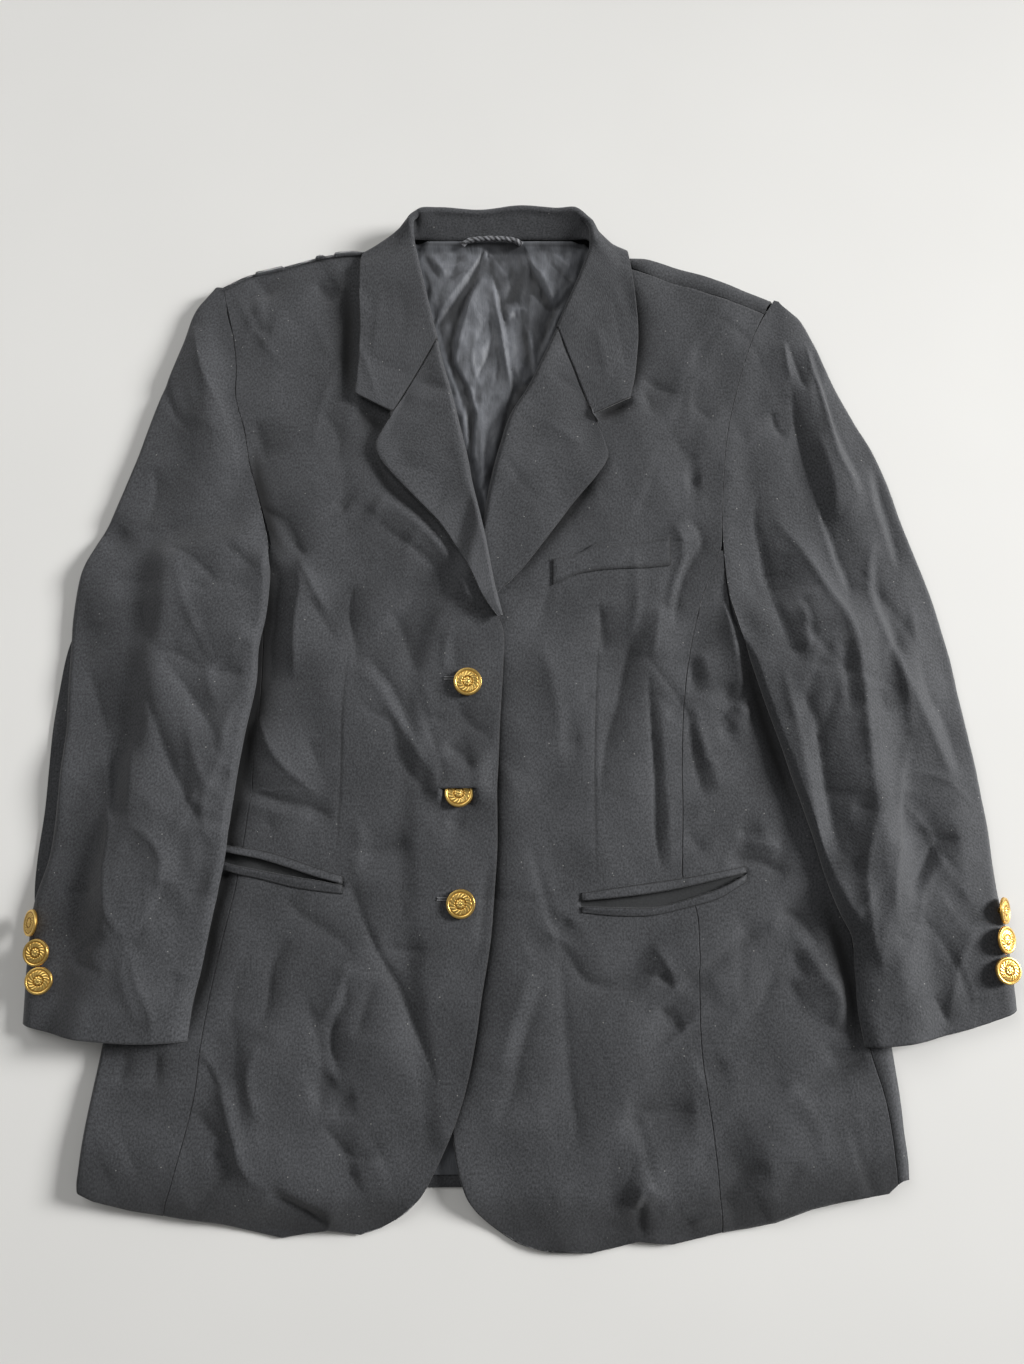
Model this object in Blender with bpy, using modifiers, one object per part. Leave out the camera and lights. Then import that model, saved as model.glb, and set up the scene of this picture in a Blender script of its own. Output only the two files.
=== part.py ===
"""A women's three-button blazer, laid flat with its fronts up.

The wearer's left is at +X, the collar at +Y, and the surface it lies on is z = 0.  Tables are in
millimetres.  Every cloth piece is a grid whose rows run across the garment; its outer face is laid at a
height worked out from what lies under it, and a Solidify modifier gives the wall inwards from that face.
"""
import math

import bmesh
import bpy
import numpy as np
from mathutils import Vector
from mathutils.bvhtree import BVHTree

MM = 0.001

# Walls and gaps
CLOTH = 2.0
FACING = 2.2
LINING = 1.0
SEAM_GAP = 0.3
LAYER_GAP = 0.8

# Heights of the upper faces over the surface
LINING_TOP = 4.0
FRONT_TOP = 7.5
OVERLAP_RISE = CLOTH + LAYER_GAP
LAPEL_GAP = 1.7
LAPEL_RISE = FACING + LAPEL_GAP
COLLAR_BED = 3.2
HEM_TOP = 3.0
BACK_HEM_Y = -364.0
HEM_SLOPE = 34.0
CLIMB = 20.0

# Turned edges.  The profile runs from the seam on top to the flat underside: how far in from the edge, and
# the share of the front's height.
EDGE_RADIUS = 4.5
LAPEL_RADIUS = 3.6
COLLAR_RADIUS = 3.2
FOOT = 0.5
TURNED_EDGE = [(0.0, 1.0), (4.0, 1.0), (0.3, 0.75), (0.3, 0.25), (4.0, 0.0)]
SHOULDER_WRAP = 12.5
PLAIN_INSET = 3.8
PLAIN_STEP = 0.8
PLAIN_SIDE_STEP = 1.2

# Sleeves
SLEEVE_EDGE = 8.0
SLEEVE_PUFF = 3.0
SEAM_BLEND = 26.0
SEAM_STEP = 4.0
SEAM_STEP_LENGTH = 55.0
SEAM_STEP_Y = {"right": 170.0, "left": 110.0}
CUFF_BOW = 5.0
BED_RAMP = 32.0

# Buttons
FRONT_BUTTON = 22.7
FRONT_STANDOFF = 1.0
TUCKED_BUTTON = 1
TUCKED_LEAN = -6.0
CUFF_BUTTON = 20.0
CUFF_SHANK = 3.0
SHANK = 4.2
HOLE = 6.0
BUTTON_STEPS = 16
# Share of the button's radius, and height over its back
BUTTON_PROFILE = [(0.0, 3.4), (0.55, 3.1), (0.86, 2.3), (0.95, 2.6), (1.0, 1.9), (0.9, 0.4)]
# Slit of the right front over the tucked button, and the rise of the cloth there
SLIT_Y = -73.4
SLIT_COLUMNS = (2, 6)
LIP_RISE = 6.2
LIP_HALF_WIDTH = 12.0
LIP_FADE = 18.0
LIP_LENGTH = 40.0

COLOURS = {
    "cloth": ((0.055, 0.056, 0.059), 0.85, 0.0),
    "facing": ((0.03, 0.03, 0.032), 0.9, 0.0),
    "lining": ((0.06, 0.06, 0.063), 0.4, 0.0),
    "cord": ((0.02, 0.02, 0.022), 0.6, 0.0),
    "brass": ((0.66, 0.44, 0.15), 0.3, 1.0),
}

# Right front, laps over the left one: inner edge x, y; outer edge x, y (armhole, then side seam)
FRONT_RIGHT = [
    (-99, 369, -243, 333), (-94, 352, -238, 314), (-88, 334, -232, 291), (-79, 312, -229, 266),
    (-71, 290, -228, 240), (-62, 258, -221, 215), (-54, 224, -216, 188), (-46, 190, -208, 161),
    (-41, 160, -202, 138), (-36, 134, -197, 119), (-30, 105, -202, 100), (-22.5, 72, -201, 72),
    (-13, 50, -200, 46), (-13, 15, -200, 15), (-15, -20, -201, -20), (-16, -50, -203, -48),
    (-17, -73.4, -204, -73.4), (-17, -76.6, -204, -76.6), (-17, -92, -206, -92), (-17, -118, -209, -118),
    (-19, -150, -213, -146), (-22, -188, -222, -188), (-28, -225, -229, -226), (-33, -260, -234, -262),
    (-41, -297, -237, -298), (-50, -323, -243, -325), (-61, -347, -248, -346), (-72, -366, -252, -362),
    (-86, -379, -255, -372), (-102, -388, -256, -379),
]
FIRST_SIDE_ROW_RIGHT = 9
SLIT_ROW = 16
# Columns of the right front: distances from its inner edge, then even ones to the outer edge
NEAR_EDGE = (0.0, 8.0, 15.0, 22.0, 29.0, 36.0, 48.0)
FAR_COLUMNS = 4

# Right side body: outer edge x, y, from the underarm down
SIDE_RIGHT = [
    (-262, 97), (-262, 84), (-262, 62), (-262, 40), (-263, 12), (-265, -20), (-268, -48), (-271, -73.4),
    (-271.5, -76.6), (-274, -92), (-279, -118), (-285, -146), (-294, -188), (-301, -224), (-307, -256),
    (-313, -292), (-317, -318), (-319, -336), (-320, -349), (-320.5, -356), (-320, -361),
]

# Left front, under the right one: inner edge x, y; outer edge x, y
FRONT_LEFT = [
    (70, 354, 199, 311), (63, 338, 190, 292), (54, 320, 182, 270), (40, 302, 175, 246),
    (26, 275, 169, 222), (14, 252, 165, 200), (-2, 226, 162, 170), (-13, 195, 160, 140),
    (-19, 165, 158, 113), (-24.5, 137, 151, 97), (-31, 108, 144, 80), (-38, 78, 136, 52),
    (-56, 57, 131, 28), (-66, 22, 127, 2), (-68, -15, 124.5, -28), (-70, -50, 123.5, -52),
    (-72, -85, 123, -88), (-71, -120, 122, -122), (-70, -150, 122, -141), (-69, -168, 131, -163),
    (-67, -190, 132, -190), (-63, -222, 132, -224), (-58, -260, 132.5, -260), (-52, -297, 136.5, -298),
    (-49, -323, 140, -324), (-45, -347, 142, -344), (-36, -370, 143.3, -360), (-20, -387, 144.3, -374),
    (0, -399, 145, -383), (20, -404, 145, -390),
]
FIRST_SIDE_ROW_LEFT = 8
FIRST_WRAP_ROW = 13

# Left side body: outer edge x, y, first along the armhole, then along the seam with the back
SIDE_LEFT = [
    (159.6, 112.7), (160.5, 95), (162.5, 78), (168, 51), (206, 44), (240, 36), (237, -24), (237.5, -52),
    (239, -88), (241, -122), (243, -143), (244.5, -163), (247, -190), (251, -224), (255, -262),
    (265, -298), (269, -324), (270, -336), (270.5, -343), (271, -349), (271, -353), (271, -357),
]

# Back: left edge of the row x, y (the wearer's right); right edge x, y
BACK = [
    (-238, 322, 202, 316), (-237, 308, 197, 292), (-232, 290, 192, 270), (-229, 266, 188, 246),
    (-228, 240, 187, 222), (-230, 215, 188, 200), (-235, 188, 192, 170), (-242, 161, 199, 140),
    (-250, 138, 208, 113), (-256, 119, 216, 97), (-259, 100, 226, 80), (-259, 75, 238, 60),
    (-259, 52, 247, 47), (-260, 20, 250, 38), (-262, -18, 250, -22), (-265, -48, 251, -50),
    (-270, -86, 253.5, -88), (-277, -121, 256, -122), (-281.5, -143, 258, -143), (-286, -163, 260, -163),
    (-291.5, -190, 263, -190), (-298, -224, 268, -224), (-304.5, -260, 273, -261),
    (-311, -297, 277.5, -298), (-315, -323, 279.5, -324), (-316, -335, 280.5, -335),
    (-316.5, -343, 281, -342), (-317, -350, 281, -347), (-317, -356, 281, -351), (-317, -361, 281, -354),
]
# Share of the top edge's shape in the first rows, and the columns as shares of a row
BACK_FOLLOW = (1.0, 0.8, 0.55, 0.35, 0.15)
BACK_TOP_INSET = 10.0
BACK_SHARES = (0.0, 0.14, 0.23, 0.45, 0.68, 0.78, 0.9, 1.0)

# Lining of the back: left edge x, y; right edge x, y
BACK_LINING = [
    (-78, 372, 48, 371.5), (-120, 345, 84, 338), (-150, 300, 110, 300), (-190, 220, 145, 210),
    (-210, 120, 170, 110), (-235, 20, 225, 20), (-245, -90, 232, -90), (-265, -200, 240, -200),
    (-285, -290, 255, -290), (-296, -353, 262, -350),
]

# Top edge of the garment: x, y, from the right shoulder over the neck to the left shoulder
TOP_EDGE = [
    (-246, 333), (-226, 346), (-196, 355), (-165, 363), (-124, 367), (-98, 370), (-60, 373), (0, 375),
    (45, 374), (66, 368), (84, 364), (106, 362), (136, 355), (177, 340), (204, 327), (210, 323),
]

# Right upper sleeve: inner edge x, y; outer edge x, y; edge height; foot over what it lies on; roll 0..1
UPPER_RIGHT = [
    (-244.5, 333, -251, 336, 8, 0.6, 0), (-238, 314, -266, 317, 8, 0.6, 0), (-232, 291, -275, 289, 8, 0.6, 0),
    (-229, 266, -283, 265, 8, 0.6, 0), (-228, 240, -292, 240, 8, 0.6, 0), (-221, 215, -300, 215, 8, 0.6, 0),
    (-216, 188, -308, 188, 8, 0.6, 0), (-208, 161, -318, 160, 8, 0.6, 0), (-202, 138, -327, 136, 8, 0.6, 0),
    (-197, 119, -336, 118, 8, 0.6, 0), (-195.5, 98, -345, 98, 8, 0.6, 1), (-197, 60, -350, 60, 8, 2.8, 1),
    (-201, 36, -350, 36, 8, 2.8, 1), (-202, 5, -350, 2, 8, 2.8, 1), (-208, -28, -349.5, -28, 8, 2.8, 1),
    (-213, -58, -351, -58, 8, 2.8, 1), (-217, -93, -352.5, -90, 8, 2.8, 1),
    (-220, -127, -356, -125, 9, 2.8, 1), (-227, -165, -365, -158, 11, 2.8, 1),
    (-234, -205, -367, -195, 13, 2.8, 1), (-240, -232, -368, -225, 13, 0.6, 1),
    (-243, -257, -368, -246, 12, 0.6, 1),
]
# Right under sleeve: inner edge x, y; outer edge x, y
UNDER_RIGHT = [
    (-241, 308, -262, 312), (-235.5, 290, -270, 289), (-232.5, 266, -278, 265), (-231.5, 240, -287, 240),
    (-233.5, 215, -295, 215), (-238.5, 188, -303, 188), (-245.5, 161, -313, 160), (-253.5, 138, -322, 135),
    (-261, 121, -331, 116), (-232, 117, -336, 107), (-200.5, 108, -340, 94), (-201, 60, -345, 60),
    (-205, 36, -353, 36), (-206, 5, -358, 2), (-212, -28, -361, -28), (-217, -58, -362, -58),
    (-221, -93, -363, -90), (-224, -127, -366, -125), (-231, -165, -366.5, -152),
    (-238, -205, -362, -190), (-244, -232, -363, -225), (-247, -255, -363, -245),
]

# Left upper sleeve: the same columns
UPPER_LEFT = [
    (199.6, 311, 228, 312, 8, 0.6, 0), (190, 292, 240, 291, 8, 0.6, 0), (182, 270, 248, 270, 8, 0.6, 0),
    (175, 246, 258, 246, 8, 0.6, 0), (169, 222, 270, 222, 8, 0.6, 0), (165, 200, 282, 200, 8, 0.6, 0),
    (162, 170, 294, 171, 8, 0.6, 0), (160, 140, 303, 140, 8, 0.6, 0), (160.2, 112.7, 312, 112, 8, 0.6, 0),
    (161.1, 95, 318, 95, 8, 0.6, 0), (163.1, 78, 323, 79, 8, 0.6, 0), (168.6, 51, 330, 52, 8, 0.6, 0),
    (177, 25, 336, 25, 8, 0.6, 1), (187, -6, 341, -6, 8, 0.6, 1), (198, -40, 347, -42, 8, 0.6, 1),
    (209, -75, 352, -75, 8, 0.6, 1), (219, -107, 356, -105, 8, 0.6, 1), (228, -140, 358, -135, 9, 0.6, 1),
    (238, -167, 361, -160, 12, 0.6, 1), (245, -182, 364, -177, 13, 0.6, 1),
    (246, -206, 366, -203, 13, 0.6, 1),
    (246.5, -234, 367.5, -222, 13, 0.6, 1), (251, -261, 368, -236, 12, 0.6, 1),
]
UNDER_LEFT = [
    (201, 292, 236, 291), (195.5, 270, 244, 270), (191.5, 246, 254, 246), (190.5, 222, 266, 222),
    (191.5, 200, 278, 200), (195.5, 170, 289, 171), (202.5, 140, 298, 140), (211.5, 113, 306, 112),
    (219.5, 99, 312, 98), (229.5, 83, 316, 84), (241, 66, 321, 72), (250, 59, 324, 62), (216, 58, 327, 50),
    (176, 46, 329, 36), (182, 24, 331, 22), (192, -6, 336, -6), (203, -40, 342, -42), (214, -75, 347, -75),
    (224, -107, 351, -105), (233, -140, 353, -135), (243, -167, 356, -160), (249, -182, 359, -177),
    (250.5, -206, 361, -203), (251, -234, 362.5, -222), (255, -258, 363, -235),
]

# Parts of the fronts that the sleeves lie on, as outlines
UNDER_SLEEVE_RIGHT = [(-196, 121), (-268, 99), (-272, 40), (-278, -48), (-304, -188), (-317, -256),
                      (-323, -292), (-200, -292), (-190, -100)]
UNDER_SLEEVE_LEFT = [(168, 56), (260, 52), (263, -22), (267, -122), (273, -190), (283, -261),
                     (287, -298), (180, -298), (160, -100)]

# Right lapel facing: roll line x, y; outer edge x, y, from the gorge down
LAPEL_RIGHT = [
    (-66, 289, -101, 225.5), (-61, 268, -108, 214), (-55, 247, -114, 202), (-48, 219, -113, 191),
    (-41, 190, -98, 171), (-38, 173, -81, 153), (-34, 155, -64, 135), (-30, 138, -53, 119),
    (-26, 120, -40, 97), (-19, 84, -27, 71), (-13, 61, -16, 57),
]
# Left lapel facing: the same columns
LAPEL_LEFT = [
    (30, 299, 57.5, 224), (19, 275, 64, 212), (8, 252, 69, 199), (-7, 227, 70, 188), (-15, 203, 61, 173),
    (-20, 185, 44, 153), (-25, 162, 31, 135), (-29, 137, 17, 116), (-34, 115, 1, 96), (-38, 95, -17, 79),
    (-42, 80, -30, 71),
]

# Collar sections from the right gorge round the neck to the left gorge.  Columns are points x, y, z:
# roll edge, neck seam, middle of the leaf, turn of the leaf, free edge.  A point with no z lies on the front.
COLLAR = [
    ((-66, 290), (-75, 287), (-83.5, 258), (-101.5, 227), (-124, 236)),
    ((-73, 318), (-84, 314), (-95, 290), (-113, 266), (-129, 258)),
    ((-79, 343), (-91, 338), (-102, 322), (-117, 308), (-129, 300)),
    ((-83, 360), (-94, 354), (-103, 344), (-118, 336), (-130, 328)),
    ((-85, 370), (-94, 363), (-103, 357), (-118, 352), (-130, 349)),
    ((-86, 378, 18), (-93, 369, 14.5), (-101, 370, 17), (-116, 364, 14.4), (-130, 362, 13.8)),
    ((-86, 386, 21), (-91, 374, 13.5), (-99, 381, 17), (-114, 374, 12), (-129, 370.5, 9)),
    ((-85, 391, 22), (-87, 376, 10), (-97, 386, 13), (-111, 380, 2.5), (-128, 373, 0.3)),
    ((-82, 396, 22), (-80, 376.5, 8.4), (-88, 393, 12), (-98, 385, 0.6), (-122, 348, 0)),
    ((-66, 398.5, 21), (-66, 376, 8), (-68, 401, 9), (-70, 396, 0.6), (-84, 352, 0)),
    ((-30, 399, 19), (-30, 376.5, 8), (-30, 401, 8), (-30, 396, 0.6), (-34, 356, 0)),
    ((0, 400, 19), (0, 377, 8), (0, 402, 8), (0, 397, 0.6), (2, 356, 0)),
    ((30, 398.5, 20), (29, 376.5, 8), (31, 400.5, 8), (31, 395, 0.6), (36, 354, 0)),
    ((47, 397, 22), (43, 376.5, 8.4), (52, 393, 12), (57, 385, 0.6), (72, 349, 0)),
    ((53, 391, 22), (49, 376, 10), (61, 386, 13), (71, 378, 2.5), (88, 370, 0.3)),
    ((56, 385, 21), (55, 374, 13.5), (65, 379, 17), (76, 371.5, 12), (89, 367, 9)),
    ((57, 377, 18), (61, 368, 14.5), (70, 369, 17), (80, 361.5, 14.4), (90, 358, 13.8)),
    ((57, 367), (65, 360), (73, 353), (82, 344), (92, 339)),
    ((52, 352), (63, 347), (74, 332), (86, 316), (96, 301)),
    ((44, 332), (54, 328), (66, 300), (81, 277), (93, 264)),
    ((30, 300), (38, 296), (44.5, 263), (58.5, 225.5), (86, 238)),
]
FRONT_SECTIONS = (5, 4)

# Main folds of the fronts and sides: from x, y to x, y; half width; height
FOLDS = [
    (-190, 318, -225, 300, 46, 3.0), (185, 300, 150, 318, 46, 3.0),
    (-120, 150, -60, 90, 40, 3.0), (-170, 60, -110, -60, 42, 3.0), (-120, -20, -70, -60, 34, 2.0),
    (-130, -190, -90, -290, 46, 4.0), (-220, -300, -150, -250, 44, 3.0), (-150, -380, -190, -340, 30, 4.0),
    (50, -20, 60, -110, 40, 2.5), (105, 60, 95, -60, 34, 3.5), (30, -200, -10, -300, 44, 3.5),
    (110, -215, 170, -180, 40, 4.0), (90, -390, 90, -340, 26, 4.0), (190, -330, 150, -370, 36, 3.5),
    (230, -290, 180, -330, 36, 3.0), (60, -230, 70, -330, 40, 2.5),
]
SLEEVE_FOLDS = [
    (-235, 280, -250, 150, 34, 4.0), (-330, 90, -240, 60, 38, 3.5), (-320, 60, -250, -50, 36, 4.0),
    (-270, -90, -300, -200, 36, 4.0), (230, 270, 265, 110, 32, 4.5), (200, 130, 235, -20, 32, 3.5),
    (290, 80, 315, -90, 34, 4.5), (250, -40, 285, -180, 34, 3.5), (330, -60, 335, -190, 30, 3.0),
]

# Breast welt: x; y of its top and bottom edges
WELT = [(25.5, 105, 85), (55, 114.6, 94), (86, 119.8, 98.5), (118.5, 124, 101)]
# Pocket jets: x; y of the upper jet's two edges; y of the lower jet's two edges
JETS_RIGHT = [(-216, -116.5, -122, -130, -136), (-196, -119, -126, -134, -140.5),
              (-172, -125.5, -133, -138.5, -146.5), (-150, -133, -140, -142, -150),
              (-132.5, -138.5, -144.5, -145.6, -152)]
JETS_LEFT = [(45.5, -151, -157, -161, -165.5), (72, -147, -154.5, -161.5, -168),
             (100, -143, -151, -161.5, -167.5), (125, -139.5, -146.5, -155.5, -162),
             (148, -135.5, -141, -148, -155.5), (170, -131, -136, -137.4, -143)]

# Middles of the buttons

FRONT_BUTTONS = [(-40, 8), (-46, -77), (-44, -159)]
CUFF_BUTTONS_RIGHT = [(-359, -173), (-355, -194), (-352, -214)]
CUFF_BUTTONS_LEFT = [(356, -164), (355, -185), (356, -207)]

# Middle line of the hanger loop: x, y, z
LOOP = [(-45, 370.5, 9.5), (-41, 376.5, 13.2), (-31, 380.5, 15.4), (-22, 381.5, 15.9), (-12, 380.8, 15.5),
        (-3, 377.5, 13.8), (1, 371.5, 9.7)]
LOOP_RADIUS = 2.1


def soft_step(t):
    """0 below 0, 1 above 1, smooth between."""
    t = np.clip(t, 0.0, 1.0)
    return t * t * (3.0 - 2.0 * t)


def segment_distance(x, y, x0, y0, x1, y1):
    """Distance to a segment, and how far along it the nearest point lies, 0 to 1."""
    dx, dy = x1 - x0, y1 - y0
    t = np.clip(((x - x0) * dx + (y - y0) * dy) / (dx * dx + dy * dy), 0.0, 1.0)
    return np.hypot(x - x0 - t * dx, y - y0 - t * dy), t


def cover(x, y, outline, ramp):
    """1 inside a closed outline, falling smoothly to 0 at the ramp's width outside it."""
    x, y = np.broadcast_arrays(np.asarray(x, float), np.asarray(y, float))
    nearest = np.full(x.shape, 1e9)
    inside = np.zeros(x.shape, bool)
    for (x0, y0), (x1, y1) in zip(outline, outline[1:] + outline[:1]):
        nearest = np.minimum(nearest, segment_distance(x, y, x0, y0, x1, y1)[0])
        if y0 != y1:
            crossing = (x1 - x0) * (y - y0) / (y1 - y0) + x0
            inside ^= ((y0 > y) != (y1 > y)) & (x < crossing)
    return np.where(inside, 1.0, 1.0 - soft_step(nearest / ramp))


def folds(x, y, table):
    """Sum of soft ridges, each highest at its middle."""
    rise = np.zeros(np.broadcast(x, y).shape)
    for x0, y0, x1, y1, half_width, height in table:
        distance, along = segment_distance(x, y, x0, y0, x1, y1)
        rise += height * (1.0 - soft_step(distance / half_width)) * (0.5 + 0.5 * np.sin(math.pi * along))
    return rise


COLLAR_BED_OUTLINE = [(-134, 340), (96, 340), (96, 385), (-134, 385)]
UNDERLAP_OUTLINE = [(row[0] - 4, row[1]) for row in FRONT_LEFT[6:25]] + [(60, -323), (60, 226)]
LAPEL_LEFT_OUTLINE = [row[:2] for row in LAPEL_LEFT] + [row[2:] for row in reversed(LAPEL_LEFT)]


def bed(x, y):
    """Lift of everything over the part of the collar that is tucked under the neck."""
    return COLLAR_BED * cover(x, y, COLLAR_BED_OUTLINE, 40.0)


def front_level(x, y):
    """Upper face of the fronts and sides where they lie on the back."""
    past_back = soft_step((BACK_HEM_Y - y) / HEM_SLOPE)
    return FRONT_TOP - (FRONT_TOP - HEM_TOP) * past_back + bed(x, y) + folds(x, y, FOLDS)


def over_level(x, y):
    """Upper face of the right front, which also climbs over the left front and the left lapel."""
    underlap = OVERLAP_RISE * cover(x, y, UNDERLAP_OUTLINE, CLIMB)
    lapel = (LAPEL_RISE + LAYER_GAP) * cover(x, y, LAPEL_LEFT_OUTLINE, CLIMB)
    return front_level(x, y) + underlap + lapel


def lip(x, y):
    """Rise of the right front over the half of the tucked button that lies under it."""
    across = 1.0 - soft_step((np.abs(x - FRONT_BUTTONS[TUCKED_BUTTON][0]) - LIP_HALF_WIDTH) / LIP_FADE)
    above = y - SLIT_Y
    return np.where(above > -0.1, LIP_RISE * across * (1.0 - soft_step(above / LIP_LENGTH)), 0.0)


def sleeve_bed(x, y):
    """What a sleeve lies on: the surface, or the front with a gap."""
    under = np.maximum(cover(x, y, UNDER_SLEEVE_RIGHT, BED_RAMP), cover(x, y, UNDER_SLEEVE_LEFT, BED_RAMP))
    return (front_level(x, y) + LAYER_GAP) * under


def evenly(count):
    """Shares of a row, from 0 to 1."""
    return np.linspace(0.0, 1.0, count + 1)


def ruled(rows, shares, bow=0.0):
    """Rows of points x, y from each row's inner to its outer edge; the last row bows down."""
    rows = np.asarray([row[:4] for row in rows], float)
    inner, outer = rows[:, None, :2], rows[:, None, 2:4]
    share = np.asarray(shares, float)[None, :, None]
    points = inner + (outer - inner) * share
    weight = np.zeros(len(rows))
    weight[-3:] = (0.25, 0.6, 1.0)
    points[:, :, 1] -= weight[:, None] * bow * 4.0 * share[:, :, 0] * (1.0 - share[:, :, 0])
    return points


def with_height(plan, height):
    """Plan points x, y joined with their heights."""
    return np.dstack([plan[:, :, 0], plan[:, :, 1], height])


def material(kind):
    """Principled material of one kind of cloth or metal."""
    found = bpy.data.materials.get(kind)
    if found:
        return found
    colour, roughness, metallic = COLOURS[kind]
    made = bpy.data.materials.new(kind)
    made.use_nodes = True
    shader = made.node_tree.nodes["Principled BSDF"]
    shader.inputs["Base Color"].default_value = (*colour, 1.0)
    shader.inputs["Roughness"].default_value = roughness
    shader.inputs["Metallic"].default_value = metallic
    return made


def add_object(name, mesh, kind, parts):
    """Put a mesh in the blazer's collection under its own name."""
    piece = bpy.data.objects.new(name, mesh)
    piece.data.materials.append(material(kind))
    parts.objects.link(piece)
    return piece


def add_sheet(name, points, wall, kind, parts, outer_up=True, hole=None, even=True):
    """Cloth of the given wall whose outer face passes through a grid of points.

    The hole is a range of rows and a range of columns whose faces are left out.
    """
    row_count, column_count = points.shape[:2]
    mesh = bpy.data.meshes.new(name)
    grid = bmesh.new()
    bmesh.ops.create_grid(grid, x_segments=column_count - 1, y_segments=row_count - 1, size=0.5)
    cells = {}
    for vertex in grid.verts:
        column = round((vertex.co.x + 0.5) * (column_count - 1))
        row = round((vertex.co.y + 0.5) * (row_count - 1))
        cells[vertex] = (row, column)
        vertex.co = points[row, column] * MM
    if hole:
        (first_row, last_row), (first_column, last_column) = hole
        cut = [face for face in grid.faces
               if all(first_row <= cells[v][0] <= last_row and first_column <= cells[v][1] <= last_column
                      for v in face.verts)]
        bmesh.ops.delete(grid, geom=cut, context="FACES")
    grid.normal_update()
    upward = sum(face.normal.z * face.calc_area() for face in grid.faces)
    if (upward > 0.0) != outer_up:
        bmesh.ops.reverse_faces(grid, faces=grid.faces)
    grid.to_mesh(mesh)
    grid.free()
    piece = add_object(name, mesh, kind, parts)
    solidify = piece.modifiers.new("Wall", "SOLIDIFY")
    solidify.thickness = wall * MM
    solidify.offset = -1.0
    solidify.use_even_offset = even
    return piece


def rolled(rows, shares, radius):
    """Columns of a row whose outer edge turns down: plan points, and how far down each one is, 0 to 1.

    The turn is a quarter of an ellipse, radius wide; the last column is at its foot.
    """
    rows = np.asarray([row[:4] for row in rows], float)
    inner, outer = rows[:, :2], rows[:, 2:4]
    width = np.hypot(*(outer - inner).T)[:, None]
    reach = np.minimum(radius, 0.45 * width)
    angles = np.radians([90.0, 60.0, 30.0, 0.0])
    across = np.hstack([np.asarray(shares)[None, :-1] * (width - reach),
                        width - reach * (1.0 - np.cos(angles))[None, :]])
    down = np.hstack([np.zeros(len(shares) - 1), 1.0 - np.sin(angles)])
    points = inner[:, None, :] + (outer - inner)[:, None, :] * (across / width)[:, :, None]
    return points, down[None, :]


def build_fronts(parts):
    """Both fronts and the side bodies."""
    rows = np.asarray(FRONT_RIGHT, float)
    width = np.hypot(rows[:, 2] - rows[:, 0], rows[:, 3] - rows[:, 1])[:, None]
    near = np.repeat([NEAR_EDGE], len(rows), 0)
    far = NEAR_EDGE[-1] + (width - NEAR_EDGE[-1]) * evenly(FAR_COLUMNS)[None, 1:]
    share = (np.hstack([near, far]) / width)[:, :, None]
    plan = rows[:, None, :2] + (rows[:, None, 2:4] - rows[:, None, :2]) * share
    plan[0, :, 1] = np.interp(plan[0, :, 0], *np.array(TOP_EDGE, float).T)
    plan[1, :, 1] = 0.5 * plan[1, :, 1] + 0.5 * (plan[0, :, 1] - 18.0)
    plan[-1, :, 1] -= 6.0 * 4.0 * (share * (1.0 - share))[-1, :, 0]
    height = over_level(plan[:, :, 0], plan[:, :, 1]) + lip(plan[:, :, 0], plan[:, :, 1])
    plan, height = turn_down_first_row(plan, height)
    add_sheet("front_right", with_height(plan, height), CLOTH, "cloth", parts,
              hole=((SLIT_ROW + 2, SLIT_ROW + 3), SLIT_COLUMNS))

    plan = ruled(FRONT_LEFT, evenly(7), bow=4.0)
    height = front_level(plan[:, :, 0], plan[:, :, 1])
    add_sheet("front_left", with_height(plan, height), CLOTH, "cloth", parts)

    inner = np.asarray(FRONT_RIGHT[FIRST_SIDE_ROW_RIGHT:], float)[:, 2:] - (SEAM_GAP, 0.0)
    plan, down = rolled(np.hstack([inner, np.asarray(SIDE_RIGHT, float)]), evenly(3), EDGE_RADIUS)
    level = front_level(plan[:, :, 0], plan[:, :, 1])
    add_sheet("side_right", with_height(plan, level - (level - FOOT) * down), CLOTH, "cloth", parts)

    inner = np.asarray(FRONT_LEFT[FIRST_SIDE_ROW_LEFT:], float)[:, 2:] + (SEAM_GAP, 0.0)
    plan = ruled(np.hstack([inner, np.asarray(SIDE_LEFT, float)]), evenly(3), bow=2.0)
    height = front_level(plan[:, :, 0], plan[:, :, 1])
    add_sheet("side_left", with_height(plan, height), CLOTH, "cloth", parts)


def turn_down_first_row(plan, height):
    """Two more rows before the first: the shoulder edge turns down to the surface."""
    edge_x, edge_y = plan[0, :, 0], plan[0, :, 1]
    low = bed(edge_x, edge_y) + FOOT
    rows = []
    rises = []
    for angle in np.radians([0.0, 40.0]):
        rows.append(np.column_stack([edge_x, edge_y - EDGE_RADIUS * (1.0 - math.cos(angle))]))
        rises.append(low + (height[0] - low) * math.sin(angle))
    plan = plan.copy()
    plan[0, :, 1] -= EDGE_RADIUS
    return np.concatenate([np.array(rows), plan]), np.concatenate([np.array(rises), height])


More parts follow.
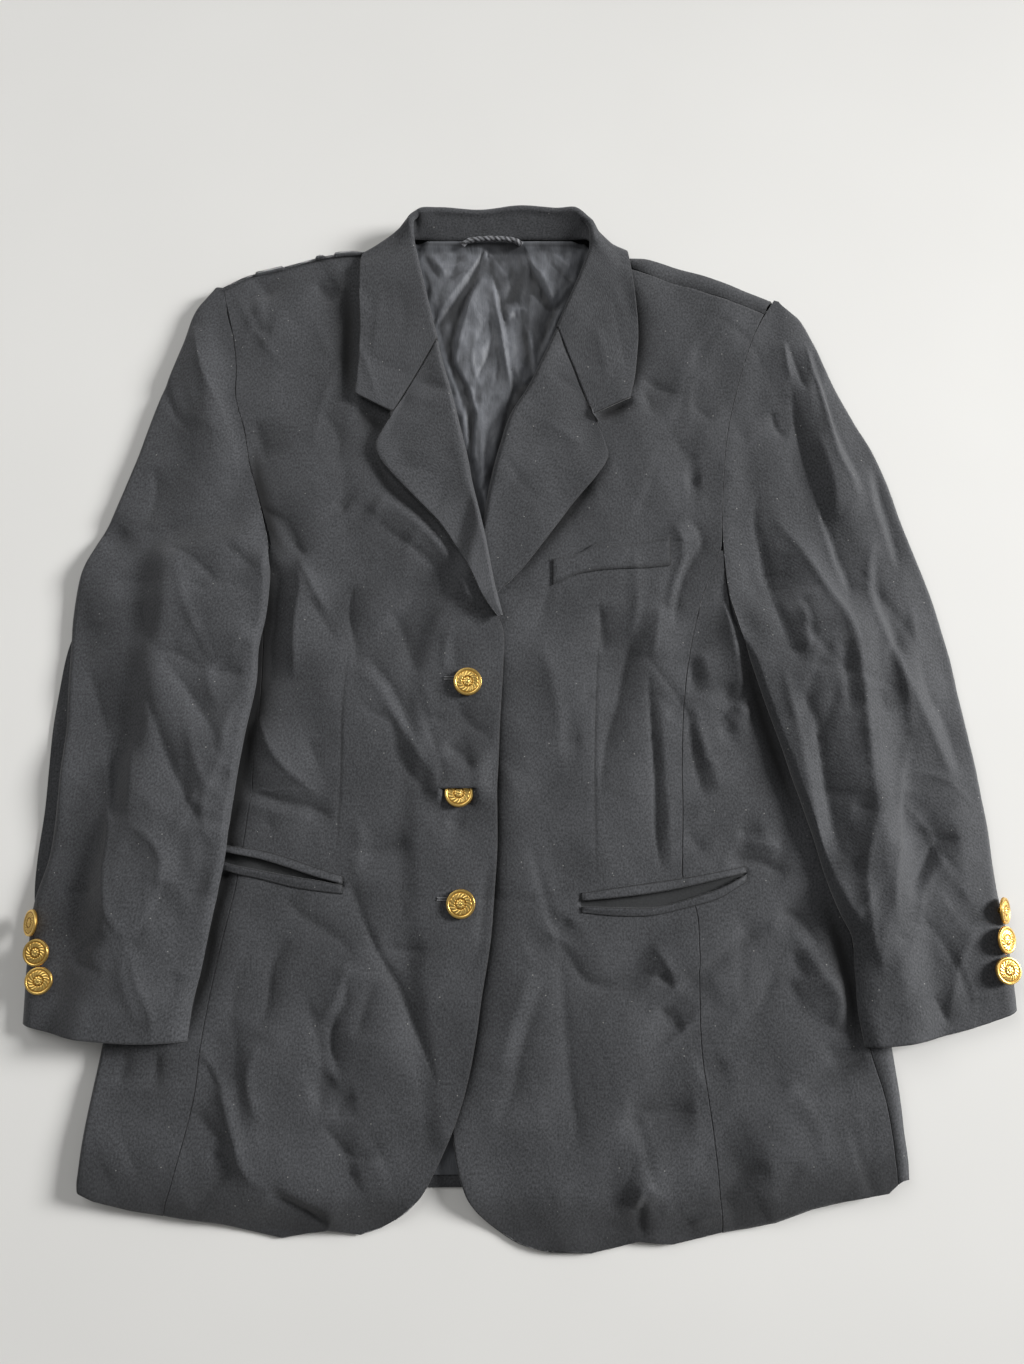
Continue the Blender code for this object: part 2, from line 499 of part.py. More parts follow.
def build_back(parts):
    """Back with its strips that turn over the left shoulder and the left side, and its lining."""
    plan = ruled(BACK, BACK_SHARES, bow=3.0)
    top_x, top_y = np.array(TOP_EDGE, float).T
    for row, follow in enumerate(BACK_FOLLOW):
        ends = plan[0, [0, -1]]
        straight = np.interp(plan[row, :, 0], ends[:, 0], ends[:, 1])
        plan[row, :, 1] += follow * (np.interp(plan[row, :, 0], top_x, top_y) - BACK_TOP_INSET - straight)
    height = bed(plan[:, :, 0], plan[:, :, 1])

    # Rows that turn over the left shoulder; where nothing turns they lie flat, a little apart
    edge_x = plan[0, :, 0]
    weight = soft_step((edge_x - 66.0) / 16.0) * (1.0 - soft_step((edge_x - 206.0) / 4.0))
    rows = []
    rises = []
    for step, (inset, share) in enumerate(TURNED_EDGE):
        plain = PLAIN_INSET + PLAIN_STEP * step
        distance = plain + ((inset if step else SHOULDER_WRAP) - plain) * weight
        y = np.interp(edge_x, top_x, top_y) - distance
        top = front_level(edge_x, y)
        rows.append(np.column_stack([edge_x, y]))
        rises.append(bed(edge_x, y) + (top - bed(edge_x, y)) * share * weight)
    plan = np.concatenate([np.array(rows), plan])
    height = np.concatenate([np.array(rises), height])

    # Columns that turn over the left side
    right = plan[:, -1, :].copy()
    plan[:, -1, 0] -= 8.0
    wrapped = np.zeros(len(plan))
    first_row = len(TURNED_EDGE) + FIRST_WRAP_ROW
    wrapped[first_row:] = 1.0
    seam = np.zeros(len(plan))
    side = np.asarray(SIDE_LEFT[FIRST_WRAP_ROW - FIRST_SIDE_ROW_LEFT:], float)
    seam[first_row:] = right[first_row:, 0] - side[:, 0] - SEAM_GAP
    seam_y = right[:, 1].copy()
    seam_y[first_row:] = side[:, 1]
    columns = []
    rises = []
    for step, (inset, share) in reversed(list(enumerate(TURNED_EDGE))):
        plain = PLAIN_SIDE_STEP * step
        x = right[:, 0] - (plain + ((inset if step else seam) - plain) * wrapped)
        y = seam_y if step == 0 else right[:, 1]
        columns.append(np.column_stack([x, y]))
        rise = share * wrapped * front_level(x, y)
        rises.append(rise + height[:, -1] * (1.0 - wrapped))
    plan = np.concatenate([plan, np.array(columns).transpose(1, 0, 2)], axis=1)
    height = np.concatenate([height, np.array(rises).T], axis=1)
    add_sheet("back", with_height(plan, height), CLOTH, "cloth", parts, outer_up=False)

    plan = ruled(BACK_LINING, evenly(6))
    add_sheet("back_lining", with_height(plan, LINING_TOP + bed(plan[:, :, 0], plan[:, :, 1])), LINING,
              "lining", parts)


def build_sleeve(side, upper, under, parts):
    """Upper sleeve, rolled down at its edges, over the under sleeve, which lies flat."""
    table = np.asarray(upper, float)
    outward = np.sign(table[0, 0])
    inner, outer = table[:, :2].copy(), table[:, 2:4]
    inner[:, 0] += outward * SEAM_GAP * (1.0 - table[:, 6])
    edge_height, foot, roll = table[:, 4:5], table[:, 5:6], table[:, 6:7]
    width = np.hypot(*(outer - inner).T)[:, None]
    reach = np.minimum(EDGE_RADIUS + 1.6 * (edge_height - SLEEVE_EDGE), 0.4 * width)
    angles = np.radians([0.0, 30.0, 60.0, 90.0])
    turn = 1.0 - np.cos(angles)[None, :]
    middle = reach + (width - 2.0 * reach) * evenly(5)[None, 1:-1]
    across = np.hstack([reach * turn, middle, width - reach * turn[:, ::-1]])
    turned_in = np.hstack([1.0 - np.sin(angles), np.zeros(middle.shape[1] + 4)])[None, :]
    turned_out = np.hstack([np.zeros(middle.shape[1] + 4), 1.0 - np.sin(angles)[::-1]])[None, :]
    share = across / width
    plan = inner[:, None, :] + (outer - inner)[:, None, :] * share[:, :, None]
    plan[-1, :, 1] -= CUFF_BOW * 4.0 * (share * (1.0 - share))[-1]
    x, y = plan[:, :, 0], plan[:, :, 1]
    low = sleeve_bed(x, y) + foot
    edge = share * edge_height + (1.0 - share) * SLEEVE_EDGE
    free = sleeve_bed(x, y) + edge + folds(x, y, SLEEVE_FOLDS) + SLEEVE_PUFF * np.sin(math.pi * share)
    below = (SEAM_STEP_Y[side] - table[:, 1:2]) / SEAM_STEP_LENGTH
    seam_height = front_level(x, y) + SEAM_STEP * soft_step(below)
    at_seam = (1.0 - soft_step(across / SEAM_BLEND)) * (1.0 - roll)
    top = free + (seam_height - free) * at_seam
    height = top - (top - low) * (turned_in * roll + turned_out)
    add_sheet(f"upper_sleeve_{side}", with_height(plan, height), CLOTH, "cloth", parts)

    plan = ruled(under, evenly(6))
    height = sleeve_bed(plan[:, :, 0], plan[:, :, 1])
    add_sheet(f"under_sleeve_{side}", with_height(plan, height), CLOTH, "cloth", parts, outer_up=False)


def build_lapels(parts):
    """Lapel facings, turned down at the roll line to just over the lining."""
    for side, table, level in (("right", LAPEL_RIGHT, over_level), ("left", LAPEL_LEFT, front_level)):
        swapped = [(row[2], row[3], row[0], row[1]) for row in table]
        plan, down = rolled(swapped, evenly(4), LAPEL_RADIUS)
        x, y = plan[:, :, 0], plan[:, :, 1]
        top = level(x, y) + LAPEL_RISE
        low = level(x, y) - CLOTH
        add_sheet(f"lapel_{side}", with_height(plan, top - (top - low) * down), FACING, "cloth", parts)


def unit(vector):
    """Vector of length one."""
    return vector / np.linalg.norm(vector)


def build_collar(parts):
    """Stand and leaf in one sheet, folded along the roll edge."""
    rolls, seams, leaves = [], [], []
    # Heights over the front: roll edge, neck seam, middle of the leaf, turn of the leaf, free edge
    lying = LAYER_GAP + FACING
    rise = (0.6 + COLLAR_RADIUS, 0.6, lying + 3.4, lying + 0.6, lying)
    for index, section in enumerate(COLLAR):
        on_front = index < FRONT_SECTIONS[0] or index >= len(COLLAR) - FRONT_SECTIONS[1]
        points = []
        for place, point in enumerate(section):
            x, y = point[0], point[1]
            level = float(front_level(x, y))
            if on_front:
                z = level + rise[place]
            else:
                z = point[2]
            points.append(np.array((x, y, z), float))
        rolls.append(points[0])
        seams.append(points[1])
        leaves.append(points[2:])
    grid = []
    for index, roll in enumerate(rolls):
        before, after = rolls[max(index - 1, 0)], rolls[min(index + 1, len(rolls) - 1)]
        tangent = unit(after - before)
        inward = unit(seams[index] - roll) + unit(leaves[index][0] - roll)
        inward = unit(inward - tangent * float(inward @ tangent))
        leafward = unit(np.cross(tangent, inward))
        arc = []
        for angle in np.radians([-90.0, -45.0, 0.0, 45.0, 90.0]):
            arc.append(roll + COLLAR_RADIUS * ((1.0 - math.cos(angle)) * inward + math.sin(angle) * leafward))
        middle, turn, edge = leaves[index]
        grid.append([seams[index], *arc, middle, 0.5 * (middle + turn), turn, 0.5 * (turn + edge), edge])
    add_sheet("collar", np.array(grid), FACING, "cloth", parts, even=False)


def strip(stations, first, second, rise, count=2):
    """Grid between two edges that run along a pocket, laid over the front."""
    table = np.asarray(stations, float)
    shares = evenly(count)[:, None]
    x = np.repeat(table[None, :, 0], count + 1, 0)
    y = table[None, :, first] + (table[None, :, second] - table[None, :, first]) * shares
    return np.dstack([x, y, front_level(x, y) + rise])


def build_pockets(parts):
    """Breast welt, and jets and facings of the hip pockets."""
    add_sheet("breast_welt", strip(WELT, 1, 2, CLOTH + LAYER_GAP), CLOTH, "cloth", parts)
    for side, jets in (("right", JETS_RIGHT), ("left", JETS_LEFT)):
        facing = [(x, (top + under) / 2, (lower + bottom) / 2) for x, top, under, lower, bottom in jets]
        add_sheet(f"pocket_facing_{side}", strip(facing, 1, 2, LINING + 0.6), LINING, "facing", parts)
        rise = LINING + 0.6 + 0.6 + 1.6
        add_sheet(f"jet_upper_{side}", strip(jets, 1, 2, rise), 1.6, "cloth", parts)
        lower = [(x, low, bottom) for x, top, under, low, bottom in jets]
        add_sheet(f"jet_lower_{side}", strip(lower, 1, 2, rise), 1.6, "cloth", parts)


def add_button(name, diameter, place, shank_length, parts):
    """Turned button with a rim and a shank; place is the middle of its back."""
    profile = [(share * diameter / 2, z) for share, z in BUTTON_PROFILE]
    profile += [(SHANK / 2, 0.0), (SHANK / 2, -shank_length), (0.0, -shank_length)]
    mesh = bpy.data.meshes.new(name)
    turned = bmesh.new()
    vertices = [turned.verts.new((x * MM, 0.0, z * MM)) for x, z in profile]
    for first, second in zip(vertices, vertices[1:]):
        turned.edges.new((first, second))
    turned.to_mesh(mesh)
    turned.free()
    button = add_object(name, mesh, "brass", parts)
    screw = button.modifiers.new("Turn", "SCREW")
    screw.steps = BUTTON_STEPS
    screw.render_steps = BUTTON_STEPS
    screw.use_merge_vertices = True
    screw.merge_threshold = 0.0001
    button.location = [value * MM for value in place]
    return button


def cut_round(piece, name, x, y, cutters):
    """Round hole straight through a piece, for a button's shank."""
    bpy.ops.mesh.primitive_cylinder_add(vertices=12, radius=HOLE / 2 * MM, depth=0.06,
                                        location=(x * MM, y * MM, 0.01))
    cutter = bpy.context.object
    cutter.name = name
    cutter.hide_render = True
    cutter.display_type = "WIRE"
    for collection in cutter.users_collection:
        collection.objects.unlink(cutter)
    cutters.objects.link(cutter)
    boolean = piece.modifiers.new(name, "BOOLEAN")
    boolean.operation = "DIFFERENCE"
    boolean.solver = "EXACT"
    boolean.object = cutter


def build_buttons(parts, cutters):
    """Front buttons on shanks through the right front, and cuff buttons."""
    front = parts.objects["front_right"]
    for index, (x, y) in enumerate(FRONT_BUTTONS):
        back = float(over_level(x, y)) + FRONT_STANDOFF
        shank_length = back - float(front_level(x, y)) - SEAM_GAP
        lean = 0.0
        if index == TUCKED_BUTTON:
            lean = TUCKED_LEAN
            shank_length -= SEAM_GAP
        button = add_button(f"front_button_{index + 1}", FRONT_BUTTON, (x, y, back), shank_length, parts)
        button.rotation_euler = (math.radians(lean), 0.0, 0.0)
        cut_round(front, f"shank_hole_{index + 1}", x, y, cutters)


def build_cuff_buttons(parts):
    """Three buttons on each cuff, each one square to the cloth under it."""
    graph = bpy.context.evaluated_depsgraph_get()
    for side, table in (("right", CUFF_BUTTONS_RIGHT), ("left", CUFF_BUTTONS_LEFT)):
        sleeve = BVHTree.FromObject(parts.objects[f"upper_sleeve_{side}"], graph)
        for index, (x, y) in enumerate(table):
            seat, normal, _, _ = sleeve.ray_cast(Vector((x * MM, y * MM, 1.0)), Vector((0, 0, -1)))
            back = seat / MM + normal * (CUFF_SHANK + SEAM_GAP)
            button = add_button(f"cuff_button_{side}_{index + 1}", CUFF_BUTTON, back, CUFF_SHANK, parts)
            button.rotation_mode = "QUATERNION"
            button.rotation_quaternion = normal.to_track_quat("Z", "Y")


def build_loop(parts):
    """Hanger loop of cord, sewn at the back neck."""
    curve = bpy.data.curves.new("hanger_loop", "CURVE")
    curve.dimensions = "3D"
    curve.bevel_depth = LOOP_RADIUS * MM
    curve.bevel_resolution = 2
    curve.use_fill_caps = True
    spline = curve.splines.new("POLY")
    route = np.array(LOOP, float)
    stations = np.linspace(0, len(route) - 1, 3 * (len(route) - 1) + 1)
    knots = np.arange(len(route))
    points = np.column_stack([np.interp(stations, knots, route[:, axis]) for axis in range(3)])
    spline.points.add(len(points) - 1)
    for point, place in zip(spline.points, points):
        point.co = (*(place * MM), 1.0)
    loop = bpy.data.objects.new("hanger_loop", curve)
    curve.materials.append(material("cord"))
    parts.objects.link(loop)


def new_collection(name):
    """Empty collection in the scene."""
    made = bpy.data.collections.new(name)
    bpy.context.scene.collection.children.link(made)
    return made


def main():
    """Clear the scene and build the blazer."""
    for old in list(bpy.data.objects):
        bpy.data.objects.remove(old, do_unlink=True)
    parts = new_collection("blazer")
    cutters = new_collection("cutters")
    build_back(parts)
    build_fronts(parts)
    build_sleeve("right", UPPER_RIGHT, UNDER_RIGHT, parts)
    build_sleeve("left", UPPER_LEFT, UNDER_LEFT, parts)
    build_lapels(parts)
    build_collar(parts)
    build_pockets(parts)
    build_buttons(parts, cutters)
    build_cuff_buttons(parts)
    build_loop(parts)


main()
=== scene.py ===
"""A women's three-button blazer, laid flat with its fronts up: its cloth, trims, buttons and studio.

Lengths are millimetres until a mesh is made.  The wearer's left is at +X, the collar at +Y, and the surface
that the blazer lies on is z = 0.  "Right" and "left" are the wearer's.
"""

import logging
import math
from dataclasses import dataclass
from enum import Enum
from typing import Any, Sequence

import bpy
import numpy as np
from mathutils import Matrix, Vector


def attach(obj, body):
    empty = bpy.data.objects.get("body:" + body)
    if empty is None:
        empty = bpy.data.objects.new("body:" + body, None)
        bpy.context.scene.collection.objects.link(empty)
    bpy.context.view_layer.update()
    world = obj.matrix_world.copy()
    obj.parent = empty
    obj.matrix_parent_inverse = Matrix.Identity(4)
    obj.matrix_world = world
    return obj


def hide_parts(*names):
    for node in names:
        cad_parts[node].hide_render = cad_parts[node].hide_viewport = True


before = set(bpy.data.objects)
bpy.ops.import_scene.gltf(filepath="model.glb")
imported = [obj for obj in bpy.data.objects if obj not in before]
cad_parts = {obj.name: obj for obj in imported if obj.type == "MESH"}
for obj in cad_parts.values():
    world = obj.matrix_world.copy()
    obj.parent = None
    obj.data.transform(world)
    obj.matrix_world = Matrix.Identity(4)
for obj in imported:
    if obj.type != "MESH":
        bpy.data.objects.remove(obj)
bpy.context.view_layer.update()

Array = np.ndarray
Rows = Sequence[Sequence[float]]
Material = bpy.types.Material
Socket = bpy.types.NodeSocket
Pieces = dict[str, bpy.types.Object]

MM = 0.001
BODY = "root"
CLOTH_UV = "Cloth"
# Point attribute: a button's relief, and the painted shade that darkens cloth
RELIEF_AND_PAINTED_SHADE = "relief_and_painted_shade"

log = logging.getLogger("blazer")


class Side(Enum):
    """The wearer's side."""

    RIGHT = "right"
    LEFT = "left"


class Slot(Enum):
    """Material slots of the record."""

    CLOTH = "cloth"
    FACING = "facing"
    LINING = "lining"
    CORD = "cord"
    BRASS = "brass"


# Shapes as functions

def soft_step(t: Array | float) -> Array:
    """0 below 0, 1 above 1, and 3t² − 2t³ between."""
    t = np.clip(t, 0.0, 1.0)
    return t * t * (3.0 - 2.0 * t)


def soft_floor(height: Array, floor: Array | float, softness: float = 0.35) -> Array:
    """Height kept over a floor: floor + s · ln(1 + exp((height − floor) / s))."""
    lift = (height - floor) / softness
    return floor + softness * (np.maximum(lift, 0.0) + np.log1p(np.exp(-np.abs(lift))))


def along_curve(knots: Array, values: Array, places: Array) -> Array:
    """Values on smooth cubic pieces through the knots, whose slopes are those of the chords beside each knot.

    Args:
        knots: Rising positions of the given values.
        values: One value, or one array of them, for each knot.
        places: Positions to work out.

    Returns:
        One value for each place.
    """
    slopes = np.gradient(values, knots, axis=0)
    index = np.clip(np.searchsorted(knots, places, side="right") - 1, 0, len(knots) - 2)
    shape = (-1,) + (1,) * (values.ndim - 1)
    step = (knots[index + 1] - knots[index]).reshape(shape)
    t = (places - knots[index]).reshape(shape) / step
    first, second = values[index], values[index + 1]
    bend = t * (1.0 - t)
    blend = t * t * (3.0 - 2.0 * t)
    bow = step * bend * ((1.0 - t) * slopes[index] - t * slopes[index + 1])
    return first + (second - first) * blend + bow


def knots_of(points: Array) -> Array:
    """Distance run along the first axis of a table of points, averaged over the other points of each row."""
    steps = np.linalg.norm(np.diff(points, axis=0), axis=-1)
    return np.concatenate([[0.0], np.cumsum(steps.reshape(len(steps), -1).mean(axis=1))])


def evenly(length: float, spacing: float) -> Array:
    """Even places from 0 to a length, about the given spacing apart."""
    return np.linspace(0.0, length, max(int(round(length / spacing)), 1) + 1)


def fine_rows(table: Rows, spacing: float) -> tuple[Array, Array]:
    """A table's rows, and smooth ones between them.

    Args:
        table: Rows that start with inner x, y, outer x, y.
        spacing: Distance between the new rows.

    Returns:
        The new rows, and how far along the piece each one is.
    """
    rows = np.asarray(table, float)
    knots = knots_of(rows[:, :4].reshape(-1, 2, 2))
    places = evenly(knots[-1], spacing)
    return along_curve(knots, rows, places), places


def smooth(points: Array, spacing: float) -> Array:
    """Rows of points on smooth curves through the given rows, about so far apart."""
    knots = knots_of(points)
    return along_curve(knots, points, evenly(knots[-1], spacing))


def widths(rows: Array) -> Array:
    """Distance from the inner to the outer point of each row."""
    return np.hypot(rows[:, 2] - rows[:, 0], rows[:, 3] - rows[:, 1])


def swells(x: Array, y: Array, table: Rows) -> Array:
    """Sum of height · (1 − step(distance / half width)) · (0.5 + 0.5 · sin(π · along)) over the swells.

    Args:
        x: Places across.
        y: Places along.
        table: Rows of both ends x, y, half width and height.

    Returns:
        A height for each place.
    """
    total = np.zeros(np.broadcast(x, y).shape)
    for x0, y0, x1, y1, half_width, height in table:
        distance, along = segment_distance(x, y, (x0, y0), (x1, y1))
        total += height * (1.0 - soft_step(distance / half_width)) * (0.5 + 0.5 * np.sin(math.pi * along))
    return total


def segment_distance(x: Array, y: Array, start: Sequence[float], end: Sequence[float]) -> tuple[Array, Array]:
    """Distance to a straight segment, and how far along it the nearest point lies, 0 to 1.

    Args:
        x: Places across.
        y: Places along.
        start: One end x, y.
        end: The other end x, y.

    Returns:
        The distance and the share, for each place.
    """
    dx, dy = end[0] - start[0], end[1] - start[1]
    t = np.clip(((x - start[0]) * dx + (y - start[1]) * dy) / (dx * dx + dy * dy), 0.0, 1.0)
    return np.hypot(x - start[0] - t * dx, y - start[1] - t * dy), t


def cover(x: Array, y: Array, outline: Sequence[Sequence[float]], ramp: float) -> Array:
    """1 inside a closed outline, falling as a soft step to 0 at the ramp's width outside it.

    Args:
        x: Places across.
        y: Places along.
        outline: Corners x, y.
        ramp: Width over which it falls.

    Returns:
        A share from 0 to 1 for each place.
    """
    x, y = np.broadcast_arrays(np.asarray(x, float), np.asarray(y, float))
    nearest = np.full(x.shape, 1e9)
    inside = np.zeros(x.shape, bool)
    corners = [tuple(corner) for corner in outline]
    for start, end in zip(corners, corners[1:] + corners[:1]):
        nearest = np.minimum(nearest, segment_distance(x, y, start, end)[0])
        if start[1] != end[1]:
            crossing = (end[0] - start[0]) * (y - start[1]) / (end[1] - start[1]) + start[0]
            inside ^= ((start[1] > y) != (end[1] > y)) & (x < crossing)
    return np.where(inside, 1.0, 1.0 - soft_step(nearest / ramp))


@dataclass(frozen=True)
class Crease:
    """One line pressed into cloth: its course, its reach to each side, its height (below 0 for a trough), how
    pointed it is (2 is round, near 1 is sharp), and how much of it is a swell four times as broad."""

    course: Sequence[Sequence[float]]
    reach: float
    height: float
    point: float = 1.5
    broad: float = 0.0

    def rise(self, x: Array, y: Array) -> Array:
        """height · taper · ((1 − broad) · exp(−(d / r)^point) + broad · exp(−(d / 4 r)²)), where d is the
        distance to the course, taper = 1 − |2 · along − 1|^2.5, and r = reach · (0.5 + 0.5 · taper).

        Args:
            x: Places across.
            y: Places along.

        Returns:
            A height for each place.
        """
        course = np.asarray(self.course, float)
        course = smooth(course, 7.0)
        knots = knots_of(course)
        margin = (8.0 if self.broad else 3.5) * self.reach
        low, high = course.min(axis=0) - margin, course.max(axis=0) + margin
        near = (x > low[0]) & (x < high[0]) & (y > low[1]) & (y < high[1])
        rise = np.zeros(x.shape)
        px, py = x[near][:, None], y[near][:, None]
        if not px.size:
            return rise
        start, step = course[:-1], np.diff(course, axis=0)
        t = ((px - start[:, 0]) * step[:, 0] + (py - start[:, 1]) * step[:, 1]) / (step ** 2).sum(axis=1)
        t = np.clip(t, 0.0, 1.0)
        away_x, away_y = px - start[:, 0] - t * step[:, 0], py - start[:, 1] - t * step[:, 1]
        distance = np.hypot(away_x, away_y)
        index = distance.argmin(axis=1)
        pick = np.arange(len(index))
        along = (knots[index] + t[pick, index] * np.diff(knots)[index]) / knots[-1]
        taper = 1.0 - np.abs(2.0 * along - 1.0) ** 2.5
        away = distance[pick, index] / (self.reach * (0.5 + 0.5 * taper))
        shape = (1.0 - self.broad) * np.exp(-away ** self.point) + self.broad * np.exp(-(away / 4.0) ** 2)
        rise[near] = self.height * shape * taper
        return rise


@dataclass(frozen=True)
class Creases:
    """Creases of one stretch of cloth, each a little different in strength from its neighbours."""

    lines: Sequence[Crease]
    trough: float = 1.0
    ridge: float = 1.0

    def rise(self, x: Array, y: Array) -> Array:
        """Sum of the creases, with the troughs and the ridges each taken at their own strength.

        Args:
            x: Places across.
            y: Places along.

        Returns:
            A height for each place.
        """
        x, y = np.broadcast_arrays(np.asarray(x, float), np.asarray(y, float))
        total = np.zeros(x.shape)
        for line in self.lines:
            total += line.rise(x, y) * (self.trough if line.height < 0.0 else self.ridge)
        return total


def pressed(table: Rows, broad: float = 0.0) -> list[Crease]:
    """Creases from rows of reach, height, how pointed, and then the x, y of each point of the course; each is
    made a little narrower and sharper than its row says, and a short one lower, so that it doesn't look like
    a pit.

    Args:
        table: The rows.
        broad: How much of each is a broad swell.

    Returns:
        The creases.
    """
    creases = []
    for row in table:
        course = np.reshape(row[3:], (-1, 2))
        low = min(1.0, 0.4 + knots_of(course.astype(float))[-1] / 60.0)
        creases.append(Crease(course, 0.74 * row[0], low * row[1], 1.0 + 0.3 * (row[2] - 1.0), broad))
    return creases


def crumple(x: Array, y: Array, seed: int, size: float, height: float, waves: int = 7) -> Array:
    """Small flat facets between sharp lines: the sum of triangle waves |2 · fraction(t) − 1| in many
    directions, where t runs along each direction and sways a little across it.

    Args:
        x: Places across.
        y: Places along.
        seed: Seed of the directions.
        size: About the length of a wave.
        height: Height of each wave.
        waves: How many.
    """
    dice = np.random.default_rng(seed)
    total = np.zeros(np.shape(x))
    for _ in range(waves):
        angle, length = dice.normal(0.1, 0.55), size * dice.uniform(0.6, 1.6)
        across = (x * math.cos(angle) + y * math.sin(angle)) / length + dice.uniform(0.0, 9.0)
        along = (y * math.cos(angle) - x * math.sin(angle)) / length
        across += 0.45 * np.sin(along * dice.uniform(0.7, 1.3) + dice.uniform(0.0, 6.0))
        total += height * (np.abs(2.0 * (across % 1.0) - 1.0) - 0.5)
    return total


def scattered_creases(seed: int, box: Sequence[float], count: int, height: float, reach: tuple[float, float],
        length: tuple[float, float], direction: float, spread: float = 0.6) -> list[Crease]:
    """Small creases strewn over a box, for the unrest between the main ones.

    Args:
        seed: Seed of the strewing.
        box: Lowest x, y and highest x, y.
        count: How many.
        height: Largest height or depth.
        reach: Smallest and largest reach.
        length: Smallest and largest length.
        direction: Angle from +X in degrees that they mostly follow.
        spread: How far their angles stray, in radians.
    """
    dice = np.random.default_rng(seed)
    creases = []
    for _ in range(count):
        x, y = dice.uniform(box[0], box[2]), dice.uniform(box[1], box[3])
        angle = math.radians(direction) + dice.normal(0.0, spread)
        half = dice.uniform(*length) / 2.0
        dx, dy = half * math.cos(angle), half * math.sin(angle)
        bow = dice.normal(0.0, 0.12) * half
        course = ((x - dx, y - dy), (x - bow * math.sin(angle), y + bow * math.cos(angle)), (x + dx, y + dy))
        creases.append(Crease(course, dice.uniform(*reach), dice.uniform(-1.0, 1.0) * height,
            dice.uniform(1.2, 1.9)))
    return creases


# Closed meshes

@dataclass
class Surface:
    """A mesh in the making: points, faces as corner indices, and flat coordinates of the cloth per point."""

    points: Array
    faces: list | Array
    flat: Array
    # Per point: how high a button's face stands, and for cloth how much painted shade darkens it
    relief_and_painted_shade: Array | None = None

    def put(self, name: str, material: Material, slot: Slot) -> bpy.types.Object:
        """Make the object, which rides on the blazer and takes the given finish.

        Args:
            name: Name of the piece.
            material: Its finish.
            slot: The record's slot for it; not used.

        Returns:
            The object, at the origin.
        """
        mesh = bpy.data.meshes.new(name)
        mesh.from_pydata(self.points * MM, [], self.faces)
        mesh.polygons.foreach_set("use_smooth", np.ones(len(mesh.polygons), bool))
        corners = np.zeros(len(mesh.loops), np.int32)
        mesh.loops.foreach_get("vertex_index", corners)
        layer = mesh.uv_layers.new(name=CLOTH_UV)
        layer.data.foreach_set("uv", (self.flat[corners] * MM).ravel())
        if self.relief_and_painted_shade is not None:
            mesh.attributes.new(RELIEF_AND_PAINTED_SHADE, "FLOAT", "POINT").data.foreach_set("value", self.relief_and_painted_shade)
        mesh.materials.append(material)
        mesh.update()
        piece = bpy.data.objects.new(name, mesh)
        bpy.context.scene.collection.objects.link(piece)
        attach(piece, BODY)
        log.info("%s: %d faces", name, len(mesh.polygons))
        return piece


def dressed(shapes: dict[str, Surface], material: Material, slot: Slot) -> Pieces:
    """Make the pieces that stand in for nodes of the CAD, each named after its node.

    Args:
        shapes: Surfaces by node.
        material: Their finish.
        slot: The record's slot for it; passed on to put, which does not use it.

    Returns:
        The pieces by node.
    """
    made = {node: shape.put(node.capitalize(), material, slot) for node, shape in shapes.items()}
    for node, piece in made.items():
        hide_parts(node)
    return made


def unit(vectors: Array) -> Array:
    """Vectors of length one."""
    return vectors / np.maximum(np.linalg.norm(vectors, axis=-1, keepdims=True), 1e-12)


def grid_normals(face: Array) -> Array:
    """Unit normals of a grid of points: the cross product of the steps along and across it."""
    return unit(np.cross(np.gradient(face, axis=0), np.gradient(face, axis=1)))


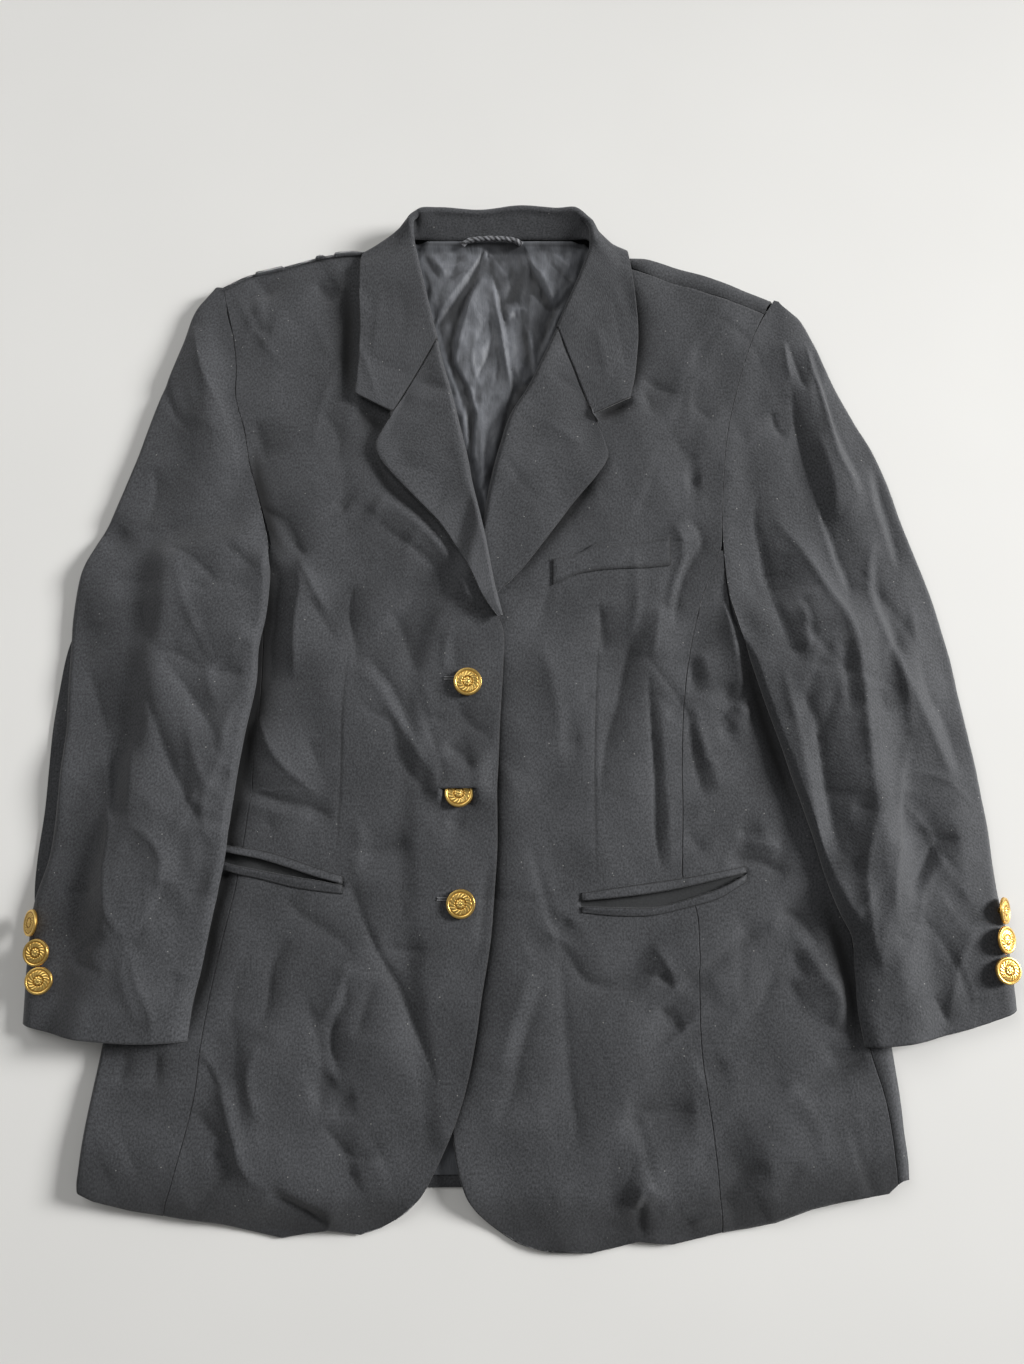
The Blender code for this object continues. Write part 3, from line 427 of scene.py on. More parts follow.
def closed_wall(face: Array, flat: Array, wall: float | Array, bulge: float | Array = 0.6,
        outer_up: bool = True, normals: Array | None = None, keep: Array | None = None, rings: int = 3,
        relief_and_painted_shade: Array | None = None, seam: Array | None = None) -> Surface:
    """Cloth of a given wall whose outer face is a grid.

    The inner face is the outer one moved back along its normals by the wall.  The rim between them is half an
    ellipse: outwards it reaches bulge · wall / 2, and the grid's edge is drawn in by as much.

    Args:
        face: Points of the outer face, rows × columns × 3.
        flat: Flat coordinates of the cloth, rows × columns × 2.
        wall: Thickness, one for all or one for each point.
        bulge: Roundness of the rim, 0 flat to 1 round.
        outer_up: Whether the outer face looks up.
        normals: Normals of the grid, where it isn't one smooth surface.
        keep: Cells that are kept, rows − 1 × columns − 1.
        rings: Rows of points on the rim.
        relief_and_painted_shade: How much painted shade darkens each point, 0 to 1.
        seam: Points on a sewn edge, whose rim is darkened all over with painted shade; other rims get painted
            shade that deepens towards the inner face.

    Returns:
        The closed surface.
    """
    rows, columns = face.shape[:2]
    normals = grid_normals(face) if normals is None else normals
    inside_out = (normals[..., 2].sum() > 0.0) != outer_up
    corner = np.arange(rows * columns).reshape(rows, columns)
    cells = np.stack([corner[:-1, :-1], corner[1:, :-1], corner[1:, 1:], corner[:-1, 1:]], axis=-1)
    quads = cells.reshape(-1, 4) if keep is None else cells[keep]
    if inside_out:
        quads, normals = quads[:, ::-1], -normals
    count = rows * columns
    points, normals = face.reshape(-1, 3).copy(), normals.reshape(-1, 3)
    half = np.broadcast_to(np.asarray(wall, float), (rows, columns)).reshape(-1, 1) / 2.0
    bulge = np.broadcast_to(np.asarray(bulge, float), (rows, columns)).reshape(-1, 1)

    first, second = quads.ravel(), np.roll(quads, -1, axis=1).ravel()
    open_edge = ~np.isin(first * count + second, second * count + first)
    first, second = first[open_edge], second[open_edge]
    outward = unit(np.cross(points[second] - points[first], normals[first] + normals[second]))
    away = np.zeros_like(points)
    np.add.at(away, first, outward)
    np.add.at(away, second, outward)
    rim = np.unique(first)
    away = unit(away[rim])
    points[rim] -= away * bulge[rim] * half[rim]
    place = np.zeros(count, np.int64)
    place[rim] = np.arange(len(rim))

    layers, numbers = [points], [rim]
    for ring in range(1, rings + 1):
        angle = math.pi * ring / (rings + 1)
        layers.append(points[rim] - half[rim] * (1.0 - math.cos(angle)) * normals[rim]
            + half[rim] * bulge[rim] * math.sin(angle) * away)
        numbers.append(2 * count + (ring - 1) * len(rim) + np.arange(len(rim)))
    numbers.append(rim + count)
    inner = points - 2.0 * half * normals
    all_points = np.concatenate([points, inner, *layers[1:]])
    faces = [quads, quads[:, ::-1] + count]
    a, b = place[first], place[second]
    for upper, lower in zip(numbers, numbers[1:]):
        faces.append(np.column_stack([upper[b], upper[a], lower[a], lower[b]]))
    flat = flat.reshape(-1, 2)
    relief_and_painted_shade = np.zeros(count) if relief_and_painted_shade is None else relief_and_painted_shade.ravel().astype(float)
    # Painted shade on the rims: a little at the top edge, deepening towards the inner face, and full at a
    # sewn edge
    sewn = relief_and_painted_shade[rim] if seam is None else np.maximum(relief_and_painted_shade[rim], seam.ravel()[rim])
    relief_and_painted_shade[rim] = np.maximum(relief_and_painted_shade[rim], 0.22)
    shades = [np.maximum(sewn, 0.55 + 0.4 * ring / rings) for ring in range(1, rings + 1)]
    relief_and_painted_shade = np.concatenate([relief_and_painted_shade, relief_and_painted_shade, *shades])
    all_flat = np.concatenate([flat, flat] + [flat[rim]] * rings)
    return Surface(all_points, np.concatenate(faces), all_flat, relief_and_painted_shade)


def flat_coordinates(face: Array) -> Array:
    """Flat coordinates of a grid of cloth: the distance run across each row from its middle, and along the
    piece.

    Args:
        face: Points, rows × columns × 3.

    Returns:
        Coordinates, rows × columns × 2.
    """
    across = np.concatenate([np.zeros((len(face), 1)), np.cumsum(np.linalg.norm(np.diff(face, axis=1),
        axis=2), axis=1)], axis=1)
    across -= across[:, -1:] / 2.0
    along = np.repeat(knots_of(face)[:, None], face.shape[1], axis=1)
    return np.dstack([across, along])


def with_height(plan: Array, height: Array) -> Array:
    """Plan points x, y joined with their heights."""
    return np.dstack([plan[..., 0], plan[..., 1], height])


def closed_sewn(face: Array, wall: float, seam: Array) -> Surface:
    """Cloth of a given wall whose rim is a little flatter along its sewn edges, and darkened there all over
    with painted shade.
    """
    return closed_wall(face, flat_coordinates(face), wall, np.where(seam > 0.0, 0.4, 0.5), seam=seam)


def turned(rings: Array, reach: Array | None = None) -> Surface:
    """Closed surface from rings round an upright axis, first and last a pole.

    Args:
        rings: Points, rings × sectors × 3; the first and the last ring are one point each.
        reach: Height of the relief for each point, from 0, deep, to 1, raised.

    Returns:
        The surface, which opens at no pole or seam.
    """
    count, sectors = rings.shape[:2]
    body = rings[1:-1].reshape(-1, 3)
    points = np.concatenate([rings[0, :1], body, rings[-1, :1]])
    ring = 1 + np.arange((count - 2) * sectors).reshape(count - 2, sectors)
    after = np.roll(ring, -1, axis=1)
    quads = np.stack([ring[:-1], ring[1:], after[1:], after[:-1]], axis=-1).reshape(-1, 4)
    top = np.column_stack([np.zeros(sectors, int), ring[0], after[0]])
    last = len(points) - 1
    bottom = np.column_stack([np.full(sectors, last), after[-1], ring[-1]])
    faces = quads.tolist() + top.tolist() + bottom.tolist()
    relief_and_painted_shade = None
    if reach is not None:
        relief_and_painted_shade = np.concatenate([reach[0, :1], reach[1:-1].ravel(), reach[-1, :1]])
    return Surface(points, faces, points[:, :2].copy(), relief_and_painted_shade)


# Courses and outlines, as laid
# Right front, laps over the left one: inner edge x, y; outer edge x, y (armhole, then side seam)
FRONT_RIGHT = [
    (-99, 369, -243, 333), (-94, 352, -238, 314), (-88, 334, -232, 291), (-79, 312, -229, 266),
    (-71, 290, -228, 240), (-62, 258, -221, 215), (-54, 224, -216, 188), (-46, 190, -208, 161),
    (-41, 160, -202, 138), (-36, 134, -197, 119), (-30, 105, -202, 100), (-22.5, 72, -201, 72),
    (-13, 50, -200, 46), (-13, 15, -200, 15), (-15, -20, -201, -20), (-16, -50, -203, -48),
    (-17, -73.4, -204, -73.4), (-17, -76.6, -204, -76.6), (-17, -92, -206, -92), (-17, -118, -209, -118),
    (-19, -150, -213, -146), (-22, -188, -222, -188), (-28, -225, -229, -226), (-33, -260, -234, -262),
    (-41, -297, -237, -298), (-50, -323, -243, -325), (-61, -347, -248, -346), (-72, -366, -252, -362),
    (-86, -379, -255, -372), (-102, -388, -256, -379),
]
# Right side body: outer edge x, y, from the underarm down
SIDE_RIGHT = [
    (-262, 97), (-262, 84), (-262, 62), (-262, 40), (-263, 12), (-265, -20), (-268, -48), (-271, -73.4),
    (-271.5, -76.6), (-274, -92), (-279, -118), (-285, -146), (-294, -188), (-301, -224), (-307, -256),
    (-313, -292), (-317, -318), (-319, -336), (-320, -349), (-320.5, -356), (-320, -361),
]
# Left front, under the right one: inner edge x, y; outer edge x, y
FRONT_LEFT = [
    (70, 354, 199, 311), (63, 338, 190, 292), (54, 320, 182, 270), (40, 302, 175, 246), (26, 275, 169, 222),
    (14, 252, 165, 200), (-2, 226, 162, 170), (-13, 195, 160, 140), (-19, 165, 158, 113),
    (-24.5, 137, 151, 97), (-31, 108, 144, 80), (-38, 78, 136, 52), (-56, 57, 131, 28), (-66, 22, 127, 2),
    (-68, -15, 124.5, -28), (-70, -50, 123.5, -52), (-72, -85, 123, -88), (-71, -120, 122, -122),
    (-70, -150, 122, -141), (-69, -168, 131, -163), (-67, -190, 132, -190), (-63, -222, 132, -224),
    (-58, -260, 132.5, -260), (-52, -297, 136.5, -298), (-49, -323, 140, -324), (-45, -347, 142, -344),
    (-36, -370, 143.3, -360), (-20, -387, 144.3, -374), (0, -399, 145, -383), (20, -404, 145, -390),
]
# Left side body: outer edge x, y, first along the armhole, then along the seam with the back
SIDE_LEFT = [
    (159.6, 112.7), (160.5, 95), (162.5, 78), (168, 51), (206, 44), (240, 36), (237, -24), (237.5, -52),
    (239, -88), (241, -122), (243, -143), (244.5, -163), (247, -190), (251, -224), (255, -262), (265, -298),
    (269, -324), (270, -336), (270.5, -343), (271, -349), (271, -353), (271, -357),
]
# Back: right edge x, y; left edge x, y
BACK = [
    (-238, 322, 202, 316), (-237, 308, 197, 292), (-232, 290, 192, 270), (-229, 266, 188, 246),
    (-228, 240, 187, 222), (-230, 215, 188, 200), (-235, 188, 192, 170), (-242, 161, 199, 140),
    (-250, 138, 208, 113), (-256, 119, 216, 97), (-259, 100, 226, 80), (-259, 75, 238, 60),
    (-259, 52, 247, 47), (-260, 20, 250, 38), (-262, -18, 250, -22), (-265, -48, 251, -50),
    (-270, -86, 253.5, -88), (-277, -121, 256, -122), (-281.5, -143, 258, -143), (-286, -163, 260, -163),
    (-291.5, -190, 263, -190), (-298, -224, 268, -224), (-304.5, -260, 273, -261), (-311, -297, 277.5, -298),
    (-315, -323, 279.5, -324), (-316, -335, 280.5, -335), (-316.5, -343, 281, -342), (-317, -350, 281, -347),
    (-317, -356, 281, -351), (-317, -361, 281, -354),
]
# Lining of the back: right edge x, y; left edge x, y
BACK_LINING = [
    (-86, 376.1, 54, 376.2), (-94, 366, 64, 364), (-120, 345, 84, 338), (-150, 300, 110, 300),
    (-190, 220, 145, 210), (-210, 120, 170, 110), (-235, 20, 225, 20), (-245, -90, 232, -90),
    (-265, -200, 240, -200), (-285, -290, 255, -290), (-296, -353, 262, -350),
]
# Hem of the fronts and sides, and the seam of the left shoulder: x, y
HEM = [
    (-320, -361), (-305, -368), (-280, -375), (-256, -379), (-215, -385), (-190, -391), (-171, -395),
    (-150, -391), (-138, -389), (-115, -393), (-100, -388.5), (0, -399), (20, -404), (51, -405), (71, -401),
    (85, -397), (109, -399), (129, -395), (146, -391), (165, -388), (183, -384), (209, -374), (235, -368),
    (264, -363), (270, -358), (280, -353),
]
SHOULDER_SEAM = [(60, 357.5), (88, 350), (140, 335), (170, 323.5), (196, 313), (199.6, 311)]
# Top edge: x, y, from the right shoulder over the neck to the left shoulder
TOP_EDGE = [
    (-252, 332), (-240, 338), (-226, 346), (-196, 355), (-165, 363), (-124, 367), (-98, 370), (-60, 373),
    (0, 375), (45, 374), (66, 368), (84, 364), (106, 362), (136, 355), (177, 340), (204, 327), (210, 323),
]
# Right upper sleeve: inner edge x, y; outer edge x, y; edge height; foot over what it lies on; roll 0 to 1
UPPER_RIGHT = [
    (-239.5, 334.5, -251, 335.5, 8, 0.6, 0), (-238, 314, -266, 317, 8, 0.6, 0),
    (-232, 291, -275, 289, 8, 0.6, 0), (-229, 266, -283, 265, 8, 0.6, 0), (-228, 240, -292, 240, 8, 0.6, 0),
    (-221, 215, -300, 215, 8, 0.6, 0), (-216, 188, -308, 188, 8, 0.6, 0), (-208, 161, -318, 160, 8, 0.6, 0),
    (-202, 138, -327, 136, 8, 0.6, 0), (-197, 119, -336, 118, 8, 0.6, 0), (-195.5, 98, -345, 98, 8, 0.6, 1),
    (-197, 60, -350, 60, 8, 2.8, 1), (-201, 36, -350, 36, 8, 2.8, 1), (-202, 5, -350, 2, 8, 2.8, 1),
    (-208, -28, -349.5, -28, 8, 2.8, 1), (-213, -58, -351, -58, 8, 2.8, 1),
    (-217, -93, -352.5, -90, 8, 2.8, 1), (-220, -127, -356, -125, 9, 2.8, 1),
    (-227, -165, -365, -158, 11, 2.8, 1), (-234, -205, -367, -195, 13, 2.8, 1),
    (-240, -232, -368, -225, 13, 0.6, 1), (-243, -257, -368, -246, 12, 0.6, 1),
]
# Right under sleeve: inner edge x, y; outer edge x, y
UNDER_RIGHT = [
    (-241, 308, -262, 312), (-235.5, 290, -270, 289), (-232.5, 266, -278, 265), (-231.5, 240, -287, 240),
    (-233.5, 215, -295, 215), (-238.5, 188, -303, 188), (-245.5, 161, -313, 160), (-253.5, 138, -322, 135),
    (-261, 121, -331, 116), (-232, 117, -336, 107), (-200.5, 108, -340, 94), (-201, 60, -345, 60),
    (-205, 36, -353, 36), (-206, 5, -358, 2), (-212, -28, -361, -28), (-217, -58, -362, -58),
    (-221, -93, -363, -90), (-224, -127, -366, -125), (-231, -165, -366.5, -152), (-238, -205, -362, -190),
    (-244, -232, -363, -225), (-247, -255, -363, -245),
]
# Left upper and under sleeves: the same columns
UPPER_LEFT = [
    (207.6, 323.6, 213, 322.2, 8, 0.6, 0), (203.8, 317.6, 220.5, 317.6, 8, 0.6, 0),
    (199.6, 311, 228, 311.8, 8, 0.6, 0), (190, 292, 240, 291, 8, 0.6, 0), (182, 270, 248, 270, 8, 0.6, 0),
    (175, 246, 258, 246, 8, 0.6, 0), (169, 222, 270, 222, 8, 0.6, 0), (165, 200, 282, 200, 8, 0.6, 0),
    (162, 170, 294, 171, 8, 0.6, 0), (160, 140, 303, 140, 8, 0.6, 0), (160.2, 112.7, 312, 112, 8, 0.6, 0),
    (161.1, 95, 318, 95, 8, 0.6, 0), (163.1, 78, 323, 79, 8, 0.6, 0), (168.6, 51, 330, 52, 8, 0.6, 0),
    (177, 25, 336, 25, 8, 0.6, 1), (187, -6, 341, -6, 8, 0.6, 1), (198, -40, 347, -42, 8, 0.6, 1),
    (209, -75, 352, -75, 8, 0.6, 1), (219, -107, 356, -105, 8, 0.6, 1), (228, -140, 358, -135, 9, 0.6, 1),
    (238, -167, 361, -160, 12, 0.6, 1), (245, -182, 364, -177, 13, 0.6, 1),
    (246, -206, 366, -203, 13, 0.6, 1), (246.5, -234, 367.5, -222, 13, 0.6, 1),
    (251, -261, 368, -236, 12, 0.6, 1),
]
UNDER_LEFT = [
    (201, 292, 236, 291), (195.5, 270, 244, 270), (191.5, 246, 254, 246), (190.5, 222, 266, 222),
    (191.5, 200, 278, 200), (195.5, 170, 289, 171), (202.5, 140, 298, 140), (211.5, 113, 306, 112),
    (219.5, 99, 312, 98), (229.5, 83, 316, 84), (241, 66, 321, 72), (250, 59, 324, 62), (216, 58, 327, 50),
    (176, 46, 329, 36), (182, 24, 331, 22), (192, -6, 336, -6), (203, -40, 342, -42), (214, -75, 347, -75),
    (224, -107, 351, -105), (233, -140, 353, -135), (243, -167, 356, -160), (249, -182, 359, -177),
    (250.5, -206, 361, -203), (251, -234, 362.5, -222), (255, -258, 363, -235),
]
# Parts of the fronts that the sleeves lie on, as outlines
UNDER_SLEEVE_RIGHT = [
    (-196, 121), (-268, 99), (-272, 40), (-278, -48), (-304, -188), (-317, -256), (-323, -292), (-200, -292),
    (-190, -100),
]
UNDER_SLEEVE_LEFT = [
    (168, 56), (260, 52), (263, -22), (267, -122), (273, -190), (283, -261), (287, -298), (180, -298),
    (160, -100),
]
# Lapels: roll line x, y; outer edge x, y, from the gorge down
LAPEL_RIGHT = [
    (-66, 289, -101, 225.5), (-61, 268, -108, 214), (-55, 247, -114, 202), (-48, 219, -113, 191),
    (-41, 190, -98, 171), (-38, 173, -81, 153), (-34, 155, -64, 135), (-30, 138, -53, 119),
    (-26, 120, -40, 97), (-19, 84, -27, 71), (-13, 61, -16, 57),
]
LAPEL_LEFT = [
    (30, 299, 57.5, 224), (19, 275, 64, 212), (8, 252, 69, 199), (-7, 227, 70, 188), (-15, 203, 61, 173),
    (-20, 185, 44, 153), (-25, 162, 31, 135), (-29, 137, 17, 116), (-34, 115, 1, 96), (-38, 95, -17, 79),
    (-42, 80, -30, 71),
]
# Collar sections from the right gorge round the neck to the left gorge: roll edge, neck seam, middle of the
# leaf, turn of the leaf, free edge.  A point with no height lies on the front.
COLLAR = [
    ((-66, 289.6), (-75, 287), (-83.6, 257.6), (-101.4, 226), (-132, 241)),
    ((-73, 318), (-84, 314), (-95, 290), (-113, 264), (-130, 262)),
    ((-79, 343), (-91, 338), (-102, 322), (-117, 306), (-129, 302)),
    ((-83, 360), (-94, 354), (-103, 344), (-118, 336), (-130, 328)),
    ((-85, 370), (-94, 363), (-103, 357), (-118, 352), (-130, 349)),
    ((-86, 378, 18), (-93, 369, 14.5), (-101, 369, 17), (-116, 362, 14.8), (-130, 356.5, 14.2)),
    ((-86, 386, 21), (-91, 374, 13.5), (-99, 380, 17), (-114, 371, 14), (-127.5, 362.5, 13.6)),
    ((-85, 391, 22), (-87, 376, 10), (-97, 386, 13), (-109.5, 377, 4), (-124, 367.5, 2.5)),
    ((-82, 396, 22), (-80, 376.5, 8.4), (-88, 393, 12), (-98, 385, 0.6), (-122, 348, 0)),
    ((-66, 397.6, 21), (-66, 376, 8), (-68, 400, 9), (-70, 396, 0.6), (-84, 352, 0)),
    ((-30, 397.4, 18), (-30, 376.5, 8), (-30, 399.4, 8), (-30, 394.4, 0.6), (-34, 356, 0)),
    ((0, 400, 20), (0, 377, 8), (0, 402, 8), (0, 397, 0.6), (2, 356, 0)),
    ((30, 397.8, 20), (29, 376.5, 8), (31, 399.8, 8), (31, 395, 0.6), (36, 354, 0)),
    ((47, 397, 22), (43, 376.5, 8.4), (52, 393, 12), (57, 385, 0.6), (72, 349, 0)),
    ((53, 391, 22), (49, 376, 10), (61, 386, 13), (71, 378, 2.5), (88, 370, 0.3)),
    ((56, 385, 21), (55, 374, 13.5), (65, 379, 17), (76, 371.5, 12), (89, 367, 9)),
    ((57, 377, 18), (61, 368, 14.5), (70, 369, 17), (80, 361.5, 14.4), (90, 358, 13.8)),
    ((57, 367), (65, 360), (73, 353), (82, 344), (92, 339)),
    ((52, 352), (63, 347), (74, 332), (86, 316), (96, 301)),
    ((44, 332), (54, 328), (66, 300), (81, 275), (94, 266)),
    ((30, 299.6), (38, 296), (44.3, 261.9), (58, 224.4), (89, 238)),
]
# Broad swells of the fronts and sides: from x, y to x, y; half width; height
SWELLS = [
    (-190, 318, -225, 300, 46, 3), (185, 300, 150, 318, 46, 3), (-120, 150, -60, 90, 40, 3),
    (-170, 60, -110, -60, 42, 3), (-120, -20, -70, -60, 34, 2), (-130, -190, -90, -290, 46, 4),
    (-220, -300, -150, -250, 44, 3), (-150, -380, -190, -340, 30, 4), (50, -20, 60, -110, 40, 2.5),
    (105, 60, 95, -60, 34, 3.5), (30, -200, -10, -300, 44, 3.5), (110, -215, 170, -180, 40, 4),
    (90, -390, 90, -340, 26, 4), (190, -330, 150, -370, 36, 3.5), (230, -290, 180, -330, 36, 3),
    (60, -230, 70, -330, 40, 2.5),
]
# Broad swells of the sleeves: the same columns
SLEEVE_SWELLS = [
    (-235, 280, -250, 150, 34, 4), (-330, 90, -240, 60, 38, 3.5), (-320, 60, -250, -50, 36, 4),
    (-270, -90, -300, -200, 36, 4), (230, 270, 265, 110, 32, 4.5), (200, 130, 235, -20, 32, 3.5),
    (290, 80, 315, -90, 34, 4.5), (250, -40, 285, -180, 34, 3.5), (330, -60, 335, -190, 30, 3),
]
# Breast welt: x; y of its top and bottom edges
WELT = [
    (25.5, 106, 85), (49, 112, 94.5), (58, 117.5, 96), (80, 117, 98), (96, 120.5, 98.5), (118.5, 124.5, 101),
]
# Pocket jets: x; y of the upper jet's two edges; y of the lower jet's two edges
JETS_RIGHT = [
    (-227, -114.5, -119.5, -126.5, -132), (-216, -116.5, -122, -130, -136), (-196, -119, -126, -134, -140.5),
    (-172, -125.5, -133, -138.5, -146.5), (-150, -133, -140, -142, -150),
    (-132.5, -138.5, -144.5, -145.6, -152),
]
JETS_LEFT = [
    (45.5, -151, -157, -161, -165.5), (72, -147, -154.5, -161.5, -168), (100, -143, -151, -161.5, -167.5),
    (125, -139.5, -146.5, -155.5, -162), (148, -135.5, -141, -148, -155.5), (170, -131, -136, -137.4, -143),
]
# Middles of the buttons, from the top
FRONT_BUTTONS = [(-40, 8), (-46, -77), (-44, -159)]
CUFF_BUTTONS_RIGHT = [(-359, -173), (-355, -194), (-352, -214)]
CUFF_BUTTONS_LEFT = [(356, -164), (355, -185), (356, -207)]
# Middle line of the hanger loop: x, y, z
LOOP = [
    (-47, 371.6, 12.4), (-43, 374, 13.6), (-34, 375.4, 14.4), (-22, 375.9, 14.7), (-11, 375.4, 14.5),
    (-2, 374, 13.8), (2, 371.6, 12.6),
]

COLLAR_BED_OUTLINE = [(-134, 340), (96, 340), (96, 385), (-134, 385)]
UNDERLAP_OUTLINE = [(row[0] - 4, row[1]) for row in FRONT_LEFT[6:25]] + [(60, -323), (60, 226)]
LAPEL_LEFT_OUTLINE = [row[:2] for row in LAPEL_LEFT] + [row[2:] for row in reversed(LAPEL_LEFT)]
POCKET_UNDER_SLEEVE = [(-240, -106), (-208, -110), (-208, -146), (-240, -142)]
BELOW_SLIT = -76.6
FIRST_SIDE_ROW_RIGHT = 9
FIRST_SIDE_ROW_LEFT = 8
FIRST_WRAP_ROW = 13
RIGHT_DART = [(-132, 42), (-136, -21), (-136, -67), (-137, -95), (-138, -125)]
LEFT_DART = [(63, 66), (59, 0), (57, -60), (57, -145)]

# Main creases, as pressed one by one: reach, height, how pointed, then the points x, y of the course
# Right front
RIGHT_FRONT_CREASES = [
    (6, -3, 1.4, -219, 343, -208, 334, -204, 323), (6, -3, 1.4, -218, 301, -201, 294),
    (8, 2, 1.8, -216, 312, -205, 314), (5, -4, 1.3, -167, 341, -157, 329, -149, 323),
    (9, 2.6, 1.8, -149, 332, -136, 341), (9, -2.4, 1.6, -161, 231, -146, 210, -145, 179),
    (6, -2.4, 1.5, -147, 154, -137, 146), (5, 1.6, 1.2, -117, 143, -111, 152, -104, 160),
    (9, 3.4, 1.4, -103, 151, -74, 128, -48, 93, -34, 63),
    (7, -2.6, 1.4, -115, 139, -103, 129, -79, 111, -58, 89, -47, 67),
    (6, -4, 1.3, -204, 148, -189, 138, -174, 115, -167, 107), (6, 2.6, 1.3, -175, 109, -161, 83, -150, 63),
    (7, 2.8, 1.3, -176, 102, -171, 86, -174, 62, -174, 9), (10, -3, 1.8, -192, 106, -193, 57, -196, 2),
    (6, -2, 1.4, -165, 76, -141, 39), (5, -2.4, 1.3, -130, 85, -133, 62, -128, 39, -123, 19),
    (4, -2.4, 1.2, -121, 31, -102, 9, -84, -25, -78, -36),
    (7, -2.8, 1.4, -101, 67, -96, 58, -87, 36, -80, 14),
    (8, -3.2, 1.4, -120, -5, -114, -15, -101, -20, -91, -49, -79, -67, -62, -81),
    (7, 2.8, 1.3, -127, 19, -113, 9, -96, -17, -79, -44, -62, -67), (6, -2, 1.5, -63, -15, -63, -25),
    (5, -4.2, 1.2, -57, -40, -47, -46, -34, -60), (5, -3, 1.3, -60, -49, -59, -73),
    (4, -2.6, 1.3, -55, -98, -42, -102), (5, -2.4, 1.3, -126, -122, -101, -119, -84, -112),
    (7, -2, 1.6, -162, -36, -153, -59), (6, 2.8, 1.2, -201, -18, -189, -45, -173, -62, -151, -80),
    (5, -4.4, 1.2, -217, -77, -203, -77, -180, -84, -161, -87, -141, -96),
    (8, 2.2, 1.6, -214, -82, -182, -91, -157, -96), (7, -1.8, 1.6, -194, -93, -186, -108),
    (6, -3, 1.3, -172, -184, -184, -204, -186, -231, -192, -250),
    (8, -2.6, 1.5, -179, -152, -166, -165, -148, -177, -133, -186, -122, -198),
    (7, 2.8, 1.2, -127, -201, -136, -228, -146, -244),
    (5, -3.2, 1.3, -128, -209, -130, -233, -135, -241, -139, -259, -131, -283),
    (7, -3, 1.5, -107, -214, -114, -233, -120, -256),
    (5, -4, 1.2, -132, -134, -116, -171, -102, -199, -89, -222, -77, -250, -67, -272, -61, -292),
    (9, 2, 1.5, -123, -156, -106, -186, -92, -211), (4, -2, 1.3, -103, -190, -84, -193, -68, -193),
    (5, -3.6, 1.3, -154, -295, -144, -290, -136, -283),
    (6, 3, 1.3, -191, -259, -197, -277, -192, -306, -188, -315),
    (10, -2.4, 1.8, -210, -244, -206, -285, -201, -316, -196, -333),
    (6, 3.4, 1.2, -236, -259, -219, -286, -204, -332, -196, -350, -181, -360),
    (5, -2.4, 1.3, -230, -272, -215, -295), (5, -2.6, 1.3, -236, -306, -220, -323, -207, -333),
    (4, -3, 1.2, -225, -337, -205, -339), (5, -2.6, 1.3, -205, -341, -215, -353, -235, -374),
    (6, -5, 1.3, -181, -361, -160, -372, -137, -385), (7, 2, 1.5, -176, -356, -154, -366, -129, -379),
    (7, 3, 1.5, -121, -350, -99, -339), (6, -2.6, 1.4, -144, -315, -133, -328, -125, -337, -99, -335),
    (6, -2.4, 1.4, -133, -313, -130, -301, -119, -297), (6, -3, 1.4, -288, -263, -292, -290),
    (5, -3.4, 1.3, -266, -263, -265, -292), (9, 1.8, 1.6, -298, -350, -280, -340),
    (8, -3, 1.6, -212, 222, -203, 185), (8, -2.4, 1.6, -50, -5, -38, -25, -20, -35),
]
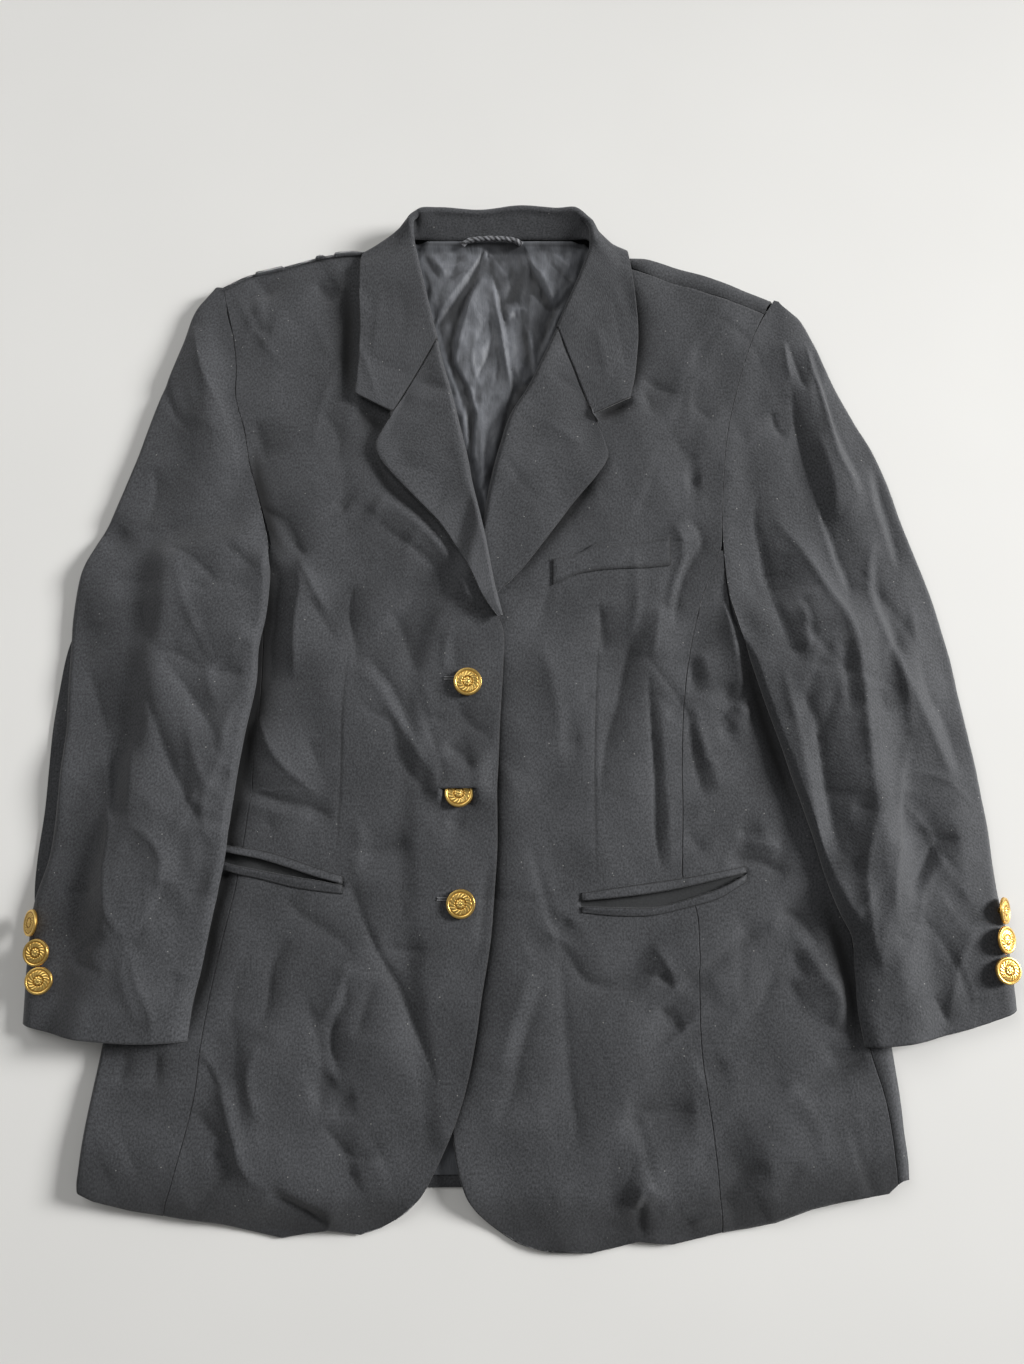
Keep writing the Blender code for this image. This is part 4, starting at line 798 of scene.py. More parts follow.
# Main creases of the left front
LEFT_FRONT_CREASES = [
    (7, -2.8, 1.5, 99, 259, 109, 251, 129, 243), (5, -2.4, 1.3, 101, 251, 108, 224),
    (7, -1.8, 1.6, 143, 257, 141, 234, 156, 220), (6, -3.4, 1.5, 132, 171, 144, 171),
    (9, -1.8, 1.7, 125, 206, 138, 185),
    (6, -3.6, 1.3, 131, 142, 140, 132, 144, 119, 134, 104, 125, 81, 120, 48),
    (7, 2.6, 1.4, 120, 138, 129, 118, 122, 89, 115, 69), (7, -3.6, 1.4, 62, 70, 64, 51, 65, 31),
    (8, -2.8, 1.5, 99, 73, 81, 21, 75, -8, 66, -37, 61, -82), (8, 2.4, 1.5, 110, 69, 106, 48, 102, 26),
    (4, -3.2, 1.2, 99, 18, 101, -26, 103, -65, 103, -106, 106, -136),
    (8, 1.6, 1.6, 108, -5, 110, -52, 112, -97, 113, -133), (5, -3.2, 1.3, 133, 27, 135, -2),
    (6, 3, 1.2, 133, -11, 138, -34, 145, -57), (6, -3.8, 1.3, 130, -12, 134, -52, 141, -84),
    (4, -1.8, 1.3, 113, -19, 126, -8), (10, 2.2, 1.8, 138, 34, 144, 18, 147, 1),
    (8, 4.5, 1.3, 158, 73, 165, 38, 169, 8, 165, -5), (6, 4, 1.4, 165, -9, 171, -15, 178, -15),
    (4, -3, 1.2, 159, 8, 163, -9), (4, -2.6, 1.2, 152, -31, 165, -26), (7, 2.4, 1.5, 145, -49, 151, -75),
    (6, -2.6, 1.5, 126, -106, 137, -122), (4, -2.4, 1.3, 165, -108, 183, -105),
    (7, 2.8, 1.5, 168, -114, 197, -118), (5, -3.2, 1.3, 155, -127, 185, -130, 201, -139),
    (5, -2.4, 1.4, 51, 1, 56, -6), (7, -2, 1.6, 31, -37, 47, -36), (5, -3.4, 1.3, 37, -170, 27, -183),
    (5, -2, 1.4, 27, -183, 15, -188, 4, -193),
    (5, -1.8, 1.2, 27, -183, 30, -206, 34, -260, 38, -301, 40, -323, 29, -341),
    (6, -2.8, 1.4, 27, -183, 35, -195, 50, -216, 69, -219, 100, -210, 112, -218),
    (5, -2.6, 1.3, 100, -210, 113, -219), (6, -4.2, 1.3, 101, -233, 110, -242, 119, -251),
    (8, 2.8, 1.3, 98, -188, 107, -201, 115, -215), (5, -4, 1.3, 117, -222, 135, -208, 163, -188, 186, -174),
    (9, 2.6, 1.6, 123, -211, 141, -196, 167, -178),
    (6, -2.4, 1.4, 156, -244, 164, -246, 175, -237, 184, -220, 190, -201),
    (5, -2.2, 1.4, 130, -282, 150, -272), (8, -3, 1.5, 20, -210, 2, -258, -8, -299, -17, -315),
    (10, 2.4, 1.7, 8, -206, -7, -250, -15, -281), (5, -2.2, 1.4, 77, -307, 85, -319),
    (10, -3.4, 1.6, 76, -303, 100, -308, 127, -306), (5, -2.8, 1.3, 92, -363, 86, -376, 88, -395),
    (5, 2.6, 1.3, 80, -372, 90, -356, 101, -367), (7, -1.6, 1.5, 83, -335, 76, -357, 67, -379),
    (10, -5, 1.5, 118, -376, 147, -365, 160, -351, 180, -345), (8, 2, 1.7, 121, -384, 150, -374),
    (7, -1.8, 1.6, 201, -341, 185, -367), (5, -4, 1.2, 194, -297, 209, -290, 235, -279, 253, -268),
    (8, 2, 1.6, 191, -288, 204, -282, 230, -270), (5, -3.2, 1.3, 193, -163, 208, -170, 223, -191),
    (5, -2.8, 1.3, 202, -193, 210, -214), (6, -2, 1.5, 198, -212, 207, -233),
    (7, 3.4, 1.3, 228, -212, 236, -231, 230, -248), (9, 2.2, 1.6, 200, -175, 220, -205, 233, -229),
    (10, 1.4, 2, -15, -52, 0, -82), (9, 1.8, 1.8, 16, 42, 28, -5, 31, -37),
]
# Main creases of the right sleeve
RIGHT_SLEEVE_CREASES = [
    (9, 5, 1.2, -265, 303, -254, 260, -238, 227, -229, 202, -222, 169),
    (10, 2.5, 1.5, -222, 169, -212, 140, -201, 116, -197, 72, -204, 50),
    (6, 2, 1.2, -204, 50, -221, 33, -237, 18),
    (8, 3.5, 1.2, -204, 9, -222, -22, -225, -52, -235, -75, -236, -99, -226, -119),
    (4, 1.5, 1.2, -239, 15, -230, -14), (6, 2, 1.3, -255, -6, -245, -46, -235, -75),
    (5, -2.6, 1.3, -277, 117, -260, 109, -239, 90, -227, 79), (4, -2.4, 1.3, -231, 117, -217, 106, -206, 96),
    (4, -1.2, 1.3, -319, 90, -291, 87, -273, 87), (4, -1.8, 1.3, -259, 86, -240, 79),
    (7, -2.6, 1.6, -292, 183, -289, 162, -294, 136), (7, -2, 1.6, -310, 131, -327, 114),
    (5, -1.6, 1.4, -296, 71, -284, 40, -280, 32), (4, -1.8, 1.2, -284, 32, -264, 29, -239, 15),
    (5, -3, 1.2, -237, 15, -223, 27, -208, 40), (4, -2.6, 1.2, -237, 15, -224, 14, -211, 15),
    (5, -3, 1.3, -273, 27, -255, 3, -227, -38),
    (6, -3.2, 1.3, -296, 24, -279, -12, -265, -51, -248, -83, -230, -111),
    (6, -3, 1.4, -334, 19, -322, -14, -314, -34),
    (7, 4, 1.2, -320, -42, -311, -73, -307, -103, -307, -139, -301, -166, -286, -185),
    (5, -4, 1.4, -312, -42, -307, -63, -306, -97), (6, 2.4, 1.4, -294, -38, -292, -67, -292, -93),
    (6, 3.6, 1.2, -291, -101, -278, -107, -263, -128, -266, -147, -284, -184),
    (6, -4.2, 1.4, -260, -142, -271, -166, -282, -183),
    (7, 3, 1.2, -284, -189, -276, -219, -267, -238, -266, -257),
    (5, 2.4, 1.2, -283, -183, -270, -176, -253, -171), (5, -2.2, 1.4, -248, -142, -228, -145),
    (5, -2.6, 1.3, -231, -73, -218, -60), (5, -2.4, 1.3, -344, -149, -331, -151, -314, -148),
    (5, -2.6, 1.3, -333, -199, -317, -189, -302, -179), (5, -2.2, 1.3, -330, -200, -316, -204, -303, -208),
    (6, -2.2, 1.5, -251, -208, -252, -229), (16, 2.5, 2, -344, -119, -346, -67, -346, -22),
]
# Main creases of the left sleeve
LEFT_SLEEVE_CREASES = [
    (6, 4.5, 1.15, 231, 288, 235, 266, 243, 234, 247, 216, 254, 186, 263, 168, 265, 155),
    (7, -3.5, 1.4, 238, 278, 247, 234, 255, 204, 266, 182, 273, 155),
    (6, -3, 1.4, 217, 286, 223, 266, 230, 244), (5, 2.4, 1.2, 214, 288, 216, 266, 219, 253),
    (5, -4, 1.2, 218, 251, 221, 219, 226, 191, 235, 159, 242, 131, 250, 102, 256, 87, 255, 61),
    (9, 2.6, 1.6, 237, 208, 247, 170, 250, 135), (4, -2.6, 1.2, 202, 229, 207, 212, 213, 206),
    (6, -3.6, 1.3, 189, 162, 186, 139, 192, 103, 197, 73, 206, 43, 215, 17),
    (7, 4.6, 1.15, 200, 140, 219, 114, 236, 85, 248, 62, 255, 42, 259, 11, 261, -22, 263, -64, 265, -91),
    (8, 3.4, 1.3, 265, -91, 255, -130, 257, -173, 262, -204),
    (5, 2.6, 1.2, 235, 149, 242, 114, 250, 87, 253, 79), (5, -3, 1.3, 219, 77, 222, 59, 223, 36),
    (4, 2.4, 1.2, 219, 71, 219, 40, 217, 29),
    (6, 3.4, 1.2, 277, 124, 272, 87, 274, 62, 279, 48, 286, 33, 295, -4, 296, -35),
    (6, 3.6, 1.15, 296, -35, 287, -64, 282, -108, 275, -151, 276, -173),
    (6, -3, 1.4, 279, 112, 279, 83, 287, 48, 295, 26), (7, 3, 1.3, 277, 182, 279, 155, 287, 124, 295, 95),
    (5, -3.6, 1.3, 282, 182, 288, 149, 295, 118, 297, 95),
    (9, 3.2, 1.4, 284, 33, 308, -19, 323, -55, 329, -71), (7, -2.8, 1.5, 309, 30, 312, 3, 325, -24, 334, -64),
    (5, -3.4, 1.3, 289, -75, 288, -99, 284, -117), (6, -4.2, 1.3, 329, -110, 315, -114, 301, -134, 286, -153),
    (6, 2.4, 1.3, 319, -125, 300, -149, 294, -173), (5, -2.6, 1.3, 248, 40, 249, 9, 250, -19),
    (5, -2.2, 1.4, 273, 3, 277, -19), (5, -2.4, 1.4, 248, -86, 264, -90),
    (6, -2.4, 1.4, 245, -125, 252, -142), (5, -2, 1.4, 274, -179, 287, -187),
    (4, -2.6, 1.2, 301, -223, 309, -236, 313, -245), (8, 2.4, 1.3, 313, -242, 322, -203, 336, -174),
    (5, -3.8, 1.2, 213, 3, 223, -19, 228, -55, 233, -97, 239, -127),
    (7, 2.2, 1.6, 204, 1, 210, -29, 216, -67, 222, -105, 228, -136),
    (6, 2.6, 1.4, 228, -141, 241, -160, 248, -169), (6, -1.8, 1.5, 317, -160, 330, -151),
    (3, -1.6, 1.3, 171, 210, 184, 207),
]
BODY_CREASES = (pressed(RIGHT_FRONT_CREASES + LEFT_FRONT_CREASES, 0.45) + scattered_creases(11, (-300, -390,
    260, 300), 110, 0.9, (2.5, 7), (30, 110), 75.0))
SLEEVE_CREASES_RIGHT = (pressed(RIGHT_SLEEVE_CREASES, 0.45) + scattered_creases(12, (-345, -245, -205, 310),
    50, 0.7, (2.5, 6), (30, 90), 85.0))
SLEEVE_CREASES_LEFT = (pressed(LEFT_SLEEVE_CREASES, 0.45) + scattered_creases(13, (185, -245, 350, 290), 60,
    0.9, (2.5, 6), (30, 90), 105.0))
# Wrinkles of the lining in the neck opening
LINING_CREASES = [
    (4.5, -4.2, 1, -25, 367, -39, 344, -54, 321, -66, 303),
    (4, 3.6, 1, -32, 366, -46, 344, -62, 320, -72, 304), (5, -4, 1.1, -22, 365, -23, 350, -15, 334),
    (9, 4.6, 1, -27, 349, -42, 321, -51, 270, -40, 243),
    (4, -4.4, 1.1, -31, 350, -47, 322, -56, 271, -45, 238),
    (7, 3.2, 1, -26, 347, -18, 314, -13, 286, -8, 252),
    (3.5, -4.2, 1.1, -21, 347, -13, 314, -8, 286, -3, 254),
    (4, -2.6, 1, -26, 334, -24, 283, -33, 260, -36, 234), (4, 3, 1, -13, 314, -8, 286, 0, 260, 9, 254),
    (3.5, -2.6, 1, -18, 314, -9, 327, 1, 325), (3.5, 2.4, 1, -12, 306, -3, 319, 8, 318),
    (3.5, -3.2, 1, 1, 306, 6, 283, 7, 266), (3, 2.4, 1, 5, 308, 11, 284, 12, 268),
    (4, -4.4, 1, -6, 246, 9, 254), (5, 2.2, 1, -10, 262, 4, 270),
    (4, -3.8, 1.1, -37, 236, -39, 209, -39, 186, -31, 142),
    (7, 3.4, 1, -31, 238, -31, 205, -29, 176, -26, 136),
    (4, -3.6, 1.1, -4, 243, -10, 215, -19, 181, -26, 142),
    (4, -4, 1.1, -66, 301, -59, 283, -48, 260, -42, 234, -40, 198),
    (5, 3.2, 1, -71, 300, -63, 276, -53, 252, -47, 222, -43, 190), (3, -2.4, 1, -73, 306, -55, 325),
    (3, -2.4, 1, -63, 344, -43, 351), (4, 2.6, 1, -64, 352, -45, 358), (3, -2.2, 1, -78, 365, -65, 343),
    (5, 2.8, 1, -72, 366, -60, 345), (4, -2.8, 1, 25, 359, 47, 338), (5, 2.8, 1, 28, 366, 50, 345),
    (3, -2, 1, 11, 369, 25, 371), (4, -2.8, 1, 1, 359, 17, 334, 23, 316),
    (5, 2.8, 1, 7, 364, 23, 338, 29, 318), (4, -2.8, 1, 32, 325, 21, 299, 15, 280),
    (5, 2.4, 1, 38, 326, 27, 299, 20, 278), (4, -3, 1, -8, 358, -4, 338, -10, 322),
    (5, 2.6, 1, -14, 362, -9, 345), (4, -2.4, 1, -50, 365, -55, 348),
    (4, 2.6, 1, -35, 300, -38, 270, -31, 250), (3, -2.2, 1, -20, 300, -17, 270, -22, 245),
]
LINING_WRINKLES = (pressed(LINING_CREASES, 0.12) + scattered_creases(21, (-80, 100, 50, 370), 46, 1.2, (2.0,
    3.5), (25, 60), 95.0, 0.5))
NECK_OPENING = [
    (-78, 372), (-74, 330), (-58, 290), (-45, 240), (-32, 180), (-24, 130), (-16, 80), (-30, 80), (-28, 140),
    (-14, 210), (4, 240), (22, 285), (38, 320), (50, 352), (54, 372),
]

# Flat pleats of the lining, and how far they stand up
LINING_PLEATS = [
    (2.6, [(-28, 368), (-19, 330), (-13, 286), (-9, 263), (-7, 248), (-13, 229), (-20, 195), (-31, 165), (-37,
        195), (-34, 229), (-40, 251), (-52, 272), (-47, 298), (-39, 330)]),
    (1.5, [(-24, 366), (-11, 347), (-3, 325), (2, 300), (9, 262), (-3, 246), (-10, 264), (-15, 300), (-20,
        330)]),
    (1.7, [(-82, 372), (-31, 370), (-43, 342), (-55, 326), (-69, 305), (-80, 330)]),
    (1.6, [(6, 371), (52, 370), (45, 344), (30, 322), (19, 338)]),
    (1.3, [(10, 330), (24, 316), (34, 318), (22, 290), (12, 262), (8, 288)]),
    (1.4, [(-40, 250), (-34, 228), (-36, 190), (-42, 196), (-46, 222)]),
]

# Valleys of the fronts beside the sleeves, the collar and the lapels, which are also darkened with painted
# shade
VALLEYS = [
    (19, -7.5, 1.7, -203, 150, -200, 100, -201, 60, -205, 36, -206, 5, -212, -28, -217, -58, -221, -93, -224,
     -127, -231, -165),
    (15, -6, 1.7, -222, -110, -230, -165, -237, -205, -246, -258),
    (12, -5, 1.7, -143, 352, -140, 310, -139, 262, -136, 232), (12, -4, 1.7, -132, 232, -120, 222, -104, 212),
    (8, -3, 1.7, -121, 200, -103, 166, -77, 142, -59, 120),
    (13, -5.5, 1.5, 90, 340, 92, 300, 90, 262, 86, 240), (9, -5, 1.5, 92, 241, 76, 231, 60, 224),
    (11, -5.5, 1.5, 68, 200, 62, 184, 53, 170, 37, 149, 11, 118, -18, 86),
    (12, -5, 1.6, 172, 40, 182, 0, 196, -50, 212, -100), (13, -5, 1.7, 226, -150, 240, -200, 248, -268),
]
# Lines along which a sleeve keeps the light from the fronts, used only for painted shade there
CONTACTS = [
    (15, -5.5, 1.7, -207, 176, -210, 150, -208, 100, -209, 60, -213, 36, -214, 5, -220, -28, -225, -58, -229,
     -93, -232, -127, -239, -165, -246, -210, -254, -262),
    (11, -5, 1.5, -212, 205, -205, 160, -196, 130, -182, 106),
]
# Valley of the left front beside the right one's edge, also darkened with painted shade
OPENING_VALLEY = [(11, -4.6, 1.5, -16, 46, -16, 15, -18, -20, -20, -92, -22, -150, -26, -188, -32, -225, -37,
    -260, -45, -297, -57, -328, -72, -352)]
# Creases pressed into the lapels and the collar's leaf
LAPEL_CREASES = [
    (5, -2.4, 1.3, -86, 253, -70, 249, -50, 241), (8, 1.6, 1.5, -92, 242, -60, 232),
    (6, -1.2, 1.5, -121, 271, -85, 256), (4, -1, 1.3, -103, 182, -80, 179, -64, 174),
    (7, 1.2, 1.6, -96, 196, -66, 190), (6, -1.2, 1.5, 25, 260, 48, 243), (9, 1.4, 1.7, 20, 220, 52, 196),
    (8, -1.2, 1.7, -12, 190, 14, 150), (8, 1.2, 1.8, -52, 205, -38, 150), (9, 1.4, 1.8, -112, 330, -118, 270),
    (10, -1.2, 1.8, 74, 330, 86, 262), (8, 1.2, 1.8, 62, 300, 72, 250), (7, -1, 1.7, -96, 330, -92, 290),
]


# How the layers lie on each other

@dataclass(frozen=True)
class Layers:
    """Walls and gaps of the cloth, and the height of each layer's upper face over the surface.

    Each method takes places x, y in plan and returns a height, or an amount of painted shade from 0 to 1, for
    each of them.
    """

    cloth: float = 2.0
    facing: float = 2.2
    lining: float = 1.0
    gap: float = 0.8
    seam_gap: float = 0.12
    lining_top: float = 3.3
    front_top: float = 10.4
    hem_top: float = 3.4
    back_hem: float = -364.0
    hem_slope: float = 30.0
    back_hem_slope: float = 12.0
    clearance: float = 0.35
    collar_bed: float = 3.2
    collar_slope: float = 40.0
    climb: float = 16.0
    lapel_gap: float = 1.7
    foot: float = 0.5
    bed_ramp: float = 32.0
    lip_rise: float = 6.2
    slit: float = -73.6
    slit_middle: float = -46.8
    slit_half: float = 13.6
    lip_half: float = 12.0
    lip_slope: float = 18.0
    pit: float = 2.3
    tucked_x: float = -46.0
    jet_rise: float = 2.4
    facet: float = 70.0
    facet_height: float = 0.7
    # Strengths and reaches of the painted shade on the fronts
    valley_shade: float = 0.95
    valley_depth: float = 4.5
    crease_shade: float = 0.65
    deepest_shade: float = 0.75
    hem_shade: float = 0.5
    hem_reach: float = 46.0
    body_creases: Creases = Creases(BODY_CREASES, 1.5, 1.7)
    valleys: Creases = Creases(pressed(VALLEYS))
    opening: Creases = Creases(pressed(OPENING_VALLEY))
    contacts: Creases = Creases(pressed(CONTACTS))

    @property
    def overlap_rise(self) -> float:
        """How far a front rises over the other one."""
        return self.cloth + self.gap

    @property
    def lapel_rise(self) -> float:
        """How far a lapel rises over its front."""
        return self.facing + self.lapel_gap

    def bed(self, x: Array, y: Array) -> Array:
        """Lift of everything over the part of the collar that is tucked under the neck."""
        return self.collar_bed * cover(x, y, COLLAR_BED_OUTLINE, self.collar_slope)

    def plain(self, x: Array, y: Array) -> Array:
        """Fronts and sides without their creases: the back's thickness, less past its hem, and broad
        swells."""
        past_back = soft_step((self.back_hem - y) / self.hem_slope)
        level = self.front_top - (self.front_top - self.hem_top) * past_back
        return level + self.bed(x, y) + swells(x, y, SWELLS)

    def floor(self, x: Array, y: Array) -> Array:
        """Lowest that the upper face of the fronts may lie: over the back and its lining, less past the
        hem."""
        past_back = soft_step((self.back_hem - y) / self.back_hem_slope)
        over_back = self.lining_top + self.cloth + self.clearance
        return over_back - (over_back - self.cloth - 0.4) * past_back + self.bed(x, y)

    def front(self, x: Array, y: Array) -> Array:
        """Upper face of the fronts and sides: the plain height and the creases, kept over what lies below."""
        facets = crumple(x, y, 17, self.facet, self.facet_height)
        return soft_floor(self.plain(x, y) + facets + self.body_creases.rise(x, y), self.floor(x, y))

    def sunk(self, x: Array, y: Array, height: Array) -> Array:
        """A front's height, sunk under the pocket mouths and in the valleys beside the sleeves and lapels."""
        sunk = height - self.mouths(x, y) + self.valleys.rise(x, y)
        return soft_floor(sunk, np.minimum(self.floor(x, y), height) + 0.05, 0.2)

    def shade(self, x: Array, y: Array, valleys: Creases | None = None) -> Array:
        """Painted shade of the fronts, how much their colour is darkened: in the valleys beside a layer
        above, at the hem, in troughs, and where a crease would go deeper than the cloth below lets it.

        Args:
            x: Places across.
            y: Places along.
            valleys: Valleys to shade alone, or none for all of these.

        Returns:
            Amounts of painted shade from 0 to 1.
        """
        beside = np.clip(-(valleys or self.valleys).rise(x, y) / self.valley_depth, 0.0, 1.0) ** 1.2
        if valleys:
            return self.valley_shade * beside
        beside = np.maximum(beside, np.clip(-self.contacts.rise(x, y) / self.valley_depth, 0.0, 1.0))
        hem = self.hem_shade * (1.0 - soft_step((y - np.interp(x, *np.transpose(HEM))) / self.hem_reach))
        creases = self.body_creases.rise(x, y)
        lost = np.clip((self.front(x, y) - self.plain(x, y) - creases - 0.6) / 4.0, 0.0, 1.0)
        lost = np.maximum(lost, 0.45 * np.clip(-creases / 6.0, 0.0, 1.0))
        creased = np.minimum(hem + self.crease_shade * lost, self.deepest_shade)
        return np.maximum(self.valley_shade * beside, creased)

    def over(self, x: Array, y: Array) -> Array:
        """Upper face of the right front, which climbs over the left front and the left lapel."""
        underlap = self.overlap_rise * cover(x, y, UNDERLAP_OUTLINE, self.climb)
        lapel = (self.lapel_rise + self.gap) * cover(x, y, LAPEL_LEFT_OUTLINE, self.climb)
        return self.front(x, y) + underlap + lapel

    def lip(self, x: Array, y: Array) -> Array:
        """Rise of the right front over the tucked button, above the buttonhole's line."""
        across = 1.0 - soft_step((np.abs(x - self.tucked_x) - self.lip_half) / self.lip_slope)
        return self.lip_rise * across * (1.0 - soft_step((y - self.slit) / 40.0))

    def lip_below(self, x: Array, y: Array) -> Array:
        """Rise of the right front beside the buttonhole, below its line."""
        across = 1.0 - soft_step((np.abs(x - self.tucked_x) - self.lip_half) / self.lip_slope)
        beside = soft_step((np.abs(x - self.slit_middle) - self.slit_half + 4.0) / 4.0)
        return self.lip_rise * across * beside * (1.0 - soft_step((self.slit - y) / 16.0))

    def mouths(self, x: Array, y: Array) -> Array:
        """How far the fronts sink under the mouths of the hip pockets."""
        shape = np.zeros(np.shape(x))
        for jets in (JETS_RIGHT, JETS_LEFT):
            outline = [(row[0], row[2] + 0.5) for row in jets]
            outline += [(row[0], row[3] - 0.5) for row in reversed(jets)]
            shape = np.maximum(shape, cover(x, y, outline, 2.0))
        return self.pit * shape

    def sleeve_bed(self, x: Array, y: Array) -> Array:
        """What a sleeve lies on: the surface, or the front with a gap."""
        under = np.maximum(cover(x, y, UNDER_SLEEVE_RIGHT, self.bed_ramp),
            cover(x, y, UNDER_SLEEVE_LEFT, self.bed_ramp))
        over_pocket = self.jet_rise * cover(x, y, POCKET_UNDER_SLEEVE, 12.0)
        return (self.front(x, y) + self.gap) * under + over_pocket


LAYERS = Layers()


# Fronts and sides

@dataclass(frozen=True)
class Turn:
    """Edge of a sheet that turns down on a quarter of an ellipse: how wide the turn is, and its steps."""

    reach: float
    steps: int = 7

    def profile(self) -> tuple[Array, Array]:
        """How far in from the edge each column is, and how far down, both as shares; the last is at the
        edge."""
        angles = np.radians(np.linspace(90.0, 0.0, self.steps + 1))
        return 1.0 - np.cos(angles), 1.0 - np.sin(angles)


def ruled(rows: Array, shares: Array) -> Array:
    """Straight rows: inner edge + (outer edge − inner edge) · share.

    Args:
        rows: Rows that start with inner x, y, outer x, y.
        shares: Shares of a row, the same for all rows, or a row of them for each one.

    Returns:
        Points x, y, rows × columns × 2.
    """
    shares = np.broadcast_to(shares, (len(rows), np.shape(shares)[-1]))[..., None]
    return rows[:, None, :2] + (rows[:, None, 2:4] - rows[:, None, :2]) * shares


def turned_shares(width: Array, turn: Turn, spacing: float) -> tuple[Array, Array]:
    """Shares of rows whose outer edge turns down, and how far down each column is.

    Args:
        width: Width of each row.
        turn: The turn at the outer edge.
        spacing: Distance between the other columns.

    Returns:
        Shares, rows × columns, and shares of the drop, one for each column.
    """
    width = width[:, None]
    reach = np.minimum(turn.reach, 0.45 * width)
    inset, down = turn.profile()
    plain = np.linspace(0.0, 1.0, max(int(round(float(width.mean()) / spacing)), 3))[None, :-1]
    across = np.hstack([plain * (width - reach), width - reach * inset])
    return across / width, np.concatenate([np.zeros(plain.shape[1]), down])


def fit_edge(plan: Array, places: Array, line: Rows, row: int = -1, reach: float = 34.0) -> None:
    """Move a piece so that its first or last row follows a line, fading away from it.

    Args:
        plan: Points of the piece, changed in place.
        places: How far along the piece each row is.
        line: Points x, y of the line.
        row: The row that follows it, 0 or -1.
        reach: How far the move reaches into the piece.
    """
    along_x, along_y = np.asarray(sorted(line), float).T
    fade = soft_step(1.0 - np.abs(places - places[row]) / reach)[:, None]
    plan[..., 1] += fade * (np.interp(plan[row, :, 0], along_x, along_y) - plan[row, :, 1])


def bow_down(plan: Array, places: Array, shares: Array, bow: float, reach: float) -> None:
    """Let the last rows of a piece bow down in the middle: bow · 4 · share · (1 − share), fading up the
    piece."""
    fade = soft_step(1.0 - (places[-1] - places) / reach)[:, None]
    plan[..., 1] -= fade * bow * 4.0 * shares * (1.0 - shares)


